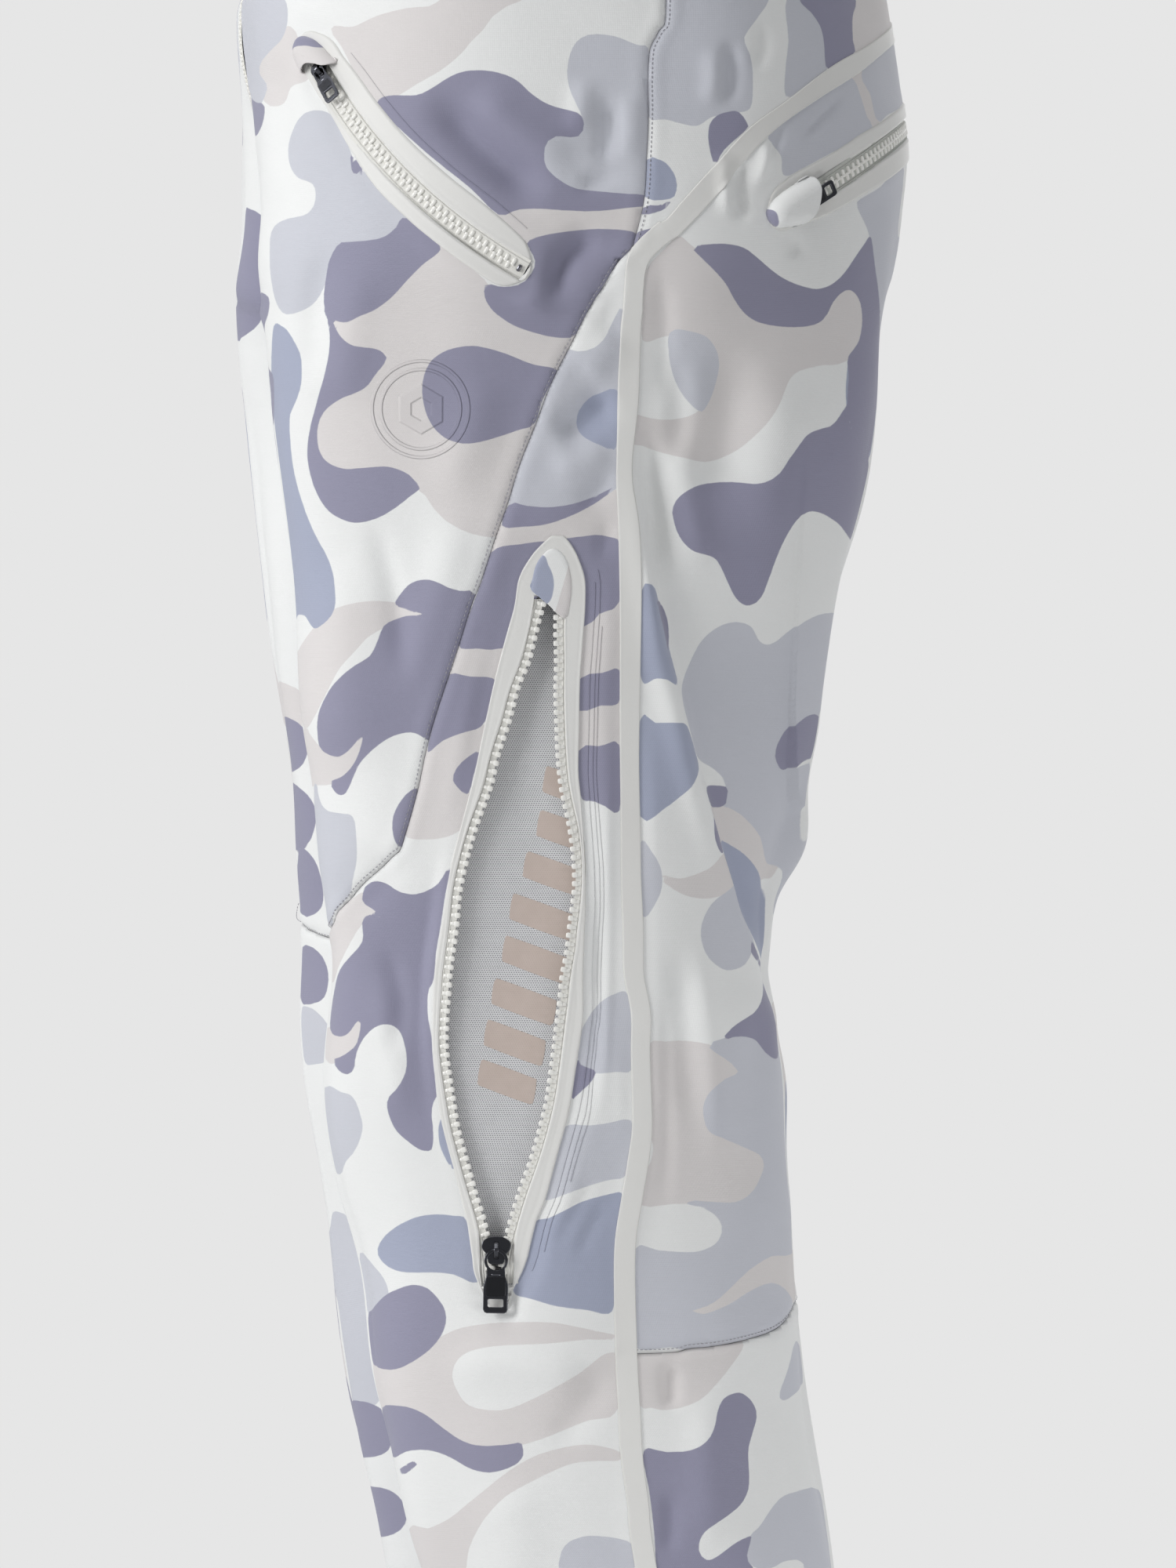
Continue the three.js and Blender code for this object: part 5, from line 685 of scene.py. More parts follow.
def rib_material(name="zip_tape", a="#eeede8", b="#e0dfd9"):
    t = Tree(name); uv = t.coords(); r = t.attr("rib"); n = t.noise(uv, 500.0, 2.0)
    col = t.mix(n, lin(a), lin(b)); w = weave(t, uv, 0.0007)
    nr = t.bump(w, 0.0002, 0.4); nr = t.bump(r, 0.0005, 0.8, nr)
    return t.out(Base_Color=col, Roughness=0.68, Specular_IOR_Level=0.35, Sheen_Weight=0.15, Normal=nr)
def tooth_material():
    t = Tree("zip_teeth"); ob = t.objc(); n = t.noise(ob, 260.0, 2.0)
    col = t.mix(n, lin("#f6f5f1"), lin("#e9e8e2")); nr = t.bump(t.noise(ob, 900.0, 2.0), 0.00012, 0.3)
    return t.out(Base_Color=col, Roughness=0.30, Specular_IOR_Level=0.5, Subsurface_Weight=0.0, Coat_Weight=0.15, Coat_Roughness=0.2, Normal=nr)
def metal_material(name, hx, rough, metal=1.0):
    t = Tree(name); ob = t.objc(); n = t.noise(ob, 420.0, 4.0, 0.65); n2 = t.noise(ob, 60.0, 2.0)
    col = t.mix(n2, lin(hx), tuple(min(1, c * 1.35) for c in lin(hx)[:3]) + (1,))
    # the most convex edges are mixed up to 35% toward the lighter grey #9a9aa2
    edge = t.node("ShaderNodeNewGeometry").outputs["Pointiness"]
    convex_lighter = t.node("ShaderNodeMapRange", {}, _0=edge, _1=0.52, _2=0.60, _3=0.0, _4=0.35).outputs[0]
    col = t.mix(convex_lighter, col, lin("#9a9aa2"))
    r = t.math("ADD", rough, t.math("MULTIPLY", n, 0.12))
    nr = t.bump(n, 0.00006, 0.25)
    return t.out(Base_Color=col, Metallic=metal, Roughness=r, Specular_IOR_Level=0.6, Coat_Weight=0.35, Coat_Roughness=0.08, Normal=nr)
def mesh_material():
    t = Tree("mesh_lining"); uv = t.coords("Dots")
    sep = t.node("ShaderNodeSeparateXYZ", {}, Vector=uv)
    x, y = sep.outputs[0], sep.outputs[1]
    # staggered round holes, one every cell of the Dots map, painted dark grey: painted shade seen through them
    row = t.math("FLOOR", y); odd = t.math("MULTIPLY", t.math("MODULO", row, 2.0), 0.5)
    fx = t.math("SUBTRACT", t.math("FRACT", t.math("ADD", x, odd)), 0.5); fy = t.math("SUBTRACT", t.math("FRACT", y), 0.5)
    r2 = t.math("ADD", t.math("MULTIPLY", fx, fx), t.math("MULTIPLY", t.math("MULTIPLY", fy, fy), 1.0))
    hole = t.node("ShaderNodeMapRange", dict(interpolation_type="SMOOTHSTEP"), _0=r2, _1=0.035, _2=0.10, _3=1.0, _4=0.0).outputs[0]
    pr = t.attr("print")
    n = t.noise(t.coords(), 120.0, 2.0)
    base = t.mix(n, lin("#dededf"), lin("#d2d2d4"))
    base = t.mix(t.math("MULTIPLY", hole, 0.8), base, lin("#6b6b70"))
    pf = t.step(pr, 0.16)
    ink = t.mix(n, lin("#cabcb4"), lin("#c0b1a8"))
    # the holes in the print are painted a little darker too: painted shade
    ink = t.mix(t.math("MULTIPLY", hole, 0.10), ink, lin("#8d8078"))
    col = t.mix(pf, base, ink)
    h = t.math("MULTIPLY", hole, t.math("SUBTRACT", 1.0, t.math("MULTIPLY", pf, 0.85)))
    nr = t.bump(t.math("SUBTRACT", 1.0, h), 0.0004, 0.7)
    nr = t.bump(pf, 0.00025, 0.6, nr)
    return t.out(Base_Color=col, Roughness=0.7, Specular_IOR_Level=0.3, Sheen_Weight=0.15, Normal=nr)
def floor_material():
    t = Tree("studio_floor"); ob = t.objc(); n = t.noise(ob, 3.0, 2.0)
    col = t.mix(n, lin("#e2e2e2"), lin("#e6e6e6"))
    return t.out(Base_Color=col, Roughness=0.9, Specular_IOR_Level=0.1)
# the crease copy of the cloth is 26% darker than the cloth: painted shade
M_CLOTH = cloth_material("shell_cloth"); M_BADGE = cloth_material("shell_cloth_badge", True); M_CREASE_SHADED = cloth_material("shell_cloth_crease_shaded", False, 0.26)
M_LINE = plain_cloth("inner_cloth", "#b4b6bd", 0.0009, 0.78, hx2="#a7a9b1"); M_BAND = plain_cloth("waist_cloth", "#dcdbd8", 0.0011, 0.82, 0.0005, "#d2d1cd")
M_BACKING = plain_cloth("waist_backing", "#c4c4c6", 0.0014, 0.9, 0.0006, "#b9b9bc", 0.5)
# the second zip tape is a darker copy of the first: painted shade for the back pocket's recess
M_TAPE = tape_material(); M_RIB = rib_material(); M_RIB_SHADED = rib_material("zip_tape_shaded", "#c6c8c2", "#babcb6"); M_TOOTH = tooth_material(); M_MESH = mesh_material()
M_METAL = metal_material("zip_metal", "#3c3d42", 0.18); M_DARK = metal_material("zip_metal_plate", "#1d1e22", 0.16, 0.85)
M_THREAD = plain_cloth("thread", "#a9a8ad", 0.0004, 0.6, 0.0002, "#9f9ea5")
M_RUBBER = plain_cloth("grip_strip", "#e3e2de", 0.004, 0.45, 0.0006, "#dad9d4", 0.0)

# ---- meshes --------------------------------------------------------------------------
def make(name, verts, faces, mats, body, nodes=(), sign=1.0, attrs=None, uvs=None, matidx=None, smooth_=True, angle=None, skin=None):
    """A mesh from millimetre points. A mirrored piece (sign -1) has its faces turned round, and an open
    sheet on a leg (skin) is turned so that its faces look away from the wearer."""
    if skin is None: skin = uvs is not None and "Flat" in uvs
    if skin:
        P3 = np.asarray(verts, float); q = np.array([f[:3] for f in faces[:: max(1, len(faces) // 4000)]])
        a, b_, c_ = P3[q[:, 0]], P3[q[:, 1]], P3[q[:, 2]]; mid = (a + b_ + c_) / 3; s_ = np.where(mid[:, 0:1] < 0, -1.0, 1.0)
        ax = np.concatenate([s_ * ((val("XO", mid[:, 2]) + val("XI", mid[:, 2])) / 2)[:, None], ((val("YF", mid[:, 2]) + val("YB", mid[:, 2])) / 2)[:, None], mid[:, 2:3]], 1)
        if (np.cross(b_ - a, c_ - a) * (mid - ax)).sum() < 0: faces = [f[::-1] for f in faces]
    elif sign < 0: faces = [f[::-1] for f in faces]
    me = bpy.data.meshes.new(name)
    me.from_pydata((np.asarray(verts, float) / 1000).tolist(), [], [list(map(int, f)) for f in faces])
    me.update()
    for k, v in (attrs or {}).items():
        a = me.attributes.new(k, "FLOAT", "POINT"); a.data.foreach_set("value", np.asarray(v, np.float32))
    lv = np.zeros(len(me.loops), int); me.loops.foreach_get("vertex_index", lv)
    for k, v in (uvs or {}).items():
        l = me.uv_layers.new(name=k); l.data.foreach_set("uv", np.asarray(v, np.float32)[lv].ravel())
    me.polygons.foreach_set("use_smooth", [smooth_] * len(me.polygons))
    for m in (mats if isinstance(mats, (list, tuple)) else [mats]): me.materials.append(m)
    if matidx is not None: me.polygons.foreach_set("material_index", np.asarray(matidx, np.int32))
    if angle is not None and hasattr(me, "set_sharp_from_angle"): me.set_sharp_from_angle(angle=math.radians(angle))
    o = bpy.data.objects.new(name, me); bpy.context.scene.collection.objects.link(o)
    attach(o, body)
    if nodes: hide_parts(*nodes)
    return o
def solidify(o, t, inner=None):
    m = o.modifiers.new("thickness", "SOLIDIFY"); m.thickness = t / 1000; m.offset = -1.0; m.use_even_offset = False; m.use_rim = True
    if inner is not None:
        o.data.materials.append(inner); m.material_offset = 1; m.material_offset_rim = 0
    return o
def clip_grid(U, Z, F):
    """Quads of a [u, z] grid kept where every field in F is above 0, cut cleanly along the zero lines.
    Returns the points, the faces and each field at the points."""
    F = np.stack(F, 0); nz, nu = U.shape; pos = F > 0
    allin = pos.all(0)
    cell = allin[:-1, :-1] & allin[1:, :-1] & allin[:-1, 1:] & allin[1:, 1:]
    anyf = np.zeros((nz - 1, nu - 1), bool); full_out = np.zeros_like(anyf)
    for f in pos:
        full_out |= ~(f[:-1, :-1] | f[1:, :-1] | f[:-1, 1:] | f[1:, 1:])
    mixed = ~cell & ~full_out
    vid = {}; pts = []; vals = []; faces = []
    def vert(i, j):
        k = i * nu + j
        if k not in vid:
            vid[k] = len(pts); pts.append((U[i, j], Z[i, j])); vals.append(F[:, i, j])
        return vid[k]
    for i, j in zip(*np.where(cell)):
        faces.append((vert(i, j), vert(i, j + 1), vert(i + 1, j + 1), vert(i + 1, j)))
    new = {}
    for i, j in zip(*np.where(mixed)):
        poly = [(U[a, b], Z[a, b], F[:, a, b], ("g", a, b)) for a, b in ((i, j), (i, j + 1), (i + 1, j + 1), (i + 1, j))]
        for k in range(F.shape[0]):
            out = []
            for s in range(len(poly)):
                A, B = poly[s], poly[(s + 1) % len(poly)]; fa, fb = A[2][k], B[2][k]
                if fa > 0: out.append(A)
                if (fa > 0) != (fb > 0):
                    t = fa / (fa - fb); out.append((A[0] + (B[0] - A[0]) * t, A[1] + (B[1] - A[1]) * t, A[2] + (B[2] - A[2]) * t, None))
            poly = out
            if len(poly) < 3: break
        if len(poly) < 3: continue
        ids = []
        for u, z, f, tag in poly:
            if tag: ids.append(vert(tag[1], tag[2])); continue
            key = (round(u, 6), round(z, 4))
            if key not in new: new[key] = len(pts); pts.append((u, z)); vals.append(f)
            ids.append(new[key])
        ids = [a for s, a in enumerate(ids) if a != ids[(s + 1) % len(ids)]]
        if len(ids) >= 3: faces.append(tuple(ids))
    return np.array(pts), faces, np.array(vals)
def grid_faces(nr, nc, wrap=False):
    f = []
    for i in range(nr - 1):
        for j in range(nc if wrap else nc - 1):
            k = (j + 1) % nc; f.append((i * nc + j, i * nc + k, (i + 1) * nc + k, (i + 1) * nc + j))
    return f
def join_meshes(parts):
    V, Fc, n = [], [], 0
    for v, f in parts:
        V.append(np.asarray(v, float)); Fc += [tuple(a + n for a in q) for q in f]; n += len(v)
    return np.vstack(V), Fc
def declare(u, z, faces, pts3):
    """works out the area of a sheet of cloth and the size of the flat cut that would hold it; nothing is kept"""
    P3 = np.asarray(pts3, float); area = 0.0
    for f in faces:
        a = P3[f[0]]
        for k in range(1, len(f) - 1): area += 0.5 * np.linalg.norm(np.cross(P3[f[k]] - a, P3[f[k + 1]] - a))
    area /= 1e6
    A = arc(u, z); w = (A.max() - A.min()) / 1000; l = (z.max() - z.min()) / 1000 * 1.01
    flat_area = area * 0.99
    if flat_area > w * l: w = flat_area / l * 1.02
def rename(s, n): return f"{s}_{n}"
def resample(arr, n):
    return even(fine(arr, n * 3), n)[0]
def px_uz(pts):
    """[u, z] of points of the pattern plane"""
    us = np.linspace(0.7, 3.3, 1301); out = []
    for X, Y in pts:
        z = -500 - (Y - 1000) * 0.4
        for _ in range(3):
            q = plane(surf(us, np.full(us.shape, z))); i0, i1 = np.argmin(q[:, 0]), np.argmax(q[:, 0])
            u = np.interp(X, np.maximum.accumulate(q[i0:i1 + 1, 0]), us[i0:i1 + 1]); d = surf(u, z) @ BACKW
            z = -500 - (Y - 1000) * 0.4 * (CAM_D + CD0 - d) / CAM_D
        out.append([float(u), float(z)])
    return out
# ---- cloth panels ----------------------------------------------------------------------
_us = np.concatenate([np.linspace(0.0008, 1, 62)[:-1], np.linspace(1, 2.06, 84)[:-1], np.linspace(2.06, 2.72, 92)[:-1], np.linspace(2.72, 3.9992, 84)])
_zs = np.linspace(-39.6, -1050, 338)
GU, GZ = np.meshgrid(_us, _zs)
_fF, _fS = fFront(GU, GZ), fSide(GU, GZ)
_hf = slot_f(HAND, GU, GZ); _bf = slot_f(BACK, GU, GZ); _flf = slot_f(FLY, GU, GZ)
_hf = np.where((GU < 2.1) & (GU > 1.1) & (GZ > -300), _hf, 50.0); _bf = np.where((GU > 2.1) & (GZ > -300), _bf, 50.0); _flf = np.where((GU < 0.6) & (GZ > -200), _flf, 50.0)
_vf = np.where((GU > 1.4) & (GU < 2.2), vent_f(GU, GZ), 50.0)
_yz = yokeZ(GU); _cz = zAt(CALFs, GU)
PANELS = {
    "front_thigh_panel": ("front", [-_fF - 0.1, _hf, _flf], 0),
    "shin_panel": ("shin", [_fF - 0.1, _fS - 0.1, _vf, np.where(GZ > -230, -1.0, 1.0)], 1),
    "back_thigh_panel": ("back", [-_fS - 0.1, _yz - 0.1 - GZ, GZ - _cz - 0.1, _bf], 1),
    "calf_panel": ("calf", [-_fS - 0.1, _cz - 0.1 - GZ], 0),
    "hip_yoke": ("yoke", [-_fS - 0.1, GZ - _yz - 0.1], 0),
}
# stitched lines pressed into the cloth beside the bonded frames: [u, z] lines
def off_line(arr, s, d, n=80):
    a = np.array(arr, float); return [[float(u_off(u, z, s * d)), float(z)] for u, z in a]
VB = outB; 
def line_uz(u, z, line):
    l = np.array(line, float); c = l.mean(0); m = float(mm(c[0], c[1]))
    q = np.stack([(u - c[0]) * m, z - c[1]], -1); P = (l - c) * np.array([m, 1])
    return line_dist(q, P)
badge_u, badge_z = BADGE[0]
def badge_xy(XY):
    """millimetres from the badge's middle"""
    q = (XY - plane(surf(badge_u, badge_z))) * 0.4; return q
for side, sg in SIDES:
    for pname, (cam, F, wc) in PANELS.items():
        uz, faces, vals = clip_grid(GU, GZ, F)
        u, z = uz[:, 0], uz[:, 1]
        D = fold(u, z, sg)
        V = Q(u, z, 0.0, sg, D)
        cols = camo(cam, u, z, sg)
        seam = np.min(np.abs(vals[:, : {"front_thigh_panel": 1, "shin_panel": 2, "back_thigh_panel": 3, "calf_panel": 2, "hip_yoke": 2}[pname]]), 1)
        seam = np.minimum(seam, np.where(z < -272, np.minimum(arc(u, z), arc(4.0, z) - arc(u, z)), 99))
        st = np.zeros(len(u))
        attrs = {"c" + k: v for k, v in cols.items()}; attrs["seam"] = seam; attrs["stitchline"] = st
        uvs = {"Flat": None}
        if pname == "front_thigh_panel": uvs["Badge"] = badge_xy(plane(surf(u, z)))
        A = arc(u, z); uvs["Flat"] = np.stack([A, z], -1) / 1000
        o = make(f"{side}_{pname}_cloth", V, faces, M_BADGE if pname == "front_thigh_panel" else M_CLOTH, "pants", [f"{side}_{pname}"], sg, attrs, uvs)
        solidify(o, 1.5, M_LINE)
        declare(u, z, faces, surf(u, z))

# ---- strips bonded on the cloth ---------------------------------------------------------
def bonded(name, L, R, cols, lift, body, slot, nodes, sg, mat, extra=None, lip=0.55, fields=None):
    """L and R are [u, z] edges point for point; gives the grid between them and each point's distance to the strip's
    edges, and to its ends unless the ends are open. lift is not used.
    """
    L, R = np.array(L, float), np.array(R, float); n = len(L)
    tt = np.concatenate([[0, 0.012, 0.03, 0.055], np.linspace(0.1, 0.9, cols - 1), [0.945, 0.97, 0.988, 1]])
    U = L[:, 0:1] + (R[:, 0:1] - L[:, 0:1]) * tt; Z = L[:, 1:2] + (R[:, 1:2] - L[:, 1:2]) * tt
    P3 = surf(U, Z); w = np.linalg.norm(P3[:, -1] - P3[:, 0], axis=1)[:, None] + 1e-6
    s = np.concatenate([[0], np.cumsum(np.linalg.norm(np.diff(P3[:, len(tt) // 2], axis=0), axis=1))])[:, None]
    e = np.minimum(tt * w, (1 - tt) * w); e = np.minimum(e, np.minimum(s, s[-1] - s) if extra != "open" else e)
    return U, Z, e
def strip_piece(name, L, R, cols, lift, nodes, sg, mat, slot="bonded_tape", open_ends=True):
    U, Z, e = bonded(name, L, R, cols, lift, "pants", slot, nodes, sg, mat, "open" if open_ends else None)
    h = -0.1 + lift * smooth(-0.02, 0.42, e)
    V = Q(U, Z, h, sg).reshape(-1, 3)
    return make(name, V, grid_faces(*U.shape), mat, "pants", nodes, sg, {"edge": e.ravel()}, {"Flat": np.stack([arc(U, Z), Z], -1).reshape(-1, 2) / 1000})
_tz = np.linspace(-262, -1050, 290)
_tl = np.stack([uAt(TFs, _tz), _tz], -1); _tr = np.stack([uAt(TBs, _tz), _tz], -1)
# the side tape bends round into the yoke tape
_eo = px_uz([(841, 282), (832, 290), (822, 299), (812, 309), (804, 320), (800, 332), (798, 346), (797, 362)])
_ei = px_uz([(859, 305), (850, 312), (841, 320), (832, 329), (826, 340), (823, 353), (822, 366), (821, 378)])
_el, _er = fine(np.vstack([_eo, _tl[:1] + [0, 0]]), 40), fine(np.vstack([_ei, _tr[:1] + [0, 0]]), 40)
_tl = np.vstack([_el[:-1], _tl]); _tr = np.vstack([_er[:-1], _tr])
_cols = 10
_yu = np.concatenate([np.linspace(2.085, 2.6, 70), np.linspace(2.61, 3.99, 90)])
_yl = np.stack([_yu, zAt(YOKE_LOs, _yu)], -1); _yh = np.stack([_yu - 0.01, zAt(YOKE_HIs, _yu - 0.01)], -1)
_j0, _j1 = px_uz([(838, 284.5), (856, 307.5)]); _yh = np.vstack([[_j0], _yh[_yh[:, 0] > _j0[0] + 0.01]]); _yl = np.vstack([[_j1], _yl[_yl[:, 0] > _j1[0] + 0.01]])
_yh, _yl = resample(_yh, 170), resample(_yl, 170)
_rz = [-376.2,-386,-404,-436,-476,-516,-553,-587,-621,-658,-690,-714,-735,-752,-763]
for side, sg in SIDES:
    strip_piece(f"{side}_side_tape_band", _tl, _tr, _cols, 0.85, [f"{side}_side_tape"], sg, M_TAPE)
    strip_piece(f"{side}_yoke_tape_band", _yl[::-1], _yh[::-1], _cols, 0.80, [f"{side}_yoke_tape"], sg, M_TAPE)
    # vent frame: a closed ring, outer edge to inner edge
    k = np.linspace(0, len(_rz) - 1, 150); oz = np.interp(k, range(len(_rz)), _rz); iz = np.interp(k, range(len(slotZ)), slotZ)
    oL = np.stack([uAt(outA, oz), oz], -1); oR = np.stack([uAt(outB, oz), oz], -1)
    iL = np.stack([innerU(iz, -1), iz], -1); iR = np.stack([innerU(iz, 1), iz], -1)
    top_o = np.stack([np.linspace(oR[0, 0], oL[0, 0], 7)[1:-1], np.full(5, oL[0, 1] + 1.2)], -1); top_i = np.stack([np.linspace(iR[0, 0], iL[0, 0], 7)[1:-1], np.full(5, iL[0, 1])], -1)
    bot_o = np.stack([np.linspace(oL[-1, 0], oR[-1, 0], 7)[1:-1], np.full(5, oL[-1, 1] - 1.2)], -1); bot_i = np.stack([np.linspace(iL[-1, 0], iR[-1, 0], 7)[1:-1], np.full(5, iL[-1, 1])], -1)
    O = np.vstack([oL, bot_o, oR[::-1], top_o]); I = np.vstack([iL, bot_i, iR[::-1], top_i])
    tt = np.array([0, 0.02, 0.045, 0.08, 0.14, 0.2, 0.28, 0.36, 0.44, 0.52, 0.6, 0.68, 0.76, 0.84, 0.91, 0.96, 1.0, 1.0, 1.0])
    U = O[:, 0:1] + (I[:, 0:1] - O[:, 0:1]) * tt; Z = O[:, 1:2] + (I[:, 1:2] - O[:, 1:2]) * tt
    w = np.linalg.norm(surf(O[:, 0], O[:, 1]) - surf(I[:, 0], I[:, 1]), axis=1)[:, None]
    e = tt * w
    h = -0.1 + 1.15 * smooth(0, 0.55, e) + 0.12 * np.exp(-((e - 1.4) / 0.6) ** 2) - 0.12 * np.exp(-((e - 4.0) / 0.7) ** 2)
    h = h * 1.0; ins = (1 - tt) * w
    h = h + 0.22 * np.exp(-((ins - 1.1) / 0.5) ** 2)
    h[:, -3] = h[:, -4] * 0.8; h[:, -2] = 0.1; h[:, -1] = -1.7
    V = Q(U.T, Z.T, h.T, sg).reshape(-1, 3)
    make(f"{side}_vent_frame_band", V, [f[::-1] for f in grid_faces(U.shape[1], U.shape[0], True)], M_TAPE, "pants", [f"{side}_vent_frame"], sg, {"edge": np.minimum(e, 9).T.ravel()}, {"Flat": np.stack([arc(U, Z), Z], -1).transpose(1, 0, 2).reshape(-1, 2) / 1000})

# pocket frames: grids between their edges, cut by the slot
def frame_piece(name, up, low, T, node, sg, n=150, cols=34):
    L, R = resample(up, n), resample(low, n)
    tt = np.linspace(0, 1, cols + 1); U = L[:, 0:1] + (R[:, 0:1] - L[:, 0:1]) * tt; Z = L[:, 1:2] + (R[:, 1:2] - L[:, 1:2]) * tt
    loop = np.vstack([L, R[::-1]])
    f = slot_f(T, U, Z, 5.0); ed = np.minimum(-uz_dist(U.ravel(), Z.ravel(), loop).reshape(U.shape), 12.0)
    # rounded ends
    P3 = surf(U, Z); s = np.concatenate([[0], np.cumsum(np.linalg.norm(np.diff(P3[:, cols // 2], axis=0), axis=1))])[:, None]; w = np.linalg.norm(P3[:, -1] - P3[:, 0], axis=1)[:, None]
    x = np.abs(tt - 0.5) * w; r = w * 0.5
    def cap(q): return r - np.hypot(x, np.maximum(r - q, 0))
    rd = np.minimum(cap(s), cap(s[-1] - s))
    uz, faces, vals = clip_grid(U, Z, [f, rd + 0.01])
    u, z = uz[:, 0], uz[:, 1]
    e1 = np.minimum(np.interp(0, [0], [0]) + vals[:, 1], 12); e2 = vals[:, 0]
    h = -0.05 + 1.0 * smooth(0, 0.6, e1) * smooth(-0.1, 0.6, e2) + 0.10 * np.exp(-((e2 - 1.4) / 0.6) ** 2) - 0.10 * np.exp(-((e2 - 3.0) / 0.5) ** 2)
    h = np.where(e2 < 0.05, -1.2, h)
    V = Q(u, z, h, sg)
    make(name, V, faces if True else faces, M_TAPE, "pants", [node], sg, {"edge": np.minimum(e1, np.maximum(e2 + 0.6, 0.6))}, {"Flat": np.stack([arc(u, z), z], -1) / 1000})

def crease(name, line, panel, sg, w=0.42, n=160):
    """a fine pressed line in the cloth, coloured with the darkened copy of the cloth: painted shade along the line"""
    pts = resample(line, n); P = surf(pts[:, 0], pts[:, 1]); T = unit(np.gradient(P, axis=0)); N = normal(pts[:, 0], pts[:, 1]); B = np.cross(T, N)
    D = fold(pts[:, 0], pts[:, 1], sg); k = np.array([-1, -0.4, 0.4, 1]); hh = np.array([-0.25, 0.28, 0.28, -0.25])
    V = P[:, None] + N[:, None] * (D[:, None, None] + hh[None, :, None]) + B[:, None] * k[None, :, None] * w
    col = camo(panel, pts[:, 0], pts[:, 1], sg); at = {"c" + q: np.repeat(v, 4) for q, v in col.items()}; at["seam"] = np.full(n * 4, 9.0); at["stitchline"] = np.zeros(n * 4)
    A = arc(pts[:, 0], pts[:, 1]); uv = np.stack([A[:, None] + k * w, pts[:, 1][:, None] + 0 * k], -1).reshape(-1, 2) / 1000
    make(name, V.reshape(-1, 3) * np.array([sg, 1, 1]), grid_faces(n, 4), M_CREASE_SHADED, "pants", [], sg, at, {"Flat": uv})
for side, sg in SIDES:
    ln = [[float(u_off(a, b, 4.2)), float(b) + 2.4] for a, b in fine(HAND_UP[2:-2], 30)]
    crease(f"{side}_hand_pocket_press_line", ln, "front", sg)
    for k_, (dd_, z0, z1) in enumerate(((4.6, -398, -745), (7.4, -392, -735), (9.4, -420, -700))):
        l = [p for p in off_line(VB, 1, dd_) if z1 < p[1] < z0]
        crease(f"{side}_vent_press_line_{k_}", l, "shin", sg, 0.36)
def superball(hx, hy, hz, n1=0.62, n2=0.62, na=12, nb=7):
    """a rounded block as points and faces; half sizes and squareness"""
    V, Fc = [], []
    pw = lambda c, e: math.copysign(abs(c) ** e, c)
    for i in range(nb + 1):
        v = -math.pi / 2 + math.pi * i / nb
        for j in range(na):
            a = 2 * math.pi * j / na
            V.append((hx * pw(math.cos(v), n1) * pw(math.cos(a), n2), hy * pw(math.cos(v), n1) * pw(math.sin(a), n2), hz * pw(math.sin(v), n1)))
    for i in range(nb):
        for j in range(na): Fc.append((i * na + j, i * na + (j + 1) % na, (i + 1) * na + (j + 1) % na, (i + 1) * na + j))
    return np.array(V), Fc
def place(V, p, b, t, w):
    return p + V[:, 0:1] * b + V[:, 1:2] * t + V[:, 2:3] * w
def plate(outline, depth, bevel, holes=(), seg=2):
    """a flat part with rounded rims from outlines, as points and faces; it is centred on z = 0"""
    cu = bpy.data.curves.new("outline", "CURVE"); cu.dimensions = "2D"; cu.fill_mode = "BOTH"
    for loop in (outline, *holes):
        sp = cu.splines.new("POLY"); sp.points.add(len(loop) - 1)
        for q, (x, y) in zip(sp.points, loop): q.co = (x, y, 0, 1)
        sp.use_cyclic_u = True
    cu.extrude = max(depth / 2 - bevel, 0.01); cu.bevel_depth = bevel; cu.bevel_resolution = seg; cu.offset = -bevel
    o = bpy.data.objects.new("outline", cu); bpy.context.scene.collection.objects.link(o)
    dg = bpy.context.evaluated_depsgraph_get(); me = bpy.data.meshes.new_from_object(o.evaluated_get(dg))
    V = np.array([v.co[:] for v in me.vertices]); Fc = [tuple(p.vertices) for p in me.polygons]
    bpy.data.objects.remove(o); bpy.data.curves.remove(cu); bpy.data.meshes.remove(me)
    return V, Fc
def circ(cx, cy, r, n=28, a0=0.0, a1=2 * math.pi):
    return [(cx + r * math.cos(a0 + (a1 - a0) * i / n), cy + r * math.sin(a0 + (a1 - a0) * i / n)) for i in range(n)]
def rrect(x0, y0, x1, y1, r, n=6):
    out = []
    for x, y, q in ((x1 - r, y1 - r, 0), (x0 + r, y1 - r, 1), (x0 + r, y0 + r, 2), (x1 - r, y0 + r, 3)):
        for i in range(n + 1):
            a = (q + i / n) * math.pi / 2; out.append((x + r * math.cos(a), y + r * math.sin(a)))
    return out
MX = np.array([-1.0, 1, 1])
def mir(V, sg): return V if sg > 0 else V * MX

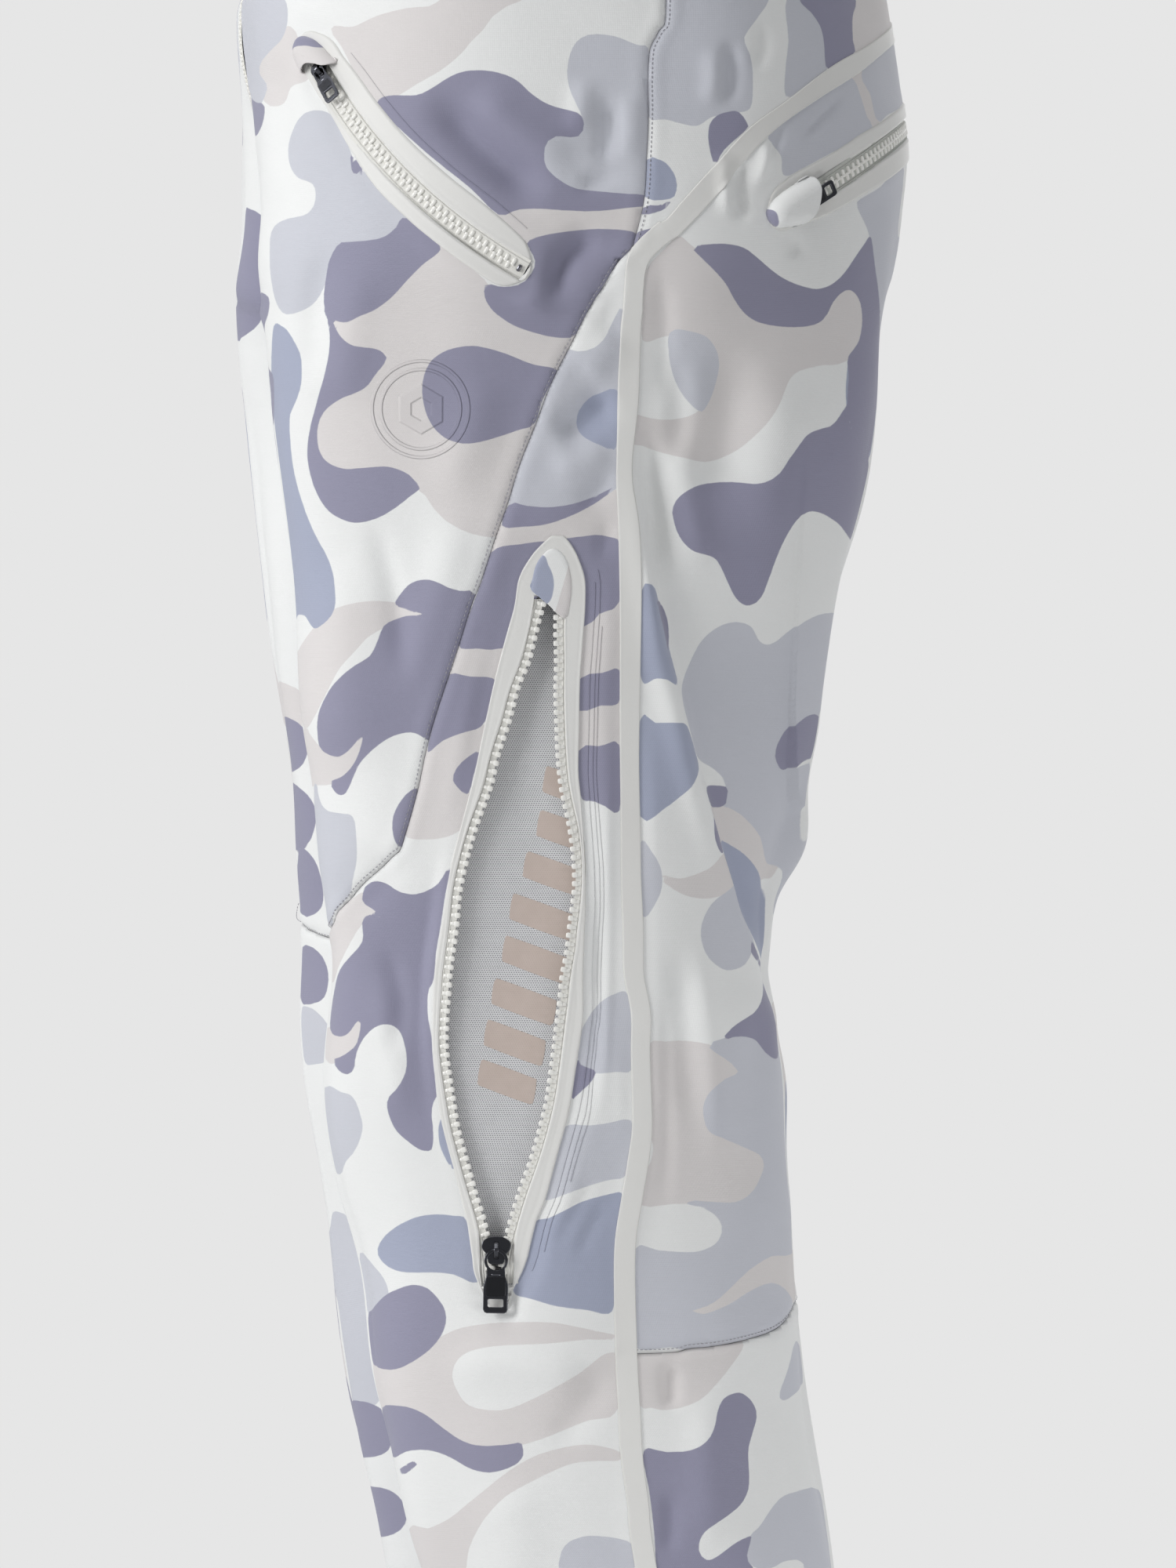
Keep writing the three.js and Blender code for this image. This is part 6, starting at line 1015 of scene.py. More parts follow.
# ---- vent teeth, ribbed tapes and mesh ----------------------------------------------------
def vent_shift(u, z):
    """brings the rows to the level of the slider's arc"""
    mid = (uAt(TEF, z) + uAt(TEB, z)) / 2; d = np.linspace(0, VENT.length, 400); q = VENT.at(d)
    D = np.interp(-np.asarray(z, float), -q[:, 2], d); P = VENT.at(D)
    return np.clip(((P - surf(mid, P[:, 2])) * normal(mid, P[:, 2])).sum(-1), -1.5, 1.5)
head, headF = superball(1.5, 1.42, 1.2, 0.5, 0.55, 12, 8)
body, bodyF = superball(1.7, 1.0, 0.9, 0.5, 0.5, 10, 5)
for side, sg in SIDES:
    for nm, arr, s in (("front", TEF, -1), ("back", TEB, 1)):
        line = np.array([p for p in arr if -744.0 <= p[1] <= -409.5]); n = 79
        pts, L = even(line, n)
        u, z = pts[:, 0], pts[:, 1]; sh = vent_shift(u, z)
        P0 = surf(u, z) + normal(u, z) * sh[:, None]; T = unit(np.gradient(P0, axis=0)); N = normal(u, z); B = unit(np.cross(T, N)) ; 
        mid = (uAt(TEF, z) + uAt(TEB, z)) / 2; toM = surf(u + s * 0.05, z) - surf(u, z)   # away from the opening
        B = B * np.sign((B * toM).sum(-1))[:, None]
        parts = []
        for k in range(n):
            if k % 2 == (0 if s < 0 else 1) or True:
                c = P0[k] + (T[k] * (0 if s < 0 else L / n / 2))
                parts.append((place(head, c + B[k] * 0.9, B[k], T[k], N[k]), headF))
                parts.append((place(body, c + B[k] * 2.6, B[k], T[k], N[k]), bodyF))
        V, Fc = join_meshes(parts)
        make(f"{side}_vent_teeth_{nm}_row", mir(V, sg), Fc, M_TOOTH, "pants", [f"{side}_vent_teeth_{nm}"], sg)
        zz = np.linspace(-407, -751, 170); uu = uAt(arr, zz); ii = np.asarray(innerU(zz, s)); shz = vent_shift(uu, zz)
        cols = 22; tt = np.linspace(0, 1, cols + 1); a = u_off(uu, zz, s * 1.2)[:, None]; b = u_off(ii, zz, s * 2.0)[:, None]
        U = a + (b - a) * tt; Z = zz[:, None] + 0 * U; x = tt * np.abs((b - a)) * mm(uu, zz)[:, None]
        rib = np.exp(-((x - 3.0) / 0.30) ** 2) + np.exp(-((x - 4.3) / 0.30) ** 2) + 0.7 * np.exp(-((x - 5.6) / 0.3) ** 2)
        O = (shz[:, None] * (1 - tt) * 1.0 + 0.1 * tt) + 0.22 * rib - 0.15 + 0.5 * tt
        V = surf(U, Z) + normal(U, Z) * O[..., None]
        make(f"{side}_vent_tape_{nm}", mir(V.reshape(-1, 3), sg), grid_faces(*U.shape), M_RIB, "pants", [], sg, {"rib": rib.ravel()}, {"Flat": np.stack([arc(U, Z), Z], -1).reshape(-1, 2) / 1000})
    # mesh behind the vent, caught under the frame
    zz = np.linspace(-384, -760, 200); uL = np.interp(-zz, -np.array(outA)[:, 1], np.array(outA)[:, 0]); uR = np.interp(-zz, -np.array(outB)[:, 1], np.array(outB)[:, 0])
    iL, iR = np.asarray(innerU(np.clip(zz, -752, -405.5), -1)), np.asarray(innerU(np.clip(zz, -752, -405.5), 1))
    a = (uL * 0.45 + iL * 0.55)[:, None]; b = (uR * 0.45 + iR * 0.55)[:, None]; tt = np.linspace(0, 1, 61)
    U = a + (b - a) * tt; Z = zz[:, None] + 0 * U
    dep = 1.9 + 4.6 * np.sin(math.pi * tt) ** 0.7 * np.ones_like(U)
    XYm = plane(surf(U, Z)).reshape(-1, 2)
    dep = dep + 0.35 * np.sin(Z / 19 + tt * 5) * np.sin(math.pi * tt) + 0.8 * np.exp(-((Z + 560) / 50) ** 2) * np.sin(math.pi * tt)
    V = surf(U, Z) - normal(U, Z) * dep[..., None]
    A = arc(U, Z); a0 = arc(iR, zz)[:, None]
    # slanted bars printed up the mesh where the lining has its decoration
    pr = np.full(len(XYm), -9.0); c0, c1 = np.array([712.0, 985.0]), np.array([645.0, 1385.0]); ax = unit(c1 - c0); perp = np.array([ax[1], -ax[0]])
    for k in range(8):
        c = np.array([[714,1000],[712,1058],[704,1114],[692,1170],[682,1224],[668,1278],[656,1330],[646,1380]][k], float); w2 = [20,26,36,42,42,42,40,38][k]; h2 = 17
        poly = np.array([c + perp * x - ax * y + ax * x * 0.18 for x, y in ((-w2, -h2), (w2, -h2), (w2, h2), (-w2, h2))])
        poly = fine(np.vstack([[poly[i] * 0.9 + poly[(i - 1) % 4] * 0.1, poly[i] * 0.9 + poly[(i + 1) % 4] * 0.1] for i in range(4)]), 24, True)
        pr = np.maximum(pr, poly_sdf(XYm, poly) * 0.4)
    o = make(f"{side}_vent_mesh_cloth", mir(V.reshape(-1, 3), sg), grid_faces(*U.shape), M_MESH, "pants", [f"{side}_vent_mesh"], sg, {"print": pr},
             {"Flat": np.stack([A, Z], -1).reshape(-1, 2) / 1000, "Dots": np.stack([(A - a0) / 1.25, Z / 1.05], -1).reshape(-1, 2)})
    declare(U.ravel(), Z.ravel(), grid_faces(*U.shape), V.reshape(-1, 3))

# ---- closed chains --------------------------------------------------------------------------
th, thF = superball(1.75, 0.98, 0.85, 0.6, 0.6, 10, 6); hd, hdF = superball(0.95, 1.22, 0.9, 0.75, 0.8, 10, 6)
def chain_piece(name, T, node, sg):
    parts = []; n = int((T.length - 2) / 2.15)
    for k in range(n):
        d = 1.0 + 2.15 * k; s = 1 if k % 2 else -1; p, b, t, w = T.frame(d)
        parts.append((place(th, p + b * s * 1.75, b, t, w), thF)); parts.append((place(hd, p + b * s * 0.15, b, t, w), hdF))
    V, Fc = join_meshes(parts)
    make(name + "_teeth", mir(V, sg), Fc, M_TOOTH, "pants", [node], sg)
    # the back pocket's chain tape takes the darker copy of the zip tape: painted shade of the recess it sits in
    dd = np.linspace(-1.5, T.length + 4, 90); bb = np.linspace(-6.4, 6.4, 45); rib = np.exp(-((np.abs(bb) - 4.4) / 0.28) ** 2) + 0.0 * bb; grey = "back_pocket" in name
    V = T.at(dd[:, None] + 0 * bb, bb + 0 * dd[:, None], (-0.15 + 0.2 * rib + 0 * bb) + 0 * dd[:, None])
    make(name + "_tape", mir(V.reshape(-1, 3), sg), [f[::-1] for f in grid_faces(90, 45)], M_RIB_SHADED if grey else M_RIB, "pants", [], sg, {"rib": np.tile(rib, 90)}, {"Flat": np.stack(np.broadcast_arrays(bb + 0 * dd[:, None], dd[:, None] + 0 * bb), -1).reshape(-1, 2) / 1000})
    p, b, t, w = T.frame(T.length + 0.6)
    st, stF = superball(1.9, 1.0, 1.5, 0.45, 0.45, 12, 6)
    make(name + "_stop", mir(place(st, p + w * 0.2, b, t, w), sg), stF, M_METAL, "pants", [], sg)

# ---- sliders and pullers ---------------------------------------------------------------------
def slider_piece(name, T, at_d, kind, bodyname, node, sg):
    p, b, t, w = T.frame(at_d); big = kind == "big"
    half, ln, lo = (7.35, 14.0, 2.05) if big else (4.85, 11.0, 1.65)
    hi = lo + 1.2; cw = hi + 0.3 + 1.35
    k = half / 7.35; q = ln / 14.0
    right = [(2.0, -7), (4.2, -6.4), (6.5, -4.9), (7.35, -2.7), (7.0, -0.6), (5.5, 1.3), (4.5, 3.2), (4.2, 5.2), (3.4, 6.6), (1.8, 7)]
    wing = fine([(x * k, y * q) for x, y in right] + [(-x * k, y * q) for x, y in right[::-1]], 60, True).tolist()
    top, tF = plate(wing, 1.2, 0.42, seg=3); parts = [(place(top + [0, 0, lo + 0.6], p, b, t, w), tF), (place(top + [0, 0, -lo - 0.6], p, b, t, w), tF)]
    web, wF = superball(0.3 if big else 0.2, ln * 0.35, lo + 0.2, 0.4, 0.4, 10, 4); parts.append((place(web, p, b, t, w), wF))
    # arched bridge with the eye that the puller hangs in
    R = 1.35; out = [(-4.6 * q, hi - 0.3), (-4.3 * q, hi + 0.9), (-3.2 * q, cw + 0.6)] + circ(0, cw, R + 1.1, 8, math.pi * 0.8, math.pi * 0.2) + [(3.2 * q, cw + 0.6), (4.3 * q, hi + 0.9), (4.6 * q, hi - 0.3)]
    br, bF = plate(out, 2.4, 0.45, [circ(0, cw, R, 20)], 3)
    Vb = np.stack([br[:, 2], br[:, 0], br[:, 1]], -1); parts.append((place(Vb, p, b, t, w), [f for f in bF]))
    V, Fc = join_meshes(parts)
    make(name, mir(V, sg), Fc, M_METAL, bodyname, [node], sg, angle=40)
    return p + w * cw, b, t, w
def puller_piece(name, piv, b, t, w, kind, bodyname, node, sg):
    if kind == "big":
        R, c = 6.0, 5.1; out = [(R * math.cos(a), c - R * math.sin(a)) for a in np.radians(np.linspace(-40, 220, 27))]
        out += [(-4.6, 12.4), (-5.3, 14.6), (-6.0, 17), (-6.2, 19), (-6.2, 29.6), (-5.6, 31.0), (-4.4, 31.5), (4.4, 31.5), (5.6, 31.0), (6.2, 29.6), (6.2, 19), (6.0, 17), (5.3, 14.6), (4.6, 12.4)]
        V, Fc = plate(out, 1.4, 0.45, [circ(0, c + 0.3, 4.5, 30), rrect(-3.9, 24.4, 3.9, 28.4, 0.8)], 3)
        ov, oF = plate(rrect(-5.0, 13.2, 5.0, 23.2, 1.2), 0.5, 0.2); ov = ov + [0, 0, 0.78]
        mk, mF = superball(2.2, 0.45, 0.25, 0.5, 0.5, 10, 4); mk = mk + [0, 12.2, 0.7]
    else:
        out = [(-3.0, -0.7), (3.0, -0.7), (3.6, 0.4), (3.6, 6.3), (4.3, 8.5), (4.3, 18.6), (3.9, 19.9), (3.0, 20.4), (-3.0, 20.4), (-3.9, 19.9), (-4.3, 18.6), (-4.3, 8.5), (-3.6, 6.3), (-3.6, 0.4)]
        V, Fc = plate(out, 1.3, 0.4, [rrect(-2.3, 0.7, 2.3, 5.6, 0.7), rrect(-2.5, 14.2, 2.5, 18.2, 0.7)], 3)
        ov, oF = plate(rrect(-3.3, 8.6, 3.3, 13.2, 0.9), 0.45, 0.18); ov = ov + [0, 0, 0.7]
        mk, mF = superball(1.6, 0.35, 0.2, 0.5, 0.5, 10, 4); mk = mk + [0, 7.2, 0.62]
    Va, Fa = join_meshes([(place(V, piv, b, t, w), Fc), (place(mk, piv, b, t, w), mF)])
    n = len(Va); Vo = place(ov, piv, b, t, w); Vall = np.vstack([Va, Vo]); Fall = Fa + [tuple(x + n for x in f) for f in oF]
    make(name, mir(Vall, sg), Fall, [M_METAL, M_DARK], bodyname, [node], sg, matidx=[0] * len(Fa) + [1] * len(oF), angle=40)

def garage(name, px, n_mouth, H, R, sg, attrs_fn, lift=0.0):
    """a hood of cloth over a parked slider; its last n_mouth outline points are the open mouth"""
    l = fine(px_uz(px), 96, True); c = l.mean(0); nr = 22; rr = np.linspace(0, 1, nr) ** 0.8; n = len(l)
    U = c[0] + (l[:, 0] - c[0]) * rr[:, None]; Z = c[1] + (l[:, 1] - c[1]) * rr[:, None]
    XY = plane(surf(U.ravel(), Z.ravel())); shut = np.array(px[: len(px) - n_mouth + 1] if n_mouth else px + px[:1], float)
    e_ = line_dist(XY, fine(shut, 60))[0] * 0.4
    k = np.clip(e_ / R, 0, 1); h = lift - 0.1 + H * np.sqrt(1 - (1 - k) ** 2)
    V = Q(U, Z, h.reshape(U.shape), 1.0, np.zeros_like(U)) * np.array([sg, 1, 1])
    F = grid_faces(nr, n, True); uz = (U.ravel(), Z.ravel())
    rim = ((1 - rr[:, None]) * 10 + 0 * U).ravel()
    at = {"cT": np.full(U.size, -9.0), "cL": np.full(U.size, -9.0), "cB": np.full(U.size, -9.0), "cV": np.full(U.size, -9.0), "seam": np.full(U.size, 9.0), "stitchline": np.zeros(U.size)}
    at.update(attrs_fn(XY))
    o = make(name, V.reshape(-1, 3), F, M_CLOTH, "pants", [], sg, at, {"Flat": np.stack([arc(*uz), uz[1]], -1) / 1000})
    solidify(o, 0.7)
    declare(uz[0], uz[1], F, V.reshape(-1, 3) * 0.94)
for side, sg in SIDES:
    frame_piece(f"{side}_hand_pocket_frame_band", HAND_UP, HAND_LOW, HAND, f"{side}_hand_pocket_frame", sg)
    frame_piece(f"{side}_back_pocket_frame_band", _bUp, _bLow, BACK, f"{side}_back_pocket_frame", sg)
    chain_piece(f"{side}_hand_pocket_chain", HAND, f"{side}_hand_pocket_chain", sg)
    chain_piece(f"{side}_back_pocket_chain", BACK, f"{side}_back_pocket_chain", sg)
    for nm, T, d, kind in (("vent", VENT, VENT.length - 2, "big"), ("hand_pocket", HAND, 7.0, "small"), ("back_pocket", BACK, 7.0, "small")):
        pv, b, t, w = slider_piece(f"{side}_{nm}_slider_metal", T, d, kind, f"{side}_{nm}_slider_body", f"{side}_{nm}_slider", sg)
        puller_piece(f"{side}_{nm}_puller_metal", pv, b, t, w, kind, f"{side}_{nm}_puller_body", f"{side}_{nm}_puller", sg)
pv, b, t, w = slider_piece("fly_slider_metal", FLY, 7.0, "small", "fly_slider_body", "fly_slider", 1)
puller_piece("fly_puller_metal", pv, b, t, w, "small", "fly_puller_body", "fly_puller", 1)
chain_piece("fly_chain", FLY, "fly_chain", 1)

# ---- garages -----------------------------------------------------------------------------------
G_HAND = [(388, 94), (383, 84), (378, 70), (379, 56), (386, 46), (400, 49), (413, 59), (424, 71), (432, 79), (422, 84), (412, 82), (402, 82), (395, 88)]
G_BACK = [(1017, 288), (1004, 290), (992, 291), (983, 286), (977, 273), (982, 259), (994, 247), (1010, 236), (1030, 225), (1036, 240), (1035, 258), (1029, 275)]
G_VENT = [(677, 751), (679, 738), (683, 722), (691, 709), (702, 700), (713, 702), (722, 713), (727, 730), (729, 750), (727, 770), (722, 788), (712, 784), (700, 772), (688, 762)]
def side_of(XY, a, b):
    a, b = np.array(a, float), np.array(b, float); d = unit(b - a); return ((XY - a) @ np.array([-d[1], d[0]])) * 0.4
for side, sg in SIDES:
    garage(f"{side}_hand_pocket_garage", G_HAND, 5, 7.6, 8.0, sg, lambda XY: {"cT": np.full(len(XY), 9.0), "cV": poly_sdf(XY, fine([(360, 74), (379, 67), (388, 61), (400, 59), (416, 60), (430, 40), (390, 20), (360, 40)], 60, True)) * 0.4})
    garage(f"{side}_back_pocket_garage", G_BACK, 4, 8.4, 8.0, sg, lambda XY: {"cV": poly_sdf(XY, fine([(970, 266), (980, 268), (985, 276), (988, 292), (976, 292), (966, 280)], 40, True)) * 0.4})
    garage(f"{side}_vent_garage", G_VENT, 4, 0.9, 3.0, sg, lambda XY: {"cT": side_of(XY, (728, 700), (702, 790)) * -1 - 1.2, "cB": poly_sdf(XY, fine([(692, 708), (699, 720), (705, 735), (706, 750), (700, 768), (680, 775), (660, 750), (670, 715)], 50, True)) * 0.4}, 1.15)
WORLD = 0.335
# name, place, aim, size in metres, watts, colour
LIGHTS = [
    ("key", tuple(RIGHT * -2800 + BACKW * 1800 + np.array([0, 0, 500])), (60, 0, -500), (1.2, 1.6), 61.0, (1.0, 1.0, 1.0)),
    ("top", (600, -600, 2300), (80, 0, -400), (1.6, 1.6), 19.0, (1.0, 1.0, 1.0)),
    ("front_fill", (-300, -3000, -300), (0, 0, -500), (2.5, 2.5), 14.0, (1.0, 1.0, 1.0)),
    ("back_fill", (-1500, 2600, 200), (0, 0, -500), (2.5, 2.5), 12.0, (1.0, 1.0, 1.0)),
    ("low_side", tuple(RIGHT * 850 + BACKW * 800 + np.array([0, 0, -960])), (90, 0, -980), (0.5, 0.3), 2.7, (1.0, 1.0, 1.0)),
    ("right_fill", (-2700, 1000, 300), (0, 0, -500), (2.0, 2.0), 26.0, (1.0, 1.0, 1.0)),
]
# ---- stitches along the plain seams --------------------------------------------------------------
dash, dashF = superball(0.26, 0.8, 0.22, 0.8, 0.8, 6, 4)
def stitches(lines, sg, off=0.25, pitch=2.3):
    parts = []
    for ln in lines:
        pts, L = even(ln, 300); pts, L = even(ln, max(4, int(L / pitch)))
        u, z = pts[:, 0], pts[:, 1]; P = Q(u, z, off, 1.0); T = unit(np.gradient(P, axis=0)); N = normal(u, z); B = np.cross(T, N)
        for k in range(len(P)): parts.append((place(dash, P[k], B[k], T[k], N[k]), dashF))
    return join_meshes(parts)
for side, sg in SIDES:
    dz = np.linspace(-232, -533, 120); sz = np.linspace(-41, -228, 90); du = np.linspace(0.15, 1.52, 90); cu_ = np.linspace(2.06, 3.9, 120)
    lines = [np.stack([u_off(frontU(dz), dz, -1.7), dz], -1), np.stack([u_off(frontU(sz), sz, 1.7), sz], -1), np.stack([du, dartZ(du) + 1.9], -1), np.stack([cu_, zAt(CALFs, cu_) + 1.8], -1)]
    V, Fc = stitches(lines, sg)
    make(f"{side}_seam_stitches", mir(V, sg), Fc, M_THREAD, "pants", [], sg)

# ---- waistband ------------------------------------------------------------------------------------
def band(U, z, o):
    U = np.asarray(U, float); right = U > 4; u = np.clip(np.where(right, 8 - U, U), 0, 4)
    p = surf(u, z) + normal(u, z) * np.asarray(o, float)[..., None]
    p[..., 0] = np.where((u < 0.001) | (u > 3.999), 0, p[..., 0]); p[..., 0] = np.where(right, -p[..., 0], p[..., 0])
    return p
Ub = 0.03 + 7.94 * (np.linspace(0, 1, 420)); 
prof = [(-38, -2.4), (-38.2, -0.9), (-37.4, -0.15), (-36, 0.05), (-34.6, -0.12), (-33.6, -0.1), (-31, 0.12), (-25, 0.4), (-19, 0.5), (-13, 0.4), (-7, 0.15), (-4.8, -0.1), (-3.8, -0.12), (-2.4, 0.1), (-0.8, 0.0), (-0.05, -0.6), (-0.05, -1.8), (-0.9, -2.5), (-6, -2.9), (-19, -3.1), (-32, -2.9), (-37.4, -2.6)]
zb = np.array([p[0] for p in prof]); ob = np.array([p[1] for p in prof])
UU = Ub[None, :] + 0 * zb[:, None]; ZZ = zb[:, None] + 0 * UU
gath = smooth(1.2, 1.6, np.minimum(UU, 8 - UU)) * smooth(3.2, 2.8, np.minimum(UU, 8 - UU))
OO = ob[:, None] + 0.22 * np.sin(UU * 55) * gath * (ob[:, None] > -1) + 0.10 * np.sin(UU * 23 + ZZ / 6)
V = band(UU, ZZ, OO)
A = np.where(UU > 4, 2 * arc(4.0 + 0 * UU, ZZ) - arc(8 - UU, ZZ), arc(UU, ZZ))
fcs = grid_faces(len(zb) + 1, len(Ub)); fcs = [tuple(x % (len(zb) * len(Ub)) for x in f) for f in fcs]
mi = [0 if (f[0] // len(Ub)) < 15 or (f[0] // len(Ub)) >= len(zb) else 1 for f in fcs]
ends = [tuple(i * len(Ub) for i in range(len(zb))), tuple(i * len(Ub) + len(Ub) - 1 for i in range(len(zb)))[::-1]]
o = make("waistband_cloth", V.reshape(-1, 3), [f[::-1] for f in fcs] + ends, [M_BAND, M_BACKING], "pants", ["waistband"], 1.0, None, {"Flat": np.stack([A, ZZ], -1).reshape(-1, 2) / 1000}, matidx=mi + [0, 0], skin=False)
# the tab that laps over the front and carries the snap
tu = np.linspace(0.16, -0.33, 46); tzz = np.linspace(-2.6, -35.4, 30)
TU, TZ = np.meshgrid(tu, tzz); x = (0.16 - TU) / 0.49; rz = np.abs(TZ + 19) / 16.4
r_end = smooth(0.0, 1.0, 1 - np.maximum(0, (x - 0.84) / 0.16)); keep = 1 - 0.22 * (np.maximum(0, (x - 0.84) / 0.16)) ** 2
TZ2 = -19 + (TZ + 19) * keep; au = np.abs(TU)
hgt = 0.35 + 1.55 * np.sqrt(np.clip(np.minimum(np.minimum((1 - rz) * 16.4 / 1.2, (1 - x) * 14 / 1.2), 1), 0, 1)) - 0.25 * np.exp(-(((1 - rz) * 16.4 - 2.6) / 0.6) ** 2)
p = surf(au, TZ2) + normal(au, TZ2) * hgt[..., None]; p[..., 0] = np.where(TU < 0, -p[..., 0], p[..., 0])
o = make("waistband_tab", p.reshape(-1, 3), [f for f in grid_faces(*TU.shape)], M_BAND, "pants", [], 1.0, None, {"Flat": np.stack([TU * 90, TZ2], -1).reshape(-1, 2) / 1000})
solidify(o, 1.0)
def local(U, z):
    u = abs(U); n = normal(u, z).copy(); q = surf(u, z).copy()
    if U < 0: n[0] = -n[0]; q[0] = -q[0]
    if U == 4: n[0] = 0; q[0] = 0; n = unit(n)
    b = unit(np.cross([0, 0, 1.0], n)); return q, b, np.cross(n, b), n
q, b, up, n = local(-0.25, -19.0)
pr = [(0, 1.2), (2.0, 1.25), (3.4, 1.15), (3.9, 1.45), (5.4, 1.5), (6.3, 1.3), (7.0, 0.8), (7.2, 0.2), (7.0, -0.3), (0, -0.3)]
na = 40; Vs = []
for r, h in pr:
    for k in range(na): a = 2 * math.pi * k / na; Vs.append((r * math.cos(a), r * math.sin(a), h + 3.3))
make("waist_snap_metal", place(np.array(Vs), q, b, up, n), grid_faces(len(pr), na, True), M_METAL, "pants", ["waist_snap_cap"], 1.0, angle=50)
def belt_loop(name, U, node, sg):
    q, b, up, n = local(U, -19.0)
    path = fine([(0.6, 17.2), (1.7, 17.3), (3.4, 15.8), (4.9, 12.6), (5.2, 9), (5.25, 0), (5.2, -9), (4.9, -12.6), (3.4, -15.8), (1.7, -17.3), (0.6, -17.2)], 60)
    T = unit(np.gradient(path, axis=0)); Nn = np.stack([T[:, 1], -T[:, 0]], -1)
    if Nn[30, 0] < 0: Nn = -Nn
    xs = np.linspace(-1, 1, 17); crown = 0.55 * (1 - xs ** 4) - 0.12 * np.exp(-((np.abs(xs) - 0.72) / 0.07) ** 2)
    V = []; uv = []; s = np.concatenate([[0], np.cumsum(np.linalg.norm(np.diff(path, axis=0), axis=1))])
    for (o_, y), (nx, ny), sv in zip(path, Nn, s):
        for x, c in zip(xs, crown): V.append(q + b * x * 5.0 + up * (y + ny * c * 0.6) + n * (o_ + nx * (c * 0.6))); uv.append((x * 5, sv))
    o = make(name, mir(np.array(V), sg), grid_faces(len(path), len(xs)), M_BAND, "pants", [node], sg, None, {"Flat": np.array(uv) / 1000}, skin=True); solidify(o, 0.9)
belt_loop("left_belt_loop_webbing", 0.95, "left_belt_loop", 1); belt_loop("right_belt_loop_webbing", 0.95, "right_belt_loop", -1); belt_loop("back_belt_loop_webbing", 4, "back_belt_loop", 1)
for side, sg in SIDES:
    tu = np.linspace(1.72, 1.3, 60); ty = np.linspace(-1, 1, 24); TU, TY = np.meshgrid(tu, ty); x = np.clip((1.38 - TU) / 0.08, 0, 1); half = 11 * np.sqrt(1 - 0.55 * x ** 2)
    TZ = -19 + TY * half; e = np.minimum((1 - np.abs(TY)) * 11, (TU - 1.3) * mm(TU, TZ))
    h = 0.9 + 0.95 * np.sqrt(np.clip(e / 1.2, 0, 1)) - 0.3 * np.exp(-((e - 2.4) / 0.5) ** 2)
    V = surf(TU, TZ) + normal(TU, TZ) * h[..., None]
    o = make(f"{side}_adjuster_tab_cloth", mir(V.reshape(-1, 3), sg), [f[::-1] for f in grid_faces(*TU.shape)], [M_BAND], f"{side}_adjuster_body", [f"{side}_adjuster_tab"], sg, None, {"Flat": np.stack([arc(TU, TZ), TZ], -1).reshape(-1, 2) / 1000})
    solidify(o, 1.0, M_BACKING)

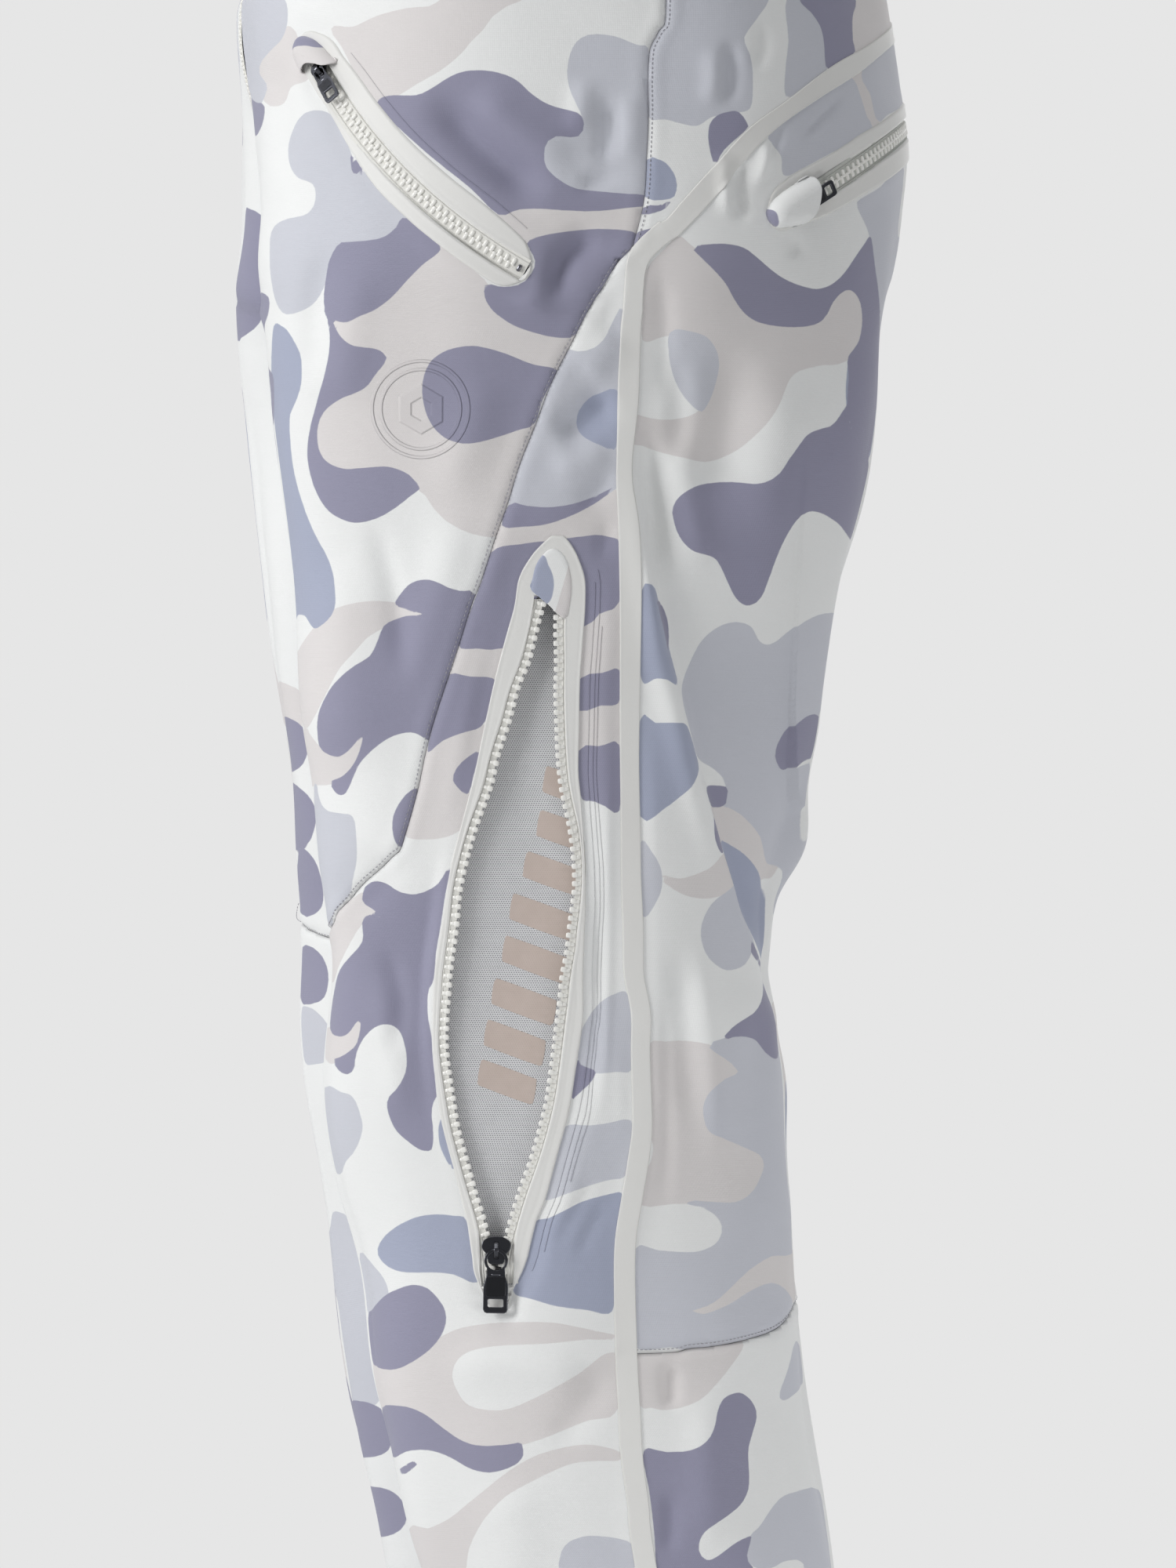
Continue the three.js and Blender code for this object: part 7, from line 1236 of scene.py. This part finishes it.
# ---- linings: gaiters, pocket bags, fly guard -------------------------------------------------------
for side, sg in SIDES:
    zz = np.linspace(-862, -1040, 90); uu = np.linspace(0, 4, 241)[:-1]; U, Z = np.meshgrid(uu, zz); P = surf(U, Z)
    cx = ((val("XO", Z) + val("XI", Z)) / 2); cy = ((val("YF", Z) + val("YB", Z)) / 2); c = np.stack([cx, cy, Z], -1)
    k = 0.853 - 0.004 * np.sin(U * math.pi * 12 + Z / 70) * smooth(-880, -1000, Z) - 0.012 * np.exp(-((Z + 1036) / 4) ** 2) - 0.006 * np.exp(-((Z + 1018) / 2.0) ** 2) * (1 + 0.6 * np.sin(U * math.pi * 30))
    V = c + (P - c) * k[..., None]; V[..., 2] = P[..., 2]
    F = [f[::-1] for f in grid_faces(90, 240, True)]; A = arc(U, Z) * 0.85
    o = make(f"{side}_gaiter_cloth", mir(V.reshape(-1, 3), sg), F, M_LINE, "pants", [f"{side}_gaiter"], sg, None, {"Flat": np.stack([A, Z], -1).reshape(-1, 2) / 1000})
    solidify(o, 0.6)
    # rubber grip strip inside the gaiter's hem
    zr = np.linspace(-1024, -1036, 7); U, Z = np.meshgrid(np.linspace(0, 4, 121)[:-1], zr); P = surf(U, Z); cx = ((val("XO", Z) + val("XI", Z)) / 2); cy = ((val("YF", Z) + val("YB", Z)) / 2); c = np.stack([cx, cy, Z], -1)
    V = c + (P - c) * (0.838 + 0.002 * np.sin(U * math.pi * 60))[..., None]; V[..., 2] = P[..., 2]
    make(f"{side}_gaiter_grip", mir(V.reshape(-1, 3), sg), grid_faces(7, 120, True), M_RUBBER, "pants", [], sg, None, {"Flat": np.stack([arc(U, Z), Z], -1).reshape(-1, 2) / 1000})
    for nm, L, R in (("hand_pocket_bag", [[1.33,-124],[1.3,-160],[1.3,-205],[1.32,-250],[1.36,-290]], [[1.5,-124],[1.68,-160],[1.84,-205],[1.9,-250],[1.8,-290]]), ("back_pocket_bag", [[2.3,-200],[2.33,-225],[2.38,-260],[2.44,-285]], [[3.1,-158],[3.1,-190],[3.06,-240],[3.0,-272]])):
        L, R = resample(L, 60), resample(R, 60); tt = np.linspace(0, 1, 60); U = L[:, 0:1] + (R[:, 0:1] - L[:, 0:1]) * tt; Z = L[:, 1:2] + (R[:, 1:2] - L[:, 1:2]) * tt
        bulge = np.sin(math.pi * tt) ** 0.5 * np.sin(math.pi * np.linspace(0.02, 0.98, 60))[:, None] ** 0.5
        o_ = -9.2 - 1.1 * bulge + 0.35 * np.sin(U * 40 + Z / 8) * bulge
        V = surf(U, Z) + normal(U, Z) * o_[..., None]; F = grid_faces(60, 60)
        o = make(f"{side}_{nm}_cloth", mir(V.reshape(-1, 3), sg), F, M_LINE, "pants", [f"{side}_{nm}"], sg, None, {"Flat": np.stack([arc(U, Z), Z], -1).reshape(-1, 2) / 1000}); solidify(o, 0.8)
        declare(U.ravel(), Z.ravel(), F, V.reshape(-1, 3))
dd = np.linspace(-1, FLY.length + 6, 70); bb = np.linspace(-19.5, 19.5, 40)
V = FLY.at(dd[:, None] + 0 * bb, bb + 0 * dd[:, None], -8.4 + 0.25 * np.sin(bb / 4 + 0.3) + 0.2 * np.sin(dd[:, None] / 9)); F = [f[::-1] for f in grid_faces(70, 40)]
o = make("fly_guard_cloth", V.reshape(-1, 3), F, M_LINE, "pants", ["fly_guard"], 1.0, None, {"Flat": np.stack(np.broadcast_arrays(bb + 0 * dd[:, None], dd[:, None] + 0 * bb), -1).reshape(-1, 2) / 1000}); solidify(o, 0.8)
fl = (0.0392, (FLY.length + 7) / 1000 * 1.01)

# hem turned up inside each leg
for side, sg in SIDES:
    U = np.linspace(0.0008, 3.9992, 420); zr = np.array([-1050.2, -1050.6, -1050.4, -1049, -1040, -1030, -1020]); oo = np.array([0.1, -0.9, -2.0, -2.6, -2.7, -2.7, -2.6])
    UU, ZZ = np.meshgrid(U, zr); D0 = fold(U, np.full(U.shape, -1050.0), sg); V = surf(UU, ZZ) + normal(UU, ZZ) * (oo[:, None] + D0)[..., None]
    at = {"c" + k: np.tile(v, len(zr)) for k, v in camo("calf", U, np.full(U.shape, -1049.0), sg).items()}; at["seam"] = np.full(UU.size, 9.0); at["stitchline"] = np.zeros(UU.size)
    make(f"{side}_hem_turn", mir(V.reshape(-1, 3), sg), [f[::-1] for f in grid_faces(len(zr), len(U))], M_CLOTH, "pants", [], sg, at, {"Flat": np.stack([arc(UU, ZZ), ZZ], -1).reshape(-1, 2) / 1000})

# ---- studio --------------------------------------------------------------------------------------------
n = 96; V = [(0, 0, -1054.0)] + [(1650 * math.cos(2 * math.pi * k / n), 1650 * math.sin(2 * math.pi * k / n), -1054.0) for k in range(n)]
me = bpy.data.meshes.new("floor"); me.from_pydata((np.array(V) / 1000).tolist(), [], [(0, 1 + k, 1 + (k + 1) % n) for k in range(n)]); me.materials.append(floor_material())
fl = bpy.data.objects.new("floor", me); bpy.context.scene.collection.objects.link(fl)
world = bpy.data.worlds.new("studio"); bpy.context.scene.world = world; world.use_nodes = True; nt = world.node_tree; nt.nodes.clear()
bgA = nt.nodes.new("ShaderNodeBackground"); bgA.inputs[0].default_value = lin("#e6e6e6"); bgA.inputs[1].default_value = 1.0
bgB = nt.nodes.new("ShaderNodeBackground"); bgB.inputs[0].default_value = (0.97, 0.98, 1.0, 1); bgB.inputs[1].default_value = WORLD
lp = nt.nodes.new("ShaderNodeLightPath"); mx = nt.nodes.new("ShaderNodeMixShader"); ow = nt.nodes.new("ShaderNodeOutputWorld")
nt.links.new(lp.outputs["Is Camera Ray"], mx.inputs[0]); nt.links.new(bgB.outputs[0], mx.inputs[1]); nt.links.new(bgA.outputs[0], mx.inputs[2]); nt.links.new(mx.outputs[0], ow.inputs[0])
def area(name, pos, target, size, power, col=(1, 1, 1)):
    l = bpy.data.lights.new(name, "AREA"); l.shape = "RECTANGLE"; l.size, l.size_y = size; l.energy = power; l.color = col
    o = bpy.data.objects.new(name, l); o.location = Vector(pos) / 1000; o.rotation_euler = (Vector(target) - Vector(pos)).to_track_quat("-Z", "Y").to_euler(); bpy.context.scene.collection.objects.link(o)
    o.visible_camera = False
    return o
for a in LIGHTS: area(*a)
cam = bpy.data.cameras.new("camera"); co = bpy.data.objects.new("camera", cam); bpy.context.scene.collection.objects.link(co)
cam.sensor_fit = "VERTICAL"; cam.sensor_height = 36.0; cam.sensor_width = 27.0
pos = RIGHT * 10 + BACKW * (5000 + CD0); pos[2] = -500.0
co.location = Vector(pos) / 1000; co.rotation_euler = Vector(-BACKW).to_track_quat("-Z", "Y").to_euler(); cam.lens = 36.0 * 5000 / 800.0; cam.clip_end = 60
bpy.context.scene.camera = co
bpy.context.scene.view_settings.view_transform = "Standard"; bpy.context.scene.view_settings.look = "None"
bpy.context.view_layer.update()
